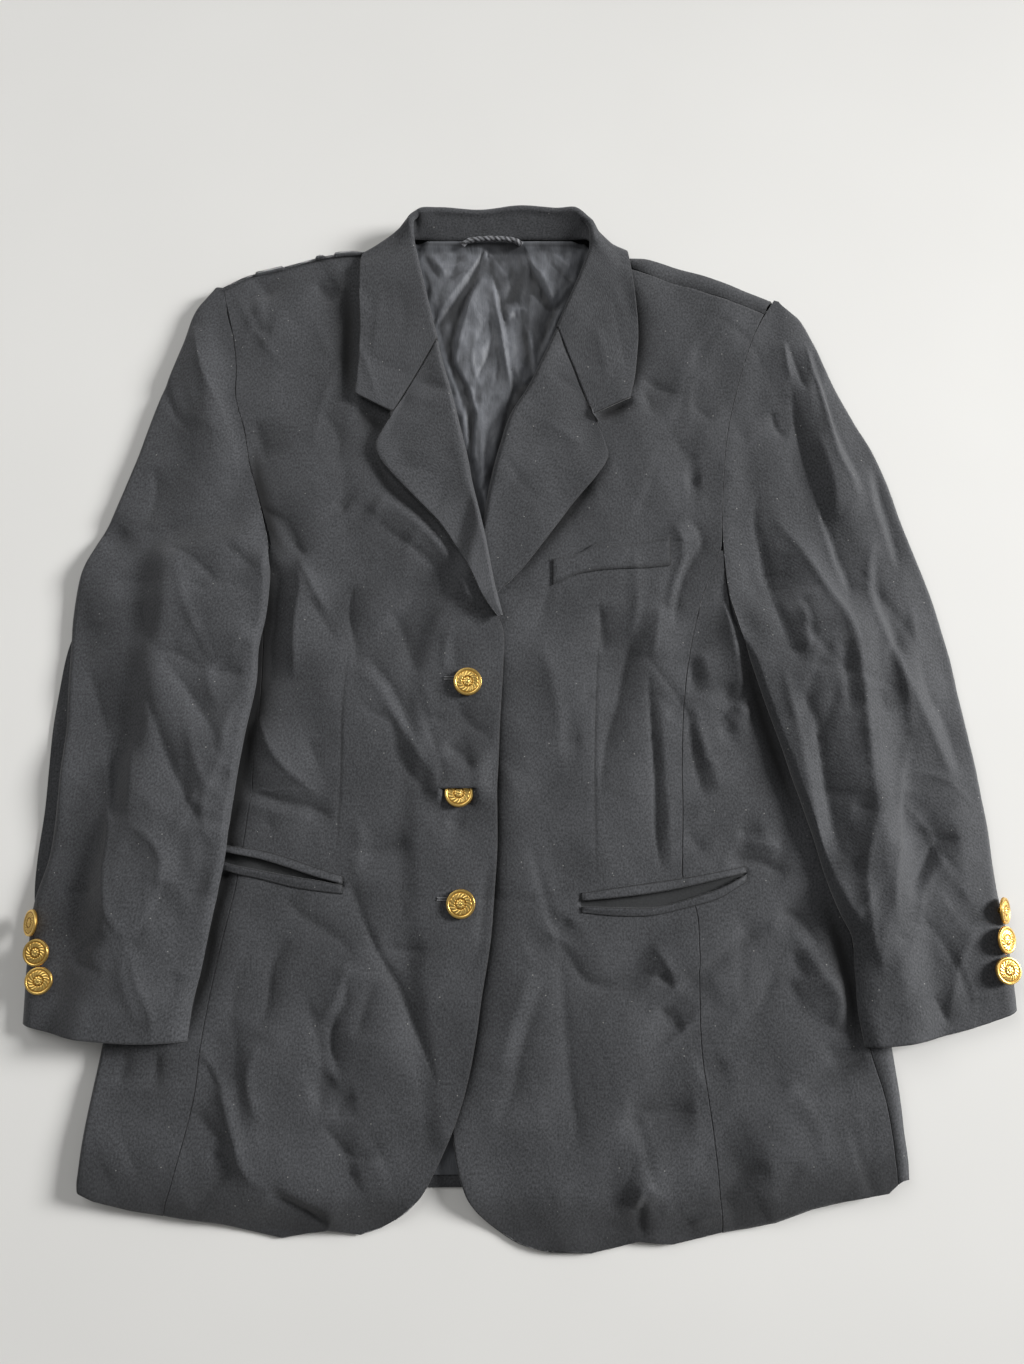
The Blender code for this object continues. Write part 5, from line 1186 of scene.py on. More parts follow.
@dataclass
class Fronts:
    """Both fronts, which lap at the middle, with a dart each, and the side bodies."""

    spacing: float = 2.05
    side_spacing: float = 2.4
    edge_turn: Turn = Turn(4.5)
    edge_bulge: float = 0.95
    dart_depth: float = 0.5
    dart_reach: float = 0.9
    dart_edge: float = 1.1
    dart_margin: float = 2.6
    # Painted shade in a dart, and on the rim of a side seam
    dart_shade: float = 0.6
    shoulder_fade: float = 46.0
    seam_bulge: float = 0.18
    side_seam_shade: float = 0.75
    seam_line: float = 0.7

    def build(self, cloth: Material) -> Pieces:
        """Make the four pieces."""
        shapes = {"front_right": self.right_front(), "front_left": self.left_front(),
            "side_right": self.right_side(), "side_left": self.left_side()}
        return dressed(shapes, cloth, Slot.CLOTH)

    def dart_shares(self, rows: Array, dart: Rows) -> Array:
        """Shares of each row with columns close together along its dart, and even ones on both sides of
        it.

        Args:
            rows: Rows of the front.
            dart: Points x, y of the dart.

        Returns:
            Shares, rows × columns.
        """
        course_x, course_y = np.array(sorted(dart, key=lambda point: point[1]), float).T
        width = rows[:, 2] - rows[:, 0]
        share = np.full(len(rows), 0.4)
        for _ in range(3):
            y = rows[:, 1] + (rows[:, 3] - rows[:, 1]) * share
            share = np.clip((np.interp(y, course_y, course_x) - rows[:, 0]) / width, 0.17, 0.8)
        width, share = np.abs(width)[:, None], share[:, None]
        before, after = [max(int(round(float((part * width).mean()) / self.spacing)), 4)
            for part in (share, 1.0 - share)]
        side, line = self.dart_margin / width, self.seam_line / width
        return np.hstack([
            np.linspace(0.0, 1.0, before + 1)[None, :] * (share - side),
            share + np.array([[-self.dart_edge, 0.0, self.dart_edge]]) / width,
            share + side + np.linspace(0.0, 1.0, after + 1)[None, :] * (1.0 - share - side - line),
            np.ones_like(share),
        ])

    def dart(self, course: Rows, plan: Array) -> Array:
        """Depth of a dart's seam over a plan."""
        return Crease(course, self.dart_reach, -self.dart_depth, 1.6).rise(plan[..., 0], plan[..., 1])

    def closed(self, face: Array, dart: Array, shade: Array, top_seam_shade: float = 0.0,
            **others: Array) -> Surface:
        """Close a front, round at its free edges and flat at its seams, with painted shade on their rims, in
        its dart and in its valleys, troughs and hem.

        Args:
            face: Its outer face.
            dart: Depth of its dart, which also sets the painted shade in it.
            shade: How much painted shade darkens it in its valleys, troughs and at its hem.
            top_seam_shade: How much painted shade darkens the rim of its top edge.
            others: Normals and kept cells, where it has a slit.

        Returns:
            The closed surface.
        """
        bulge, seam = np.full(face.shape[:2], self.seam_bulge), np.zeros(face.shape[:2])
        bulge[:, :2] = bulge[-2:] = self.edge_bulge
        # Painted shade on the rims of the top and side seams, then in the dart, valleys, troughs and hem
        seam[0] = top_seam_shade
        seam[:, -1] = np.maximum(seam[:, -1], self.side_seam_shade)
        relief_and_painted_shade = np.maximum(self.dart_shade * np.clip(dart / -self.dart_depth, 0.0, 1.0), shade)
        return closed_wall(face, face[..., :2], LAYERS.cloth, bulge, relief_and_painted_shade=relief_and_painted_shade, seam=seam, **others)

    def right_front(self) -> Surface:
        """Right front: rows across, split at the buttonhole of the tucked button, whose upper lip stands
        up."""
        rows = np.array([row for row in FRONT_RIGHT if row[1] != BELOW_SLIT], float)
        slit_row = int(np.argmin(np.abs(rows[:, 1] - LAYERS.slit)))
        rows[slit_row, [1, 3]] = LAYERS.slit
        knots = knots_of(rows.reshape(-1, 2, 2))
        slit = knots[slit_row]
        above = evenly(slit, self.spacing)
        places = np.concatenate([above, slit + evenly(knots[-1] - slit, self.spacing)])
        rows = along_curve(knots, rows, places)
        plan = ruled(rows, self.dart_shares(rows, RIGHT_DART))

        top_x, top_y = smooth(np.array(TOP_EDGE, float), 4.0).T
        straight = np.interp(plan[0, :, 0], rows[0, [2, 0]], rows[0, [3, 1]])
        lift = np.interp(plan[0, :, 0], top_x, top_y) - straight
        plan[..., 1] += (1.0 - soft_step(places / self.shoulder_fade))[:, None] * lift[None, :]
        fit_edge(plan, places, HEM)

        x, y = plan[..., 0], plan[..., 1]
        split = len(above)
        height = LAYERS.sunk(x, y, LAYERS.over(x, y)) + self.dart(RIGHT_DART, plan)
        height[:split] += LAYERS.lip(x[:split], y[:split])
        height[split:] += LAYERS.lip_below(x[split:], y[split:])
        plan, height, added = self.turn_shoulder(plan, height)
        split += added
        face = with_height(plan, height)
        normals = np.concatenate([grid_normals(face[:split]), grid_normals(face[split:])])
        keep = np.ones((len(face) - 1, face.shape[1] - 1), bool)
        over_slit = np.abs(plan[split, :, 0] - LAYERS.slit_middle) < LAYERS.slit_half
        keep[split - 1] = ~(over_slit[:-1] & over_slit[1:])
        shade = LAYERS.shade(plan[..., 0], plan[..., 1])
        return self.closed(face, self.dart(RIGHT_DART, plan), shade, normals=normals, keep=keep)

    def turn_shoulder(self, plan: Array, height: Array) -> tuple[Array, Array, int]:
        """Rows before the first: the shoulder's edge turns down on a quarter of an ellipse to the surface.

        Args:
            plan: Points of the front.
            height: Its heights.

        Returns:
            The plan and the heights with the new rows, and how many they are.
        """
        edge, low = plan[0].copy(), LAYERS.bed(plan[0, :, 0], plan[0, :, 1]) + LAYERS.foot
        angles = np.radians(np.linspace(0.0, 75.0, 6))[:, None]
        reach = self.edge_turn.reach
        x = np.repeat(edge[None, :, 0], len(angles), 0)
        y = edge[None, :, 1] - reach * (1.0 - np.cos(angles))
        rise = low + (height[0] - low) * np.sin(angles)
        plan = plan.copy()
        plan[0, :, 1] -= reach
        return np.concatenate([np.dstack([x, y]), plan]), np.concatenate([rise, height]), len(angles)

    def left_front(self) -> Surface:
        """Left front: rows across at the plain level."""
        rows, places = fine_rows(FRONT_LEFT, self.spacing)
        plan = ruled(rows, self.dart_shares(rows, LEFT_DART))
        fit_edge(plan, places, HEM)
        fit_edge(plan, places, SHOULDER_SEAM, 0)
        x, y = plan[..., 0], plan[..., 1]
        dart = self.dart(LEFT_DART, plan)
        height = LAYERS.sunk(x, y, LAYERS.front(x, y) + LAYERS.opening.rise(x, y)) + dart
        shade = np.maximum(LAYERS.shade(x, y), LAYERS.shade(x, y, LAYERS.opening))
        return self.closed(with_height(plan, height), dart, shade, top_seam_shade=1.0)

    def right_side(self) -> Surface:
        """Right side body, whose outer edge turns down to the surface."""
        inner = np.array(FRONT_RIGHT[FIRST_SIDE_ROW_RIGHT:], float)[:, 2:] - (LAYERS.seam_gap, 0.0)
        rows, places = fine_rows(np.hstack([inner, SIDE_RIGHT]), self.side_spacing)
        width = widths(rows)
        shares, down = turned_shares(width, self.edge_turn, self.side_spacing)
        shares = np.insert(shares, 1, self.seam_line / width, axis=1)
        return self.side(rows, places, shares, np.insert(down, 1, 0.0), shares == 0.0)

    def left_side(self) -> Surface:
        """Left side body, sewn to the back along a seam that shows."""
        inner = np.array(FRONT_LEFT[FIRST_SIDE_ROW_LEFT:], float)[:, 2:] + (LAYERS.seam_gap, 0.0)
        rows, places = fine_rows(np.hstack([inner, SIDE_LEFT]), self.side_spacing)
        width = float(widths(rows).mean())
        line = self.seam_line / width
        shares = np.hstack([0.0, np.linspace(line, 1.0 - line, int(width / self.side_spacing)), 1.0])[None, :]
        return self.side(rows, places, shares, np.zeros(1), (shares == 0.0) | (shares == 1.0))

    def side(self, rows: Array, places: Array, shares: Array, down: Array, sewn: Array) -> Surface:
        """Close a side body, with painted shade on the rims of its sewn edges and in its valleys, troughs and
        hem.

        Args:
            rows: Its rows.
            places: How far along it each row is.
            shares: Shares of a row for the columns.
            down: Share of the drop to the surface for each column.
            sewn: Whether a column is sewn.

        Returns:
            The closed surface.
        """
        plan = ruled(rows, shares)
        fit_edge(plan, places, HEM)
        x, y = plan[..., 0], plan[..., 1]
        level = LAYERS.sunk(x, y, LAYERS.front(x, y))
        face = with_height(plan, level - (level - LAYERS.foot) * down)
        # Painted shade on the rims of the sewn columns; the valleys, troughs and hem get it too
        seam = self.side_seam_shade * np.broadcast_to(sewn, x.shape)
        return closed_wall(face, plan, LAYERS.cloth, self.seam_bulge, relief_and_painted_shade=LAYERS.shade(x, y), seam=seam)


# Back and lining

@dataclass
class Back:
    """Back with the strips that turn over the left shoulder and the left side, and its lining."""

    wall: float = 1.6
    spacing: float = 4.2
    shares: Sequence[float] = (0.0, 0.14, 0.23, 0.45, 0.68, 0.78, 0.9, 1.0)
    follow: Sequence[float] = (1.0, 0.8, 0.55, 0.35, 0.15)
    top_inset: float = 10.0
    hem_bow: float = 3.0
    hem_fade: Sequence[float] = (0.25, 0.6, 1.0)
    turned_edge: Rows = ((0.0, 1.0), (4.2, 1.0), (1.5, 0.86), (0.3, 0.5), (1.5, 0.14), (4.5, 0.0))
    wrap_start: float = 66.0
    wrap_end: float = 208.0
    lean_start: float = 170.0
    end_lean: Sequence[float] = (-2.0, 3.2, 6.9, 8.0, 7.4, 4.4)
    plain_inset: float = 3.8
    plain_step: float = 0.8
    plain_side_step: float = 1.2
    side_inset: float = 8.0
    dent: float = 0.45
    opening_length: float = 330.0
    opening_half: float = 82.0
    opening_middle: Rows = ((-60.0, -30.0), (60.0, -25.0), (370.0, -15.0))
    fine_spacing: float = 1.5
    coarse_spacing: float = 12.0
    fine_columns: int = 115
    coarse_columns: int = 12
    lining_puff: float = 4.6
    puff_slope: float = 9.0
    pleat_slope: float = 2.4
    neck_y: float = 366.0
    neck_x: float = -16.0
    neck_half: float = 58.0
    fold_depth: float = 2.6
    fold_shade: float = 0.8

    def build(self, cloth: Material, satin: Material) -> Pieces:
        """Make the back and its lining."""
        made = dressed({"back": self.back()}, cloth, Slot.CLOTH)
        return made | dressed({"back_lining": self.lining()}, satin, Slot.LINING)

    def back(self) -> Surface:
        """The back's coarse grid with its turned edges, made finer; its outer face looks down."""
        rows = np.array(BACK, float)
        shares = np.asarray(self.shares)[None, :]
        plan = ruled(rows, shares)
        plan[-3:, :, 1] -= np.array(self.hem_fade)[:, None] * self.hem_bow * 4.0 * shares * (1.0 - shares)
        for row, follow in enumerate(self.follow):
            straight = np.interp(plan[row, :, 0], plan[0, [0, -1], 0], plan[0, [0, -1], 1])
            top = np.interp(plan[row, :, 0], *np.transpose(TOP_EDGE))
            plan[row, :, 1] += follow * (top - self.top_inset - straight)
        share = np.zeros(plan.shape[:2])
        plan, share = self.turn_over_shoulder(plan, share)
        plan, share = self.turn_over_side(plan, share)
        face = smooth(smooth(with_height(plan, share), self.spacing).transpose(1, 0, 2), self.spacing)
        face = face.transpose(1, 0, 2)
        x, y = face[..., 0], face[..., 1]
        share = np.clip(face[..., 2], 0.0, 1.0)
        bed = LAYERS.bed(x, y)
        face[..., 2] = bed + (LAYERS.front(x, y) - bed) * share
        lying = share < 0.02
        dents = Creases(scattered_creases(5, (-300, -360, 270, 330), 90, 1.0, (6, 16), (40, 140), 70.0))
        face[..., 2] += lying * self.dent * np.abs(np.clip(dents.rise(face[..., 0], face[..., 1]), -1.0, 1.0))
        # Rims where the back is turned up to its seams are darkened with painted shade
        seam = share > 0.99
        return closed_wall(face, face[..., :2], self.wall, 0.5, outer_up=False, seam=seam)

    def turn_over_shoulder(self, plan: Array, height: Array) -> tuple[Array, Array]:
        """Rows that turn over the left shoulder; where nothing turns they lie flat, a little apart.

        Args:
            plan: Points of the back.
            height: Share of the height for each of them.

        Returns:
            The plan and the shares with the new rows.
        """
        edge_x = plan[0, :, 0]
        beyond = soft_step((edge_x - self.wrap_end) / 2.0)
        weight = soft_step((edge_x - self.wrap_start) / 16.0) * (1.0 - beyond)
        seam_y = np.interp(edge_x, *np.asarray(SHOULDER_SEAM, float).T) + LAYERS.seam_gap
        rows, shares = [], []
        at_end = soft_step((edge_x - self.lean_start) / 32.0)
        for step, (inset, share) in enumerate(self.turned_edge):
            x = edge_x + self.end_lean[step] * at_end
            top = np.interp(x, *np.transpose(TOP_EDGE))
            plain = top - self.plain_inset - self.plain_step * step
            turned_y = top - inset if step else seam_y
            rows.append(np.column_stack([x, plain + (turned_y - plain) * weight]))
            shares.append(share * weight)
        return np.concatenate([np.array(rows), plan]), np.concatenate([np.array(shares), height])

    def turn_over_side(self, plan: Array, height: Array) -> tuple[Array, Array]:
        """Columns that turn over the left side to the seam with the side body.

        Args:
            plan: Points of the back.
            height: Share of the height for each of them.

        Returns:
            The plan and the shares with the new columns.
        """
        right = plan[:, -1, :].copy()
        inwards = (plan[:, -2, :] - right) / (right[:, :1] - plan[:, -2, :1])
        plan[:, -1] += self.side_inset * inwards
        first = len(self.turned_edge) + FIRST_WRAP_ROW
        wrapped, seam = np.zeros(len(plan)), np.zeros(len(plan))
        side = np.asarray(SIDE_LEFT[FIRST_WRAP_ROW - FIRST_SIDE_ROW_LEFT:], float)
        wrapped[first:] = 1.0
        seam[first:] = right[first:, 0] - side[:, 0] - LAYERS.seam_gap
        columns, rises = [], []
        for step, (inset, share) in reversed(list(enumerate(self.turned_edge))):
            plain = self.plain_side_step * step
            column = right + inwards * (plain + ((inset if step else seam) - plain) * wrapped)[:, None]
            if step == 0:
                column[first:, 1] = side[:, 1]
            columns.append(column)
            rises.append(share * wrapped + height[:, -1] * (1.0 - wrapped))
        plan = np.concatenate([plan, np.array(columns).transpose(1, 0, 2)], axis=1)
        return plan, np.concatenate([height, np.array(rises).T], axis=1)

    def lining(self) -> Surface:
        """Lining: close rows and columns in the neck opening, where it puffs up and is full of wrinkles; the
        bottoms of the deepest folds are darkened with painted shade.
        """
        rows = np.array(BACK_LINING, float)
        knots = knots_of(rows.reshape(-1, 2, 2))
        seen = self.opening_length
        fine, coarse = evenly(seen, self.fine_spacing), evenly(knots[-1] - seen, self.coarse_spacing)
        rows = along_curve(knots, rows, np.concatenate([fine, seen + coarse[1:]]))
        centre = np.interp(rows[:, 1], *np.transpose(self.opening_middle))
        width = rows[:, 2] - rows[:, 0]
        middle = ((centre - rows[:, 0]) / width)[:, None]
        half = np.minimum(self.opening_half / width, 0.49)[:, None]
        low, high = np.clip(middle - half, 0.02, 1.0), np.clip(middle + half, 0.0, 0.98)
        near = low + (high - low) * (np.linspace(-1.0, 1.0, self.fine_columns)[None, :] + 1.0) / 2.0
        outer = np.linspace(0.0, 1.0, self.coarse_columns + 1)[None, :-1]
        plan = ruled(rows, np.hstack([outer * low, near, 1.0 - (1.0 - high) * outer[:, ::-1]]))
        x, y = plan[..., 0], plan[..., 1]
        show = cover(x, y, NECK_OPENING, self.puff_slope)
        wrinkles = Creases(LINING_WRINKLES, 1.0, 1.1).rise(x, y)
        wrinkles += sum(rise * (cover(x, y, outline, self.pleat_slope) - 0.5)
            for rise, outline in LINING_PLEATS)
        height = LAYERS.lining_top + LAYERS.bed(x, y) + show * self.lining_puff
        height = soft_floor(height + wrinkles * show, LAYERS.lining_top + LAYERS.bed(x, y) - 0.1, 0.15)
        height += show * crumple(x, y, 31, 20.0, 0.6, 5)
        beside = soft_step((np.abs(x - self.neck_x) - self.neck_half) / 10.0)
        at_neck = soft_step((y - self.neck_y) / 8.5) * (1.0 - beside)
        height += (LAYERS.front_top + LAYERS.clearance - height) * at_neck
        # Painted shade at the bottoms of the deepest folds
        folded = self.fold_shade * np.clip((-wrinkles * show - self.fold_depth) / 3.0, 0.0, 1.0)
        return closed_wall(with_height(plan, height), plan, LAYERS.lining, 0.5, relief_and_painted_shade=folded)


# Sleeves

@dataclass
class Sleeve:
    """One sleeve: an upper sleeve, rolled down at its edges, over an under sleeve that lies flat."""

    side: Side
    upper: Rows
    under: Rows
    creases: Creases
    seam_step_y: float
    spacing: float = 2.0
    columns: int = 58
    edge: float = 8.0
    puff: float = 3.4
    facet: float = 50.0
    facet_height: float = 0.7
    turn: Turn = Turn(5.0, 8)
    seam_blend: float = 26.0
    seam_step: float = 4.0
    seam_step_length: float = 55.0
    cuff_bow: float = 5.0
    cuff_bow_reach: float = 30.0
    hollow: float = 0.8
    under_spacing: float = 4.5
    face: Array | None = None

    def build(self, cloth: Material) -> Pieces:
        """Make both pieces of the sleeve."""
        name = self.side.value
        shapes = {f"upper_sleeve_{name}": self.upper_sleeve(), f"under_sleeve_{name}": self.under_sleeve()}
        return dressed(shapes, cloth, Slot.CLOTH)

    def upper_sleeve(self) -> Surface:
        """Rows across the sleeve; at a rolled edge the last columns turn down on a quarter of an ellipse."""
        rows, places = fine_rows(self.upper, self.spacing)
        rows[:, 6] = np.clip(rows[:, 6], 0.0, 1.0)
        outward = np.sign(rows[0, 0])
        rows[:, 0] += outward * LAYERS.seam_gap * (1.0 - rows[:, 6])
        edge_height, foot, roll = rows[:, 4:5], rows[:, 5:6], rows[:, 6:7]
        width = widths(rows)[:, None]
        reach = np.minimum(self.turn.reach + 1.6 * (edge_height - self.edge), 0.4 * width)
        inset, down = self.turn.profile()
        middle = reach + (width - 2.0 * reach) * np.linspace(0.0, 1.0, self.columns)[None, 1:-1]
        across = np.hstack([reach * inset[None, ::-1], middle, width - reach * inset[None, :]])
        flat_part = np.zeros(middle.shape[1] + len(down))
        turned_in = np.concatenate([down[::-1], flat_part])[None, :]
        turned_out = np.concatenate([flat_part, down])[None, :]
        share = across / width
        plan = ruled(rows, share)
        bow_down(plan, places, share, self.cuff_bow, self.cuff_bow_reach)
        x, y = plan[..., 0], plan[..., 1]
        bed = LAYERS.sleeve_bed(x, y)
        edge = share * edge_height + (1.0 - share) * self.edge
        free = bed + edge + swells(x, y, SLEEVE_SWELLS) + self.puff * np.sin(math.pi * share)
        free += self.creases.rise(x, y) + crumple(x, y, 23, self.facet, self.facet_height)
        free = soft_floor(free, bed + 2.0 * LAYERS.cloth + self.hollow)
        below = (self.seam_step_y - rows[:, 1:2]) / self.seam_step_length
        seam_height = LAYERS.front(x, y) + self.seam_step * soft_step(below)
        at_seam = (1.0 - soft_step(across / self.seam_blend)) * (1.0 - roll)
        top = free + (seam_height - free) * at_seam
        height = top - (top - bed - foot) * (turned_in * roll + turned_out)
        self.face = with_height(plan, height)
        # The rim along the sewn inner edge is darkened with painted shade
        seam = (share == 0.0) * (roll < 0.5)
        return closed_wall(self.face, flat_coordinates(self.face), LAYERS.cloth, 0.5, seam=seam)

    def under_sleeve(self) -> Surface:
        """Rows across the under sleeve, on what it lies on; its outer face looks down."""
        rows, _ = fine_rows(self.under, self.under_spacing)
        width = float(widths(rows).mean())
        plan = ruled(rows, np.linspace(0.0, 1.0, int(width / self.under_spacing))[None, :])
        face = with_height(plan, LAYERS.sleeve_bed(plan[..., 0], plan[..., 1]))
        return closed_wall(face, flat_coordinates(face), LAYERS.cloth, 0.5, outer_up=False)

    def seat(self, x: float, y: float) -> Array:
        """Point of the upper sleeve's face at a place."""
        points = self.face.reshape(-1, 3)
        nearest = np.argsort((points[:, 0] - x) ** 2 + (points[:, 1] - y) ** 2)[:4]
        return np.array([x, y, points[nearest, 2].mean()])


# Lapels and collar

@dataclass
class Lapels:
    """Facings of both lapels, rolled over at the roll line and flat at their outer edges."""

    spacing: float = 2.2
    turn: Turn = Turn(4.4)
    roll_rise: float = 2.2
    roll_reach: float = 15.0
    edge_lift: float = 1.8
    edge_reach: float = 16.0
    free_from: float = 130.0
    free_over: float = 60.0

    def build(self, cloth: Material) -> Pieces:
        """Make both lapels."""
        shapes = {f"lapel_{side.value}": self.lapel(side, table)
            for side, table in ((Side.RIGHT, LAPEL_RIGHT), (Side.LEFT, LAPEL_LEFT))}
        return dressed(shapes, cloth, Slot.CLOTH)

    def lapel(self, side: Side, table: Rows) -> Surface:
        """Rows from the outer edge to the roll line, where they turn down to just over the lining.

        Args:
            side: The wearer's side.
            table: Its roll line and outer edge.

        Returns:
            The closed surface.
        """
        rows, _ = fine_rows([(row[2], row[3], row[0], row[1]) for row in table], self.spacing)
        width = widths(rows)
        shares, down = turned_shares(width, self.turn, self.spacing)
        plan = ruled(rows, shares)
        x, y = plan[..., 0], plan[..., 1]
        level = LAYERS.over(x, y) if side is Side.RIGHT else LAYERS.front(x, y)
        from_roll = (1.0 - shares) * width[:, None]
        free = soft_step((rows[:, 3] - self.free_from) / self.free_over)[:, None]
        roll = self.roll_rise * np.exp(-(from_roll / self.roll_reach) ** 2) * (0.3 + 0.7 * free)
        lift = self.edge_lift * np.exp(-(shares * width[:, None] / self.edge_reach) ** 2)
        top = level + LAYERS.lapel_rise + roll + lift + Creases(pressed(LAPEL_CREASES)).rise(x, y)
        low = level - LAYERS.cloth
        face = with_height(plan, top - (top - low) * down)
        # The rim at the gorge, where the lapel meets the collar, is darkened with painted shade
        seam = np.zeros(face.shape[:2])
        seam[0] = 1.0
        return closed_sewn(face, LAYERS.facing, seam)


@dataclass
class Collar:
    """Stand and leaf in one sheet, folded along the roll edge."""

    wall: float = 2.4
    radius: float = 3.4
    seam_rise: float = 0.6
    spacing: float = 2.0
    arc_steps: int = 11
    stand_steps: int = 7
    leaf_rise: float = 3.4
    turn_rise: float = 2.6
    edge_rise: float = 2.8
    gorge_rises: Sequence[float] = (2.7, 0.6, 4.3, 5.6, 6.2)
    front_sections: tuple[int, int] = (5, 4)
    drawn_front_top: float = 7.5
    raised_from: float = 8.0
    lowest: float = 0.3

    def build(self, cloth: Material) -> Pieces:
        """Make the collar."""
        return dressed({"collar": self.sheet()}, cloth, Slot.CLOTH)

    def sheet(self) -> Surface:
        """Sections across the collar, each with a half circle round the roll edge, joined by smooth curves.

        Across, the plan runs straight from point to point of a section, so that the ends keep their corners,
        and the leaf's height follows a smooth curve.  At both ends the half circle stands along the gorge.
        """
        sections, weights = self.sections()
        rolls, seams, leaves = sections[:, 0], sections[:, 1], sections[:, 2:]
        tangent = unit(np.gradient(rolls, axis=0))
        inward = unit(seams - rolls) + unit(leaves[:, 0] - rolls)
        inward = unit(inward - tangent * (inward * tangent).sum(axis=1, keepdims=True))
        leafward = unit(np.cross(tangent, inward))
        ends = [0, -1]
        inward[ends] = unit((leaves[ends, 1] - rolls[ends]) * (1.0, 1.0, 0.0))
        leafward[ends] = (0.0, 0.0, 1.0)
        arc = np.array([rolls + self.radius * ((1.0 - math.cos(angle)) * inward + math.sin(angle) * leafward)
            for angle in np.radians(np.linspace(-90.0, 90.0, self.arc_steps))])
        stand_shares = np.linspace(0.0, 1.0, self.stand_steps)[:-1, None, None]
        stand = seams + (arc[0] - seams) * stand_shares
        corners = np.concatenate([arc[-1:], leaves.transpose(1, 0, 2)])
        knots = knots_of(corners)
        places = np.concatenate([np.linspace(low, high, max(int((high - low) / self.spacing), 2) + 1)[1:]
            for low, high in zip(knots, knots[1:])])
        leaf = np.array([[np.interp(places, knots, corners[:, row, axis]) for axis in (0, 1)]
            for row in range(len(sections))]).transpose(2, 0, 1)
        leaf = np.concatenate([leaf, along_curve(knots, corners[..., 2:], places)], axis=2)
        grid = np.concatenate([stand, arc, leaf]).transpose(1, 0, 2)
        on_front = np.repeat(weights[:, None, None], grid.shape[1], 1)
        grid = np.concatenate([grid, on_front], axis=2)
        knots = knots_of(grid[..., :3])
        face = along_curve(knots, grid, evenly(knots[-1], self.spacing))
        x, y = face[..., 0], face[..., 1]
        height = face[..., 2] + np.clip(face[..., 3], 0.0, 1.0) * (LAYERS.front(x, y) - LAYERS.plain(x, y))
        height = np.maximum(height, self.lowest)
        leaf_columns = np.arange(face.shape[1]) > len(stand) + self.arc_steps
        height += leaf_columns * Creases(pressed(LAPEL_CREASES)).rise(x, y)
        face = with_height(face[..., :2], height)
        # Rims along the neck seam and at the gorges are darkened with painted shade
        seam = np.zeros(face.shape[:2])
        gorge = len(stand) + self.arc_steps + int(np.searchsorted(places, knots_of(corners)[2]))
        seam[[0, -1], :gorge] = seam[:, 0] = 1.0
        return closed_sewn(face, self.wall, seam)

    def sections(self) -> tuple[Array, Array]:
        """Points of each section, and whether it lies on the front, 1, or stands at the neck, 0."""
        lying = LAYERS.gap + self.wall
        rise = (self.seam_rise + self.radius, self.seam_rise, lying + self.leaf_rise, lying + self.turn_rise,
            lying + self.edge_rise)
        raised = LAYERS.front_top - self.drawn_front_top
        points, weights = [], []
        for index, section in enumerate(COLLAR):
            lies = index < self.front_sections[0] or index >= len(COLLAR) - self.front_sections[1]
            weights.append(float(lies))
            for place, point in enumerate(section):
                x, y = point[0], point[1]
                if lies:
                    over = self.gorge_rises if index in (0, len(COLLAR) - 1) else rise
                    z = float(LAYERS.plain(np.float64(x), np.float64(y))) + over[place]
                else:
                    z = point[2] + raised * min(point[2] / self.raised_from, 1.0)
                points.append((x, y, z))
        return np.array(points, float).reshape(len(COLLAR), 5, 3), np.array(weights)


# Pockets

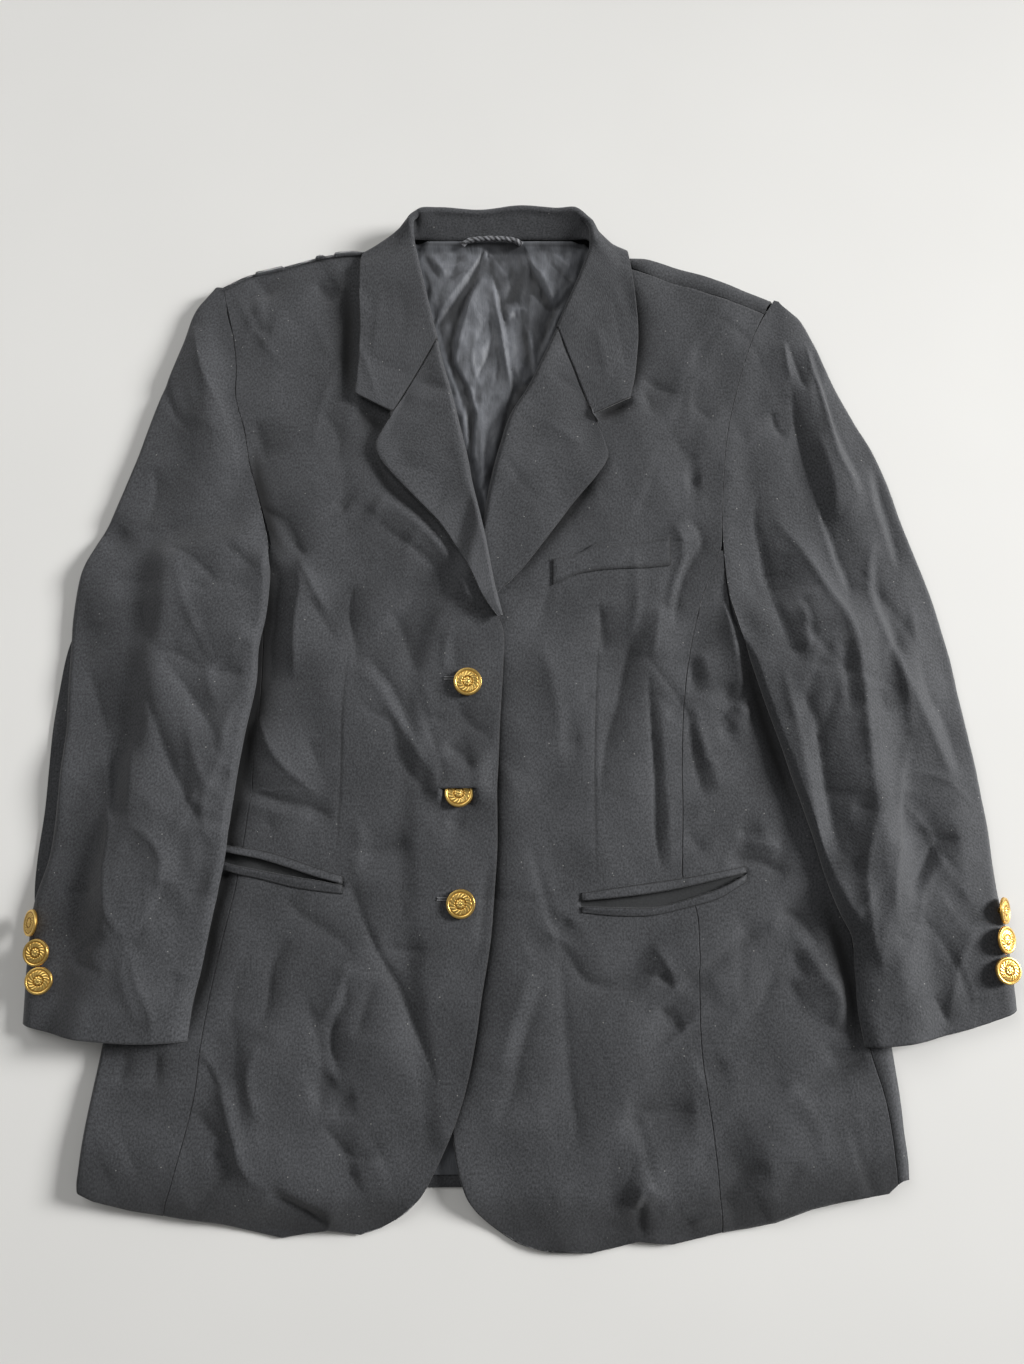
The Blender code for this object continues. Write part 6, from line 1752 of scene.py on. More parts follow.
@dataclass
class Pockets:
    """Breast welt, and the jets and facings of the hip pockets, whose mouths gape."""

    spacing: float = 1.3
    columns: int = 11
    wall: float = 1.4
    sewn_rise: float = 0.75
    mouth_rise: float = 2.2
    facing_rise: float = 0.1
    facing_wall: float = 0.4
    welt_rise: float = 1.5
    end_share: float = 0.03
    # Reach and strength of the painted shade along a strip's edges and at its ends
    end_shade_reach: float = 1.6
    line: float = 0.22
    jet_edge_shades: tuple[float, float] = (0.9, 0.7)
    welt_edge_shades: tuple[float, float] = (0.55, 0.3)
    thin_wall: float = 0.5
    seat: float = 0.15
    facing_shade: float = 0.8

    def build(self, cloth: Material, facing: Material) -> Pieces:
        """Make the welt, the jets and the facings.

        Args:
            cloth: Finish of the welt and the jets.
            facing: Finish of the facings.

        Returns:
            The pieces by node.
        """
        welt = self.strip([(x, bottom, top) for x, top, bottom in WELT])
        made = dressed({"breast_welt": self.sewn(*welt, self.welt_rise, True)}, cloth, Slot.CLOTH)
        for side, jets in ((Side.RIGHT, JETS_RIGHT), (Side.LEFT, JETS_LEFT)):
            name = side.value
            upper = self.strip([(x, top, under) for x, top, under, _, _ in jets])
            lower = self.strip([(x, bottom, low) for x, _, _, low, bottom in jets])
            mouth = self.strip([(x, under + 2.0, low - 2.0) for x, _, under, low, _ in jets])
            made |= dressed({f"jet_upper_{name}": self.sewn(*upper, self.mouth_rise),
                f"jet_lower_{name}": self.sewn(*lower, self.mouth_rise)}, cloth, Slot.CLOTH)
            made |= dressed({f"pocket_facing_{name}": self.facing(*mouth)}, facing, Slot.FACING)
        return made

    def strip(self, stations: Rows) -> tuple[Array, Array]:
        """Points between a sewn edge and an open edge along a pocket, and the share of the way across.

        Args:
            stations: Rows of x, y of the sewn edge and y of the open one.

        Returns:
            The points and the shares, rows × columns.
        """
        table = np.asarray(stations, float)
        knots = knots_of(table[:, :2])
        table = along_curve(knots, table, evenly(knots[-1], self.spacing))
        share = np.linspace(0.0, 1.0, self.columns)[:, None] * np.ones((1, len(table)))
        x = np.broadcast_to(table[None, :, 0], share.shape)
        y = table[None, :, 1] + (table[None, :, 2] - table[None, :, 1]) * share
        return np.dstack([x, y]), share

    def sewn(self, plan: Array, share: Array, rise: float, all_round: bool = False) -> Surface:
        """Jet or welt: low at its sewn edge and ends, and higher at its open edge; painted shade darkens it
        in a line along both edges and at the ends.

        A welt's line of painted shade is faint, but for its ends.

        Args:
            plan: Points of the strip.
            share: Share of the way across for each.
            rise: Height of its open edge over the front.
            all_round: Whether it is a welt, sewn at both edges.

        Returns:
            The closed surface.
        """
        along = np.linspace(0.0, 1.0, plan.shape[1])[None, :] * np.ones_like(share)
        ends = soft_step(along / self.end_share) * soft_step((1.0 - along) / self.end_share)
        lift = self.sewn_rise + (rise - self.sewn_rise) * soft_step(share * 1.3) * ends
        base = LAYERS.front(plan[..., 0], plan[..., 1])
        near_end = np.minimum(along, 1.0 - along) * plan.shape[1] * self.spacing
        below, above = self.welt_edge_shades if all_round else self.jet_edge_shades
        # Painted shade in a line along both edges and at the ends
        edge = np.maximum(below * (1.0 - soft_step(share / self.line)),
            1.0 - soft_step(near_end / self.end_shade_reach))
        edge = np.maximum(edge, above * (1.0 - soft_step((1.0 - share) / self.line)))
        wall = self.wall - (self.wall - self.thin_wall) * (1.0 - soft_step(lift / self.mouth_rise))
        face = with_height(plan, base + lift + self.seat)
        return closed_wall(face, plan, np.minimum(wall, lift), 0.4, relief_and_painted_shade=edge)

    def facing(self, plan: Array, share: Array) -> Surface:
        """Cloth behind a mouth, sunk below the jets, and darkened with painted shade the further it goes
        under the upper one.

        Args:
            plan: Points of the strip.
            share: Share of the way down for each.

        Returns:
            The closed surface.
        """
        x, y = plan[..., 0], plan[..., 1]
        height = LAYERS.sunk(x, y, LAYERS.front(x, y)) + self.facing_rise + self.facing_wall
        shade = self.facing_shade * (1.0 - soft_step(share / 0.4))
        return closed_wall(with_height(plan, height), plan, self.facing_wall, 0.5, relief_and_painted_shade=shade)


# Buttons and hanger loop

@dataclass(frozen=True)
class Button:
    """Cast metal button with a rosette in a wreath of leaves inside a plain rim, on a shank."""

    diameter: float
    shank: float
    sectors: int = 96
    petals: int = 8
    shank_radius: float = 2.1

    def surface(self) -> Surface:
        """Rings from the middle of the face over the rim to the shank's foot.

        The face's height is dome + petals + boss + leaves + pebbles + rim + rope, each a function of the
        share of the radius and of the angle; relief is how far the face stands over its ground.
        """
        radius = self.diameter / 2.0
        share = np.concatenate([np.linspace(0.0, 0.88, 34), np.linspace(0.9, 1.0, 10)])[:, None]
        angle = np.linspace(0.0, 2.0 * math.pi, self.sectors, endpoint=False)[None, :]
        dome = 2.15 + 0.45 * (1.0 - share ** 2)
        petal_edge = 0.36 * (0.70 + 0.30 * np.abs(np.cos(self.petals * angle / 2.0)) ** 0.6)
        petals = 0.42 * (1.0 - soft_step(share / petal_edge * 1.6 - 0.75))
        boss = 0.22 * np.exp(-(share / 0.09) ** 4) - 0.25 * np.exp(-((share - 0.14) / 0.03) ** 2)
        band = soft_step((share - 0.38) / 0.06) * (1.0 - soft_step((share - 0.70) / 0.06))
        leaves = 0.40 * band * np.abs(np.cos(self.petals * angle + 9.0 * share)) ** 0.8
        pebbles = 0.10 * band * np.sin(share * 80.0) * np.cos(angle * 30.0)
        rim = 0.45 * soft_step((share - 0.81) / 0.03) * (1.0 - soft_step((share - 0.95) / 0.05))
        rope = 0.10 * np.exp(-((share - 0.78) / 0.02) ** 2) * (1.0 + np.sin(angle * 48.0))
        relief_and_painted_shade = petals + boss + leaves + pebbles + rim + rope
        height = dome + relief_and_painted_shade - 1.0 * soft_step((share - 0.955) / 0.045)
        face_x, face_y = radius * share * np.cos(angle), radius * share * np.sin(angle)
        face = np.dstack([face_x, face_y, height])
        side = [(1.0 * radius, 1.2), (0.97 * radius, 0.7), (0.90 * radius, 0.4), (0.5 * radius, 0.15),
            (self.shank_radius * 1.25, 0.0), (self.shank_radius, -0.5), (self.shank_radius, -self.shank),
            (0.0, -self.shank)]
        far, low = np.array(side).T
        back = np.dstack([far[:, None] * np.cos(angle), far[:, None] * np.sin(angle),
            np.broadcast_to(low[:, None], (len(side), self.sectors))])
        worn = np.clip(relief_and_painted_shade / 0.4, 0.0, 1.0)
        reach = np.concatenate([worn, np.full((len(side), self.sectors), 0.3)])
        return turned(np.concatenate([face, back]), reach)

    def placed(self, seat: Array, normal: Array, spin: float) -> Surface:
        """The surface turned so that its face looks along a normal, with the middle of its back at a seat.

        Args:
            seat: Middle of the back.
            normal: Where the face looks.
            spin: Turn about the normal, in radians.

        Returns:
            The surface in its place.
        """
        surface = self.surface()
        up = unit(np.asarray(normal, float))
        side = unit(np.cross((0.0, 1.0, 0.0) if abs(up[1]) < 0.9 else (1.0, 0.0, 0.0), up))
        forward = np.cross(up, side)
        turn = np.array([[math.cos(spin), math.sin(spin), 0.0], [-math.sin(spin), math.cos(spin), 0.0],
            [0.0, 0.0, 1.0]])
        surface.points = surface.points @ turn @ np.array([side, forward, up]) + seat
        return surface


@dataclass
class Buttons:
    """Three front buttons and three on each cuff."""

    front: Button = Button(21.8, 6.0)
    cuff: Button = Button(20.0, 3.0)
    standoff: float = 1.0
    buttonholes: Rows = ((-58.5, -50.0, 11.0), (-62.0, -54.0, -155.5))
    front_leans: Rows = ((0.03, 0.02), (0.0, math.sin(math.radians(6.0))), (-0.02, 0.04))
    right_leans: Rows = ((-0.95, 0.10), (-0.12, 0.02), (0.10, 0.05))
    left_leans: Rows = ((1.15, 0.0), (0.62, 0.05), (0.15, 0.08))

    def build(self, brass: Material, sleeves: dict[Side, Sleeve]) -> Pieces:
        """Make all nine buttons.

        Args:
            brass: Finish of the buttons.
            sleeves: Sleeves that the cuff buttons sit on.

        Returns:
            The pieces by node.
        """
        shapes = {}
        for index, (x, y) in enumerate(FRONT_BUTTONS):
            place = np.array([[x], [y]], float)
            back = LAYERS.over(*place)[0] + self.standoff
            button = Button(self.front.diameter, back - LAYERS.front(*place)[0] - LAYERS.seam_gap)
            normal = np.array([*self.front_leans[index], 1.0])
            shapes[f"front_button_{index + 1}"] = button.placed(np.array([x, y, back]), normal, 0.4 * index)
        for side, table, leans in ((Side.RIGHT, CUFF_BUTTONS_RIGHT, self.right_leans),
                (Side.LEFT, CUFF_BUTTONS_LEFT, self.left_leans)):
            for index, (x, y) in enumerate(table):
                normal = unit(np.array([*leans[index], 1.0]))
                seat = sleeves[side].seat(x, y) + normal * (self.cuff.shank + LAYERS.seam_gap)
                shapes[f"cuff_button_{side.value}_{index + 1}"] = self.cuff.placed(seat, normal, 0.7 * index)
        return dressed(shapes, brass, Slot.BRASS)

    def holes(self, cloth: Material) -> None:
        """Stitched ends of the upper and the lower buttonhole, which show beside their buttons: two worked
        bars, with painted shade in the slit between them and along their outer edges."""
        for number, (start, end, y) in enumerate(self.buttonholes, 1):
            length = start + evenly(end - start, 0.5)
            across, along = np.meshgrid(np.linspace(-1.5, 1.5, 13), length, indexing="ij")
            plan = np.dstack([along, y + across])
            rib = 0.12 * np.sin(2.0 * math.pi * along / 1.0)
            bars = 0.5 * np.exp(-((np.abs(across) - 0.85) / 0.45) ** 2) * (1.0 + rib)
            height = LAYERS.over(plan[..., 0], plan[..., 1]) + 0.35 + bars
            # Painted shade in the slit between the bars and along their outer edges
            dark = np.exp(-(across / 0.4) ** 2) + (np.abs(across) > 1.4)
            stitches = closed_wall(with_height(plan, height), plan, 0.3, 0.9, relief_and_painted_shade=np.clip(dark, 0.0, 1.0))
            stitches.put(f"Buttonhole_{number}", cloth, Slot.CLOTH)


@dataclass
class HangerLoop:
    """Braided cord sewn at the back neck."""

    radius: float = 2.2
    around: int = 24
    spacing: float = 0.45
    strands: int = 4
    pitch: float = 8.0

    def build(self, cord: Material) -> Pieces:
        """Make the loop."""
        return dressed({"hanger_loop": self.surface()}, cord, Slot.CORD)

    def surface(self) -> Surface:
        """Tube along the route; radius · (0.87 + 0.16 · the higher of two crossing waves) gives the braid."""
        route = np.asarray(LOOP, float)
        knots = knots_of(route)
        places = evenly(knots[-1], self.spacing)
        middle = along_curve(knots, route, places)
        tangent = unit(np.gradient(middle, axis=0))
        side = unit(np.cross(tangent, (0.0, 0.0, 1.0)))
        upward = np.cross(side, tangent)
        angle = np.linspace(0.0, 2.0 * math.pi, self.around, endpoint=False)[None, :]
        run = 2.0 * math.pi * places[:, None] / self.pitch
        braid = np.maximum(np.cos(self.strands / 2.0 * angle + run), np.cos(self.strands / 2.0 * angle - run))
        reach = (self.radius * (0.87 + 0.16 * braid))[..., None]
        across, over = np.cos(angle)[..., None] * side[:, None], np.sin(angle)[..., None] * upward[:, None]
        ring = middle[:, None] + reach * (across + over)
        first = np.repeat(middle[:1, None], self.around, 1)
        last = np.repeat(middle[-1:, None], self.around, 1)
        surface = turned(np.concatenate([first, ring, last]))
        flat = np.column_stack([np.tile(np.arange(self.around), len(places)) / self.around * 12.0,
            np.repeat(places, self.around)])
        surface.flat = np.concatenate([flat[:1], flat, flat[-1:]])
        return surface


# Finishes

def linear(colour: str) -> tuple[float, float, float, float]:
    """sRGB hex colour as linear values."""
    values = [int(colour[i:i + 2], 16) / 255.0 for i in (1, 3, 5)]
    red, green, blue = (v / 12.92 if v <= 0.04045 else ((v + 0.055) / 1.055) ** 2.4 for v in values)
    return red, green, blue, 1.0


def per_mm(size: float) -> float:
    """Scale of a pattern whose features are so many millimetres wide, on coordinates in metres."""
    return 1.0 / (size * MM)


def bands(pitch: float) -> float:
    """Scale of bands that repeat at a pitch in millimetres; Blender's own repeat every 2π / 20 at scale 1."""
    return per_mm(pitch) * 2.0 * math.pi / 20.0


class Nodes:
    """A material in the making, with its node tree."""

    def __init__(self, name: str) -> None:
        """Start a material that has only its Principled shader."""
        self.material = bpy.data.materials.new(name)
        self.material.use_nodes = True
        self.tree = self.material.node_tree

    def feed(self, node: bpy.types.Node, inputs: dict[Any, Any]) -> None:
        """Give inputs of a node, by name or number, a value, a hex colour or the socket that feeds them."""
        for name, value in inputs.items():
            if isinstance(value, Socket):
                self.tree.links.new(value, node.inputs[name])
            else:
                node.inputs[name].default_value = linear(value) if isinstance(value, str) else value

    def add(self, kind: str, output: str | int, inputs: dict[Any, Any] | None = None,
            **settings: Any) -> Socket:
        """Add a node with its settings and links.

        Args:
            kind: Blender's name of the node's kind, without its prefix.
            output: Name or number of the output that is wanted.
            inputs: Values, hex colours or sockets by input name or number.
            settings: Attributes of the node.

        Returns:
            The output.
        """
        node = self.tree.nodes.new(f"ShaderNode{kind}")
        for name, value in settings.items():
            setattr(node, name, value)
        self.feed(node, inputs or {})
        return node.outputs[output]

    def shaded(self, inputs: dict[str, Any]) -> Material:
        """The material, once its shader has these inputs."""
        self.feed(self.tree.nodes["Principled BSDF"], inputs)
        return self.material


@dataclass(frozen=True)
class WoolTwill:
    """Worsted wool-blend twill, woven and pressed: matt charcoal, a fine slanted rib, a little grey fuzz that
    lights up at a glancing angle, and a few specks of lint."""

    name: str = "Wool_twill"
    dark: str = "#252628"
    light: str = "#4a4b4e"
    lint: str = "#8b8b88"
    # Colour that painted shade darkens the cloth towards: on rims and at seams, in darts, valleys and
    # troughs, and at the hem
    seam: str = "#0c0c0d"
    roughness: float = 0.8
    sheen: float = 0.22
    rib_pitch: float = 2.6
    rib_angle: float = 0.95
    fleck: float = 1.4
    cloud: float = 38.0
    lint_spacing: float = 11.0
    pucker: float = 11.0

    def make(self) -> Material:
        """Make the material.  Ribs of real suiting are 0.5 mm apart and its yarns 0.3 mm wide: 2.6 mm and
        1.4 mm are the finest that show.  The attribute darkens the colour with painted shade: on rims and at
        seams, in darts, valleys and troughs, and at the hem."""
        nodes = Nodes(self.name)
        flat, place = nodes.add("UVMap", "UV", uv_map=CLOTH_UV), nodes.add("TexCoord", "Object")
        slanted = nodes.add("Mapping", 0, {"Vector": flat, "Rotation": (0.0, 0.0, self.rib_angle)})
        rib = nodes.add("TexWave", "Fac", {"Vector": slanted, "Scale": bands(self.rib_pitch),
            "Distortion": 1.2, "Detail": 2.0, "Detail Scale": 3.0}, bands_direction="X")
        stretched = nodes.add("Mapping", 0, {"Vector": flat, "Scale": (1.0, 0.7, 1.0)})
        yarn = nodes.add("TexNoise", "Fac", {"Vector": stretched, "Scale": per_mm(self.fleck),
            "Roughness": 0.6})
        cloud = nodes.add("TexNoise", "Fac", {"Vector": place, "Scale": per_mm(self.cloud), "Detail": 4.0,
            "Roughness": 0.55})
        tone = nodes.add("Math", 0, {0: yarn, 1: 0.75}, operation="MULTIPLY")
        tone = nodes.add("Math", 0, {0: rib, 1: 0.02, 2: tone}, operation="MULTIPLY_ADD")
        tone = nodes.add("Math", 0, {0: cloud, 1: 0.2, 2: tone}, operation="MULTIPLY_ADD")
        shade = nodes.add("MapRange", 0, {"Value": tone, "From Min": 0.32, "From Max": 0.68})
        colour = nodes.add("Mix", 2, {0: shade, 6: self.dark, 7: self.light}, data_type="RGBA")
        specks = nodes.add("TexVoronoi", "Distance", {"Vector": place, "Scale": per_mm(self.lint_spacing)})
        near = nodes.add("MapRange", 0, {"Value": specks, "From Min": 0.03, "From Max": 0.05, "To Min": 0.8,
            "To Max": 0.0})
        colour = nodes.add("Mix", 2, {0: near, 6: colour, 7: self.lint}, data_type="RGBA")
        # How much painted shade darkens the colour at this point
        sewn = nodes.add("Attribute", "Fac", attribute_name=RELIEF_AND_PAINTED_SHADE)
        colour = nodes.add("Mix", 2, {0: sewn, 6: colour, 7: self.seam}, data_type="RGBA")
        pucker = nodes.add("TexNoise", "Fac", {"Vector": place, "Scale": per_mm(self.pucker), "Detail": 3.0})
        bump = nodes.add("Bump", 0, {"Height": pucker, "Distance": 0.9 * MM, "Strength": 0.55})
        bump = nodes.add("Bump", 0, {"Height": rib, "Distance": 0.05 * MM, "Strength": 0.5, "Normal": bump})
        bump = nodes.add("Bump", 0, {"Height": yarn, "Distance": 0.22 * MM, "Strength": 0.7, "Normal": bump})
        return nodes.shaded({"Base Color": colour, "Roughness": self.roughness, "Specular IOR Level": 0.35,
            "Sheen Weight": self.sheen, "Sheen Roughness": 0.45, "Normal": bump})


@dataclass(frozen=True)
class SatinLining:
    """Woven viscose satin: dark grey, with a soft streaky gloss that breaks on every wrinkle; its colour is
    lighter on the crowns of the wrinkles, a painted sheen, and streaky along its threads.
    """

    name: str = "Satin_lining"
    dark: str = "#4a4c50"
    light: str = "#6c6e73"
    # Colour of the painted shade at the bottoms of the folds
    fold_shade_colour: str = "#101113"
    roughness: float = 0.55
    wrinkle: float = 14.0
    crinkle: float = 13.0
    thread: float = 0.9

    def make(self) -> Material:
        """Make the material.  Threads are drawn 0.9 mm apart, where real ones are 0.1 mm; the attribute
        darkens the bottoms of the folds and the rims with painted shade, and the colour is lighter on the
        crowns of the wrinkles, a painted sheen."""
        nodes = Nodes(self.name)
        flat = nodes.add("UVMap", "UV", uv_map=CLOTH_UV)
        stretched = nodes.add("Mapping", 0, {"Vector": flat, "Scale": (1.0, 0.6, 1.0),
            "Rotation": (0.0, 0.0, 0.3)})
        wrinkles = nodes.add("TexNoise", "Fac", {"Vector": stretched, "Scale": per_mm(self.wrinkle),
            "Detail": 4.0, "Roughness": 0.62, "Distortion": 0.7})
        drawn_out = nodes.add("Mapping", 0, {"Vector": flat, "Scale": (1.0, 0.12, 1.0)})
        thread = nodes.add("TexNoise", "Fac", {"Vector": drawn_out, "Scale": per_mm(self.thread)})
        crinkle = nodes.add("TexNoise", "Fac", {"Vector": stretched, "Scale": per_mm(self.crinkle),
            "Detail": 3.0, "Distortion": 1.6}, noise_type="RIDGED_MULTIFRACTAL")
        # Lighter on the crowns of the wrinkles, a painted sheen; the threads add a streaky tone of the weave
        tone = nodes.add("Math", 0, {0: thread, 1: 0.5, 2: wrinkles}, operation="MULTIPLY_ADD")
        shade = nodes.add("MapRange", 0, {"Value": tone, "From Min": 0.5, "From Max": 1.05})
        colour = nodes.add("Mix", 2, {0: shade, 6: self.dark, 7: self.light}, data_type="RGBA")
        # Painted shade at the bottoms of the folds and on the rims
        low = nodes.add("Attribute", "Fac", attribute_name=RELIEF_AND_PAINTED_SHADE)
        colour = nodes.add("Mix", 2, {0: low, 6: colour, 7: self.fold_shade_colour}, data_type="RGBA")
        bump = nodes.add("Bump", 0, {"Height": wrinkles, "Distance": 1.2 * MM, "Strength": 0.7})
        bump = nodes.add("Bump", 0, {"Height": crinkle, "Distance": 0.9 * MM, "Strength": 0.6,
            "Normal": bump})
        bump = nodes.add("Bump", 0, {"Height": thread, "Distance": 0.08 * MM, "Strength": 0.5,
            "Normal": bump})
        return nodes.shaded({"Base Color": colour, "Roughness": self.roughness, "Specular IOR Level": 0.3,
            "Sheen Weight": 0.15, "Normal": bump})


@dataclass(frozen=True)
class FacingInPaintedShade:
    """Facing cut from the same twill, darkened with the pocket's painted shade, most of all under the upper
    jet, and quite matt.
    """

    name: str = "FacingInPaintedShade"
    dark: str = "#1d1e1f"
    light: str = "#353637"
    # Colour of the painted shade deep under the upper jet
    deep: str = "#0a0a0b"
    roughness: float = 0.95
    yarn: float = 1.5

    def make(self) -> Material:
        """Make the material.  Its yarns are drawn 1.5 mm wide, where real ones are 0.3 mm."""
        nodes = Nodes(self.name)
        flat = nodes.add("UVMap", "UV", uv_map=CLOTH_UV)
        weave = nodes.add("TexNoise", "Fac", {"Vector": flat, "Scale": per_mm(self.yarn)})
        colour = nodes.add("Mix", 2, {0: weave, 6: self.dark, 7: self.light}, data_type="RGBA")
        # Painted shade, deepest under the upper jet
        painted_pocket_shade = nodes.add("Attribute", "Fac", attribute_name=RELIEF_AND_PAINTED_SHADE)
        colour = nodes.add("Mix", 2, {0: painted_pocket_shade, 6: colour, 7: self.deep}, data_type="RGBA")
        bump = nodes.add("Bump", 0, {"Height": weave, "Distance": 0.15 * MM, "Strength": 0.6})
        return nodes.shaded({"Base Color": colour, "Roughness": self.roughness, "Normal": bump})


@dataclass(frozen=True)
class AntiqueBrass:
    """Die-cast zinc plated in brass and antiqued: warm pale gold on what stands up, brown-black in what lies
    low, and a soft worn shine."""

    name: str = "Antique_brass"
    worn: str = "#ecc673"
    plate: str = "#ad7d34"
    recess: str = "#4a3212"
    roughness: float = 0.30
    recess_roughness: float = 0.55
    grime: float = 1.6

    def make(self) -> Material:
        """Make the material; the relief attribute drives where the dark finish stays."""
        nodes = Nodes(self.name)
        place = nodes.add("TexCoord", "Object")
        grime = nodes.add("TexNoise", "Fac", {"Vector": place, "Scale": per_mm(self.grime), "Detail": 4.0})
        relief_and_painted_shade = nodes.add("Attribute", "Fac", attribute_name=RELIEF_AND_PAINTED_SHADE)
        height = nodes.add("Math", 0, {0: grime, 1: 0.35, 2: relief_and_painted_shade}, operation="MULTIPLY_ADD")
        colour = nodes.add("ValToRGB", "Color", {"Fac": height})
        stops = colour.node.color_ramp.elements
        stops[0].position, stops[0].color = 0.10, linear(self.recess)
        stops[1].position, stops[1].color = 0.75, linear(self.worn)
        stops.new(0.30).color = linear(self.plate)
        rough = nodes.add("MapRange", 0, {"Value": height, "From Min": 0.1, "From Max": 0.9,
            "To Min": self.recess_roughness, "To Max": self.roughness})
        bump = nodes.add("Bump", 0, {"Height": grime, "Distance": 0.12 * MM, "Strength": 0.5})
        return nodes.shaded({"Base Color": colour, "Metallic": 1.0, "Roughness": rough, "Normal": bump})


@dataclass(frozen=True)
class BraidedCord:
    """Braided viscose cord: black and slightly silky, with a painted highlight of lighter grey along each
    strand's crown.
    """

    name: str = "Braided_cord"
    dark: str = "#1a1a1c"
    light: str = "#77787c"
    roughness: float = 0.5
    strand: float = 2.2

    def make(self) -> Material:
        """Make the material.  Real strands are 1 mm wide: 2.2 mm is the finest that shows."""
        nodes = Nodes(self.name)
        flat = nodes.add("UVMap", "UV", uv_map=CLOTH_UV)
        # The strands' crowns: raised by the bump, and painted lighter as a highlight
        crowns_and_painted_highlight = nodes.add("TexWave", "Fac", {"Vector": flat, "Scale": bands(self.strand), "Distortion": 0.6},
            bands_direction="DIAGONAL")
        colour = nodes.add("Mix", 2, {0: crowns_and_painted_highlight, 6: self.dark, 7: self.light}, data_type="RGBA")
        bump = nodes.add("Bump", 0, {"Height": crowns_and_painted_highlight, "Distance": 0.1 * MM, "Strength": 0.6})
        return nodes.shaded({"Base Color": colour, "Roughness": self.roughness, "Sheen Weight": 0.15,
            "Normal": bump})


@dataclass(frozen=True)
class PaleFloor:
    """Smooth painted board: pale warm grey and matt, with hardly any grain."""

    name: str = "Pale_floor"
    light: str = "#dad9d6"
    shade: str = "#d5d4d1"
    roughness: float = 0.7
    cloud: float = 160.0

    def make(self) -> Material:
        """Make the material."""
        nodes = Nodes(self.name)
        place = nodes.add("TexCoord", "Object")
        cloud = nodes.add("TexNoise", "Fac", {"Vector": place, "Scale": per_mm(self.cloud)})
        colour = nodes.add("Mix", 2, {0: cloud, 6: self.shade, 7: self.light}, data_type="RGBA")
        return nodes.shaded({"Base Color": colour, "Roughness": self.roughness, "Specular IOR Level": 0.2})


# Studio

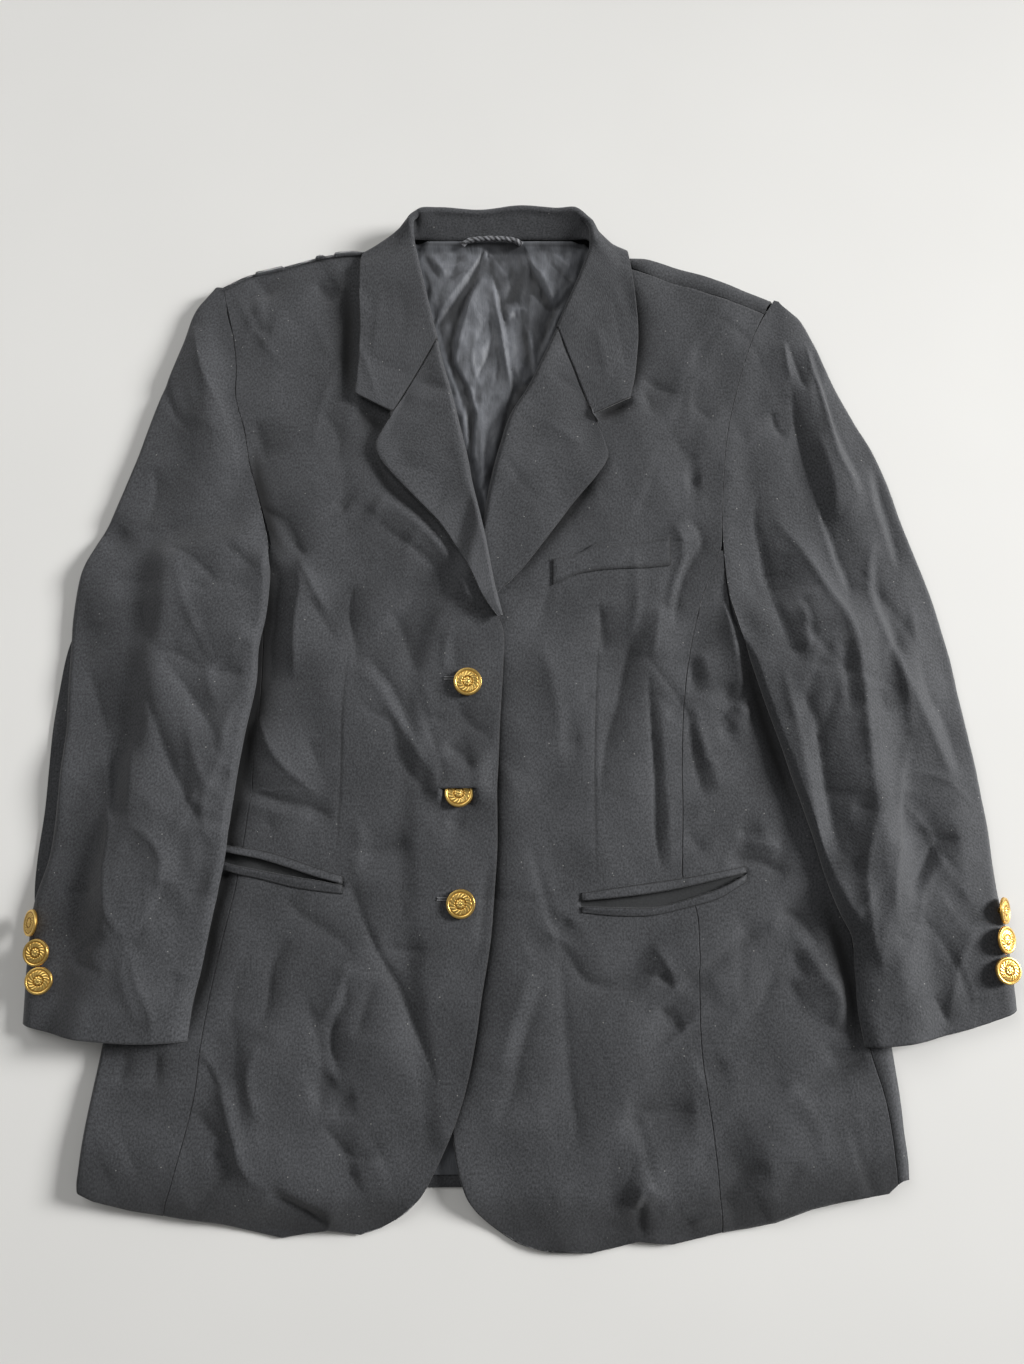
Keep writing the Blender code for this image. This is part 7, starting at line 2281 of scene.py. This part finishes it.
@dataclass
class Studio:
    """Pale floor, a large soft light from the wearer's left, a broad weak one, and the camera overhead."""

    floor_size: float = 9000.0
    floor_level: float = -0.3
    camera_place: tuple[float, float, float] = (-6.0, -119.8, 819.8)
    camera_tilt: float = 9.0
    lens: float = 37.4
    sensor: float = 36.0
    world: str = "#ececeb"
    world_strength: float = 0.24
    key_place: tuple[float, float, float] = (4000.0, 1000.0, 1850.0)
    key_aim: tuple[float, float, float] = (280.0, -90.0, 0.0)
    key_size: float = 1300.0
    key_power: float = 31.0
    key_spread: float = 50.0
    fill_place: tuple[float, float, float] = (-1100.0, 1200.0, 1700.0)
    fill_size: float = 1600.0
    fill_power: float = 20.0

    def build(self, finish: Material) -> None:
        """Make the floor, the lights, the world and the camera."""
        half, low = self.floor_size * MM / 2.0, self.floor_level * MM
        mesh = bpy.data.meshes.new("Floor")
        corners = [(-half, -half, low), (half, -half, low), (half, half, low), (-half, half, low)]
        mesh.from_pydata(corners, [], [(0, 1, 2, 3)])
        mesh.materials.append(finish)
        self.stand("Floor", mesh)
        self.area("Key", self.key_place, self.key_aim, self.key_size, self.key_power, self.key_spread)
        self.area("Fill", self.fill_place, (0.0, 0.0, 0.0), self.fill_size, self.fill_power)
        world = bpy.data.worlds.new("Studio")
        world.use_nodes = True
        background = world.node_tree.nodes["Background"]
        background.inputs["Color"].default_value = linear(self.world)
        background.inputs["Strength"].default_value = self.world_strength
        data = bpy.data.cameras.new("Camera")
        data.lens, data.sensor_width, data.sensor_fit = self.lens, self.sensor, "HORIZONTAL"
        data.clip_start = 0.01
        camera = self.stand("Camera", data, self.camera_place)
        camera.rotation_euler = (math.radians(self.camera_tilt), 0.0, 0.0)
        scene = bpy.context.scene
        scene.world, scene.camera = world, camera
        scene.view_settings.view_transform = "Standard"

    def stand(self, name: str, data: Any, place: Sequence[float] = (0.0, 0.0, 0.0)) -> bpy.types.Object:
        """Put an object of the studio in its place.

        Args:
            name: Its name.
            data: Its mesh, light or camera.
            place: Where it stands.

        Returns:
            The object.
        """
        item = bpy.data.objects.new(name, data)
        item.location = [value * MM for value in place]
        bpy.context.scene.collection.objects.link(item)
        return item

    def area(self, name: str, place: Sequence[float], aim: Sequence[float], size: float, power: float,
            spread: float = 180.0) -> None:
        """Add a square light.

        Args:
            name: Its name.
            place: Where it stands.
            aim: Where it points.
            size: Its side.
            power: Its power in watts.
            spread: Angle of its beam in degrees.
        """
        data = bpy.data.lights.new(name, "AREA")
        data.shape, data.size, data.energy, data.spread = "SQUARE", size * MM, power, math.radians(spread)
        towards = Vector(np.array(aim, float) - np.array(place, float))
        self.stand(name, data, place).rotation_euler = towards.to_track_quat("-Z", "Y").to_euler()


# The blazer


def main() -> None:
    """Build the blazer and its studio, piece by piece."""
    logging.basicConfig(level=logging.INFO, format="%(name)s: %(message)s")
    twill, satin = WoolTwill().make(), SatinLining().make()
    pieces = Back().build(twill, satin)
    pieces.update(Fronts().build(twill))
    right, left = Creases(SLEEVE_CREASES_RIGHT, 1.4, 1.5), Creases(SLEEVE_CREASES_LEFT, 1.5, 1.7)
    sleeves = {
        Side.RIGHT: Sleeve(Side.RIGHT, UPPER_RIGHT, UNDER_RIGHT, right, 170.0),
        Side.LEFT: Sleeve(Side.LEFT, UPPER_LEFT, UNDER_LEFT, left, 110.0),
    }
    for sleeve in sleeves.values():
        pieces.update(sleeve.build(twill))
    pieces.update(Lapels().build(twill))
    pieces.update(Collar().build(twill))
    pieces.update(Pockets().build(twill, FacingInPaintedShade().make()))
    buttons = Buttons()
    pieces.update(buttons.build(AntiqueBrass().make(), sleeves))
    buttons.holes(WoolTwill("Buttonhole_thread", "#47484a", "#7a7b7d").make())
    pieces.update(HangerLoop().build(BraidedCord().make()))
    Studio().build(PaleFloor().make())


if __name__ == "__main__":
    main()
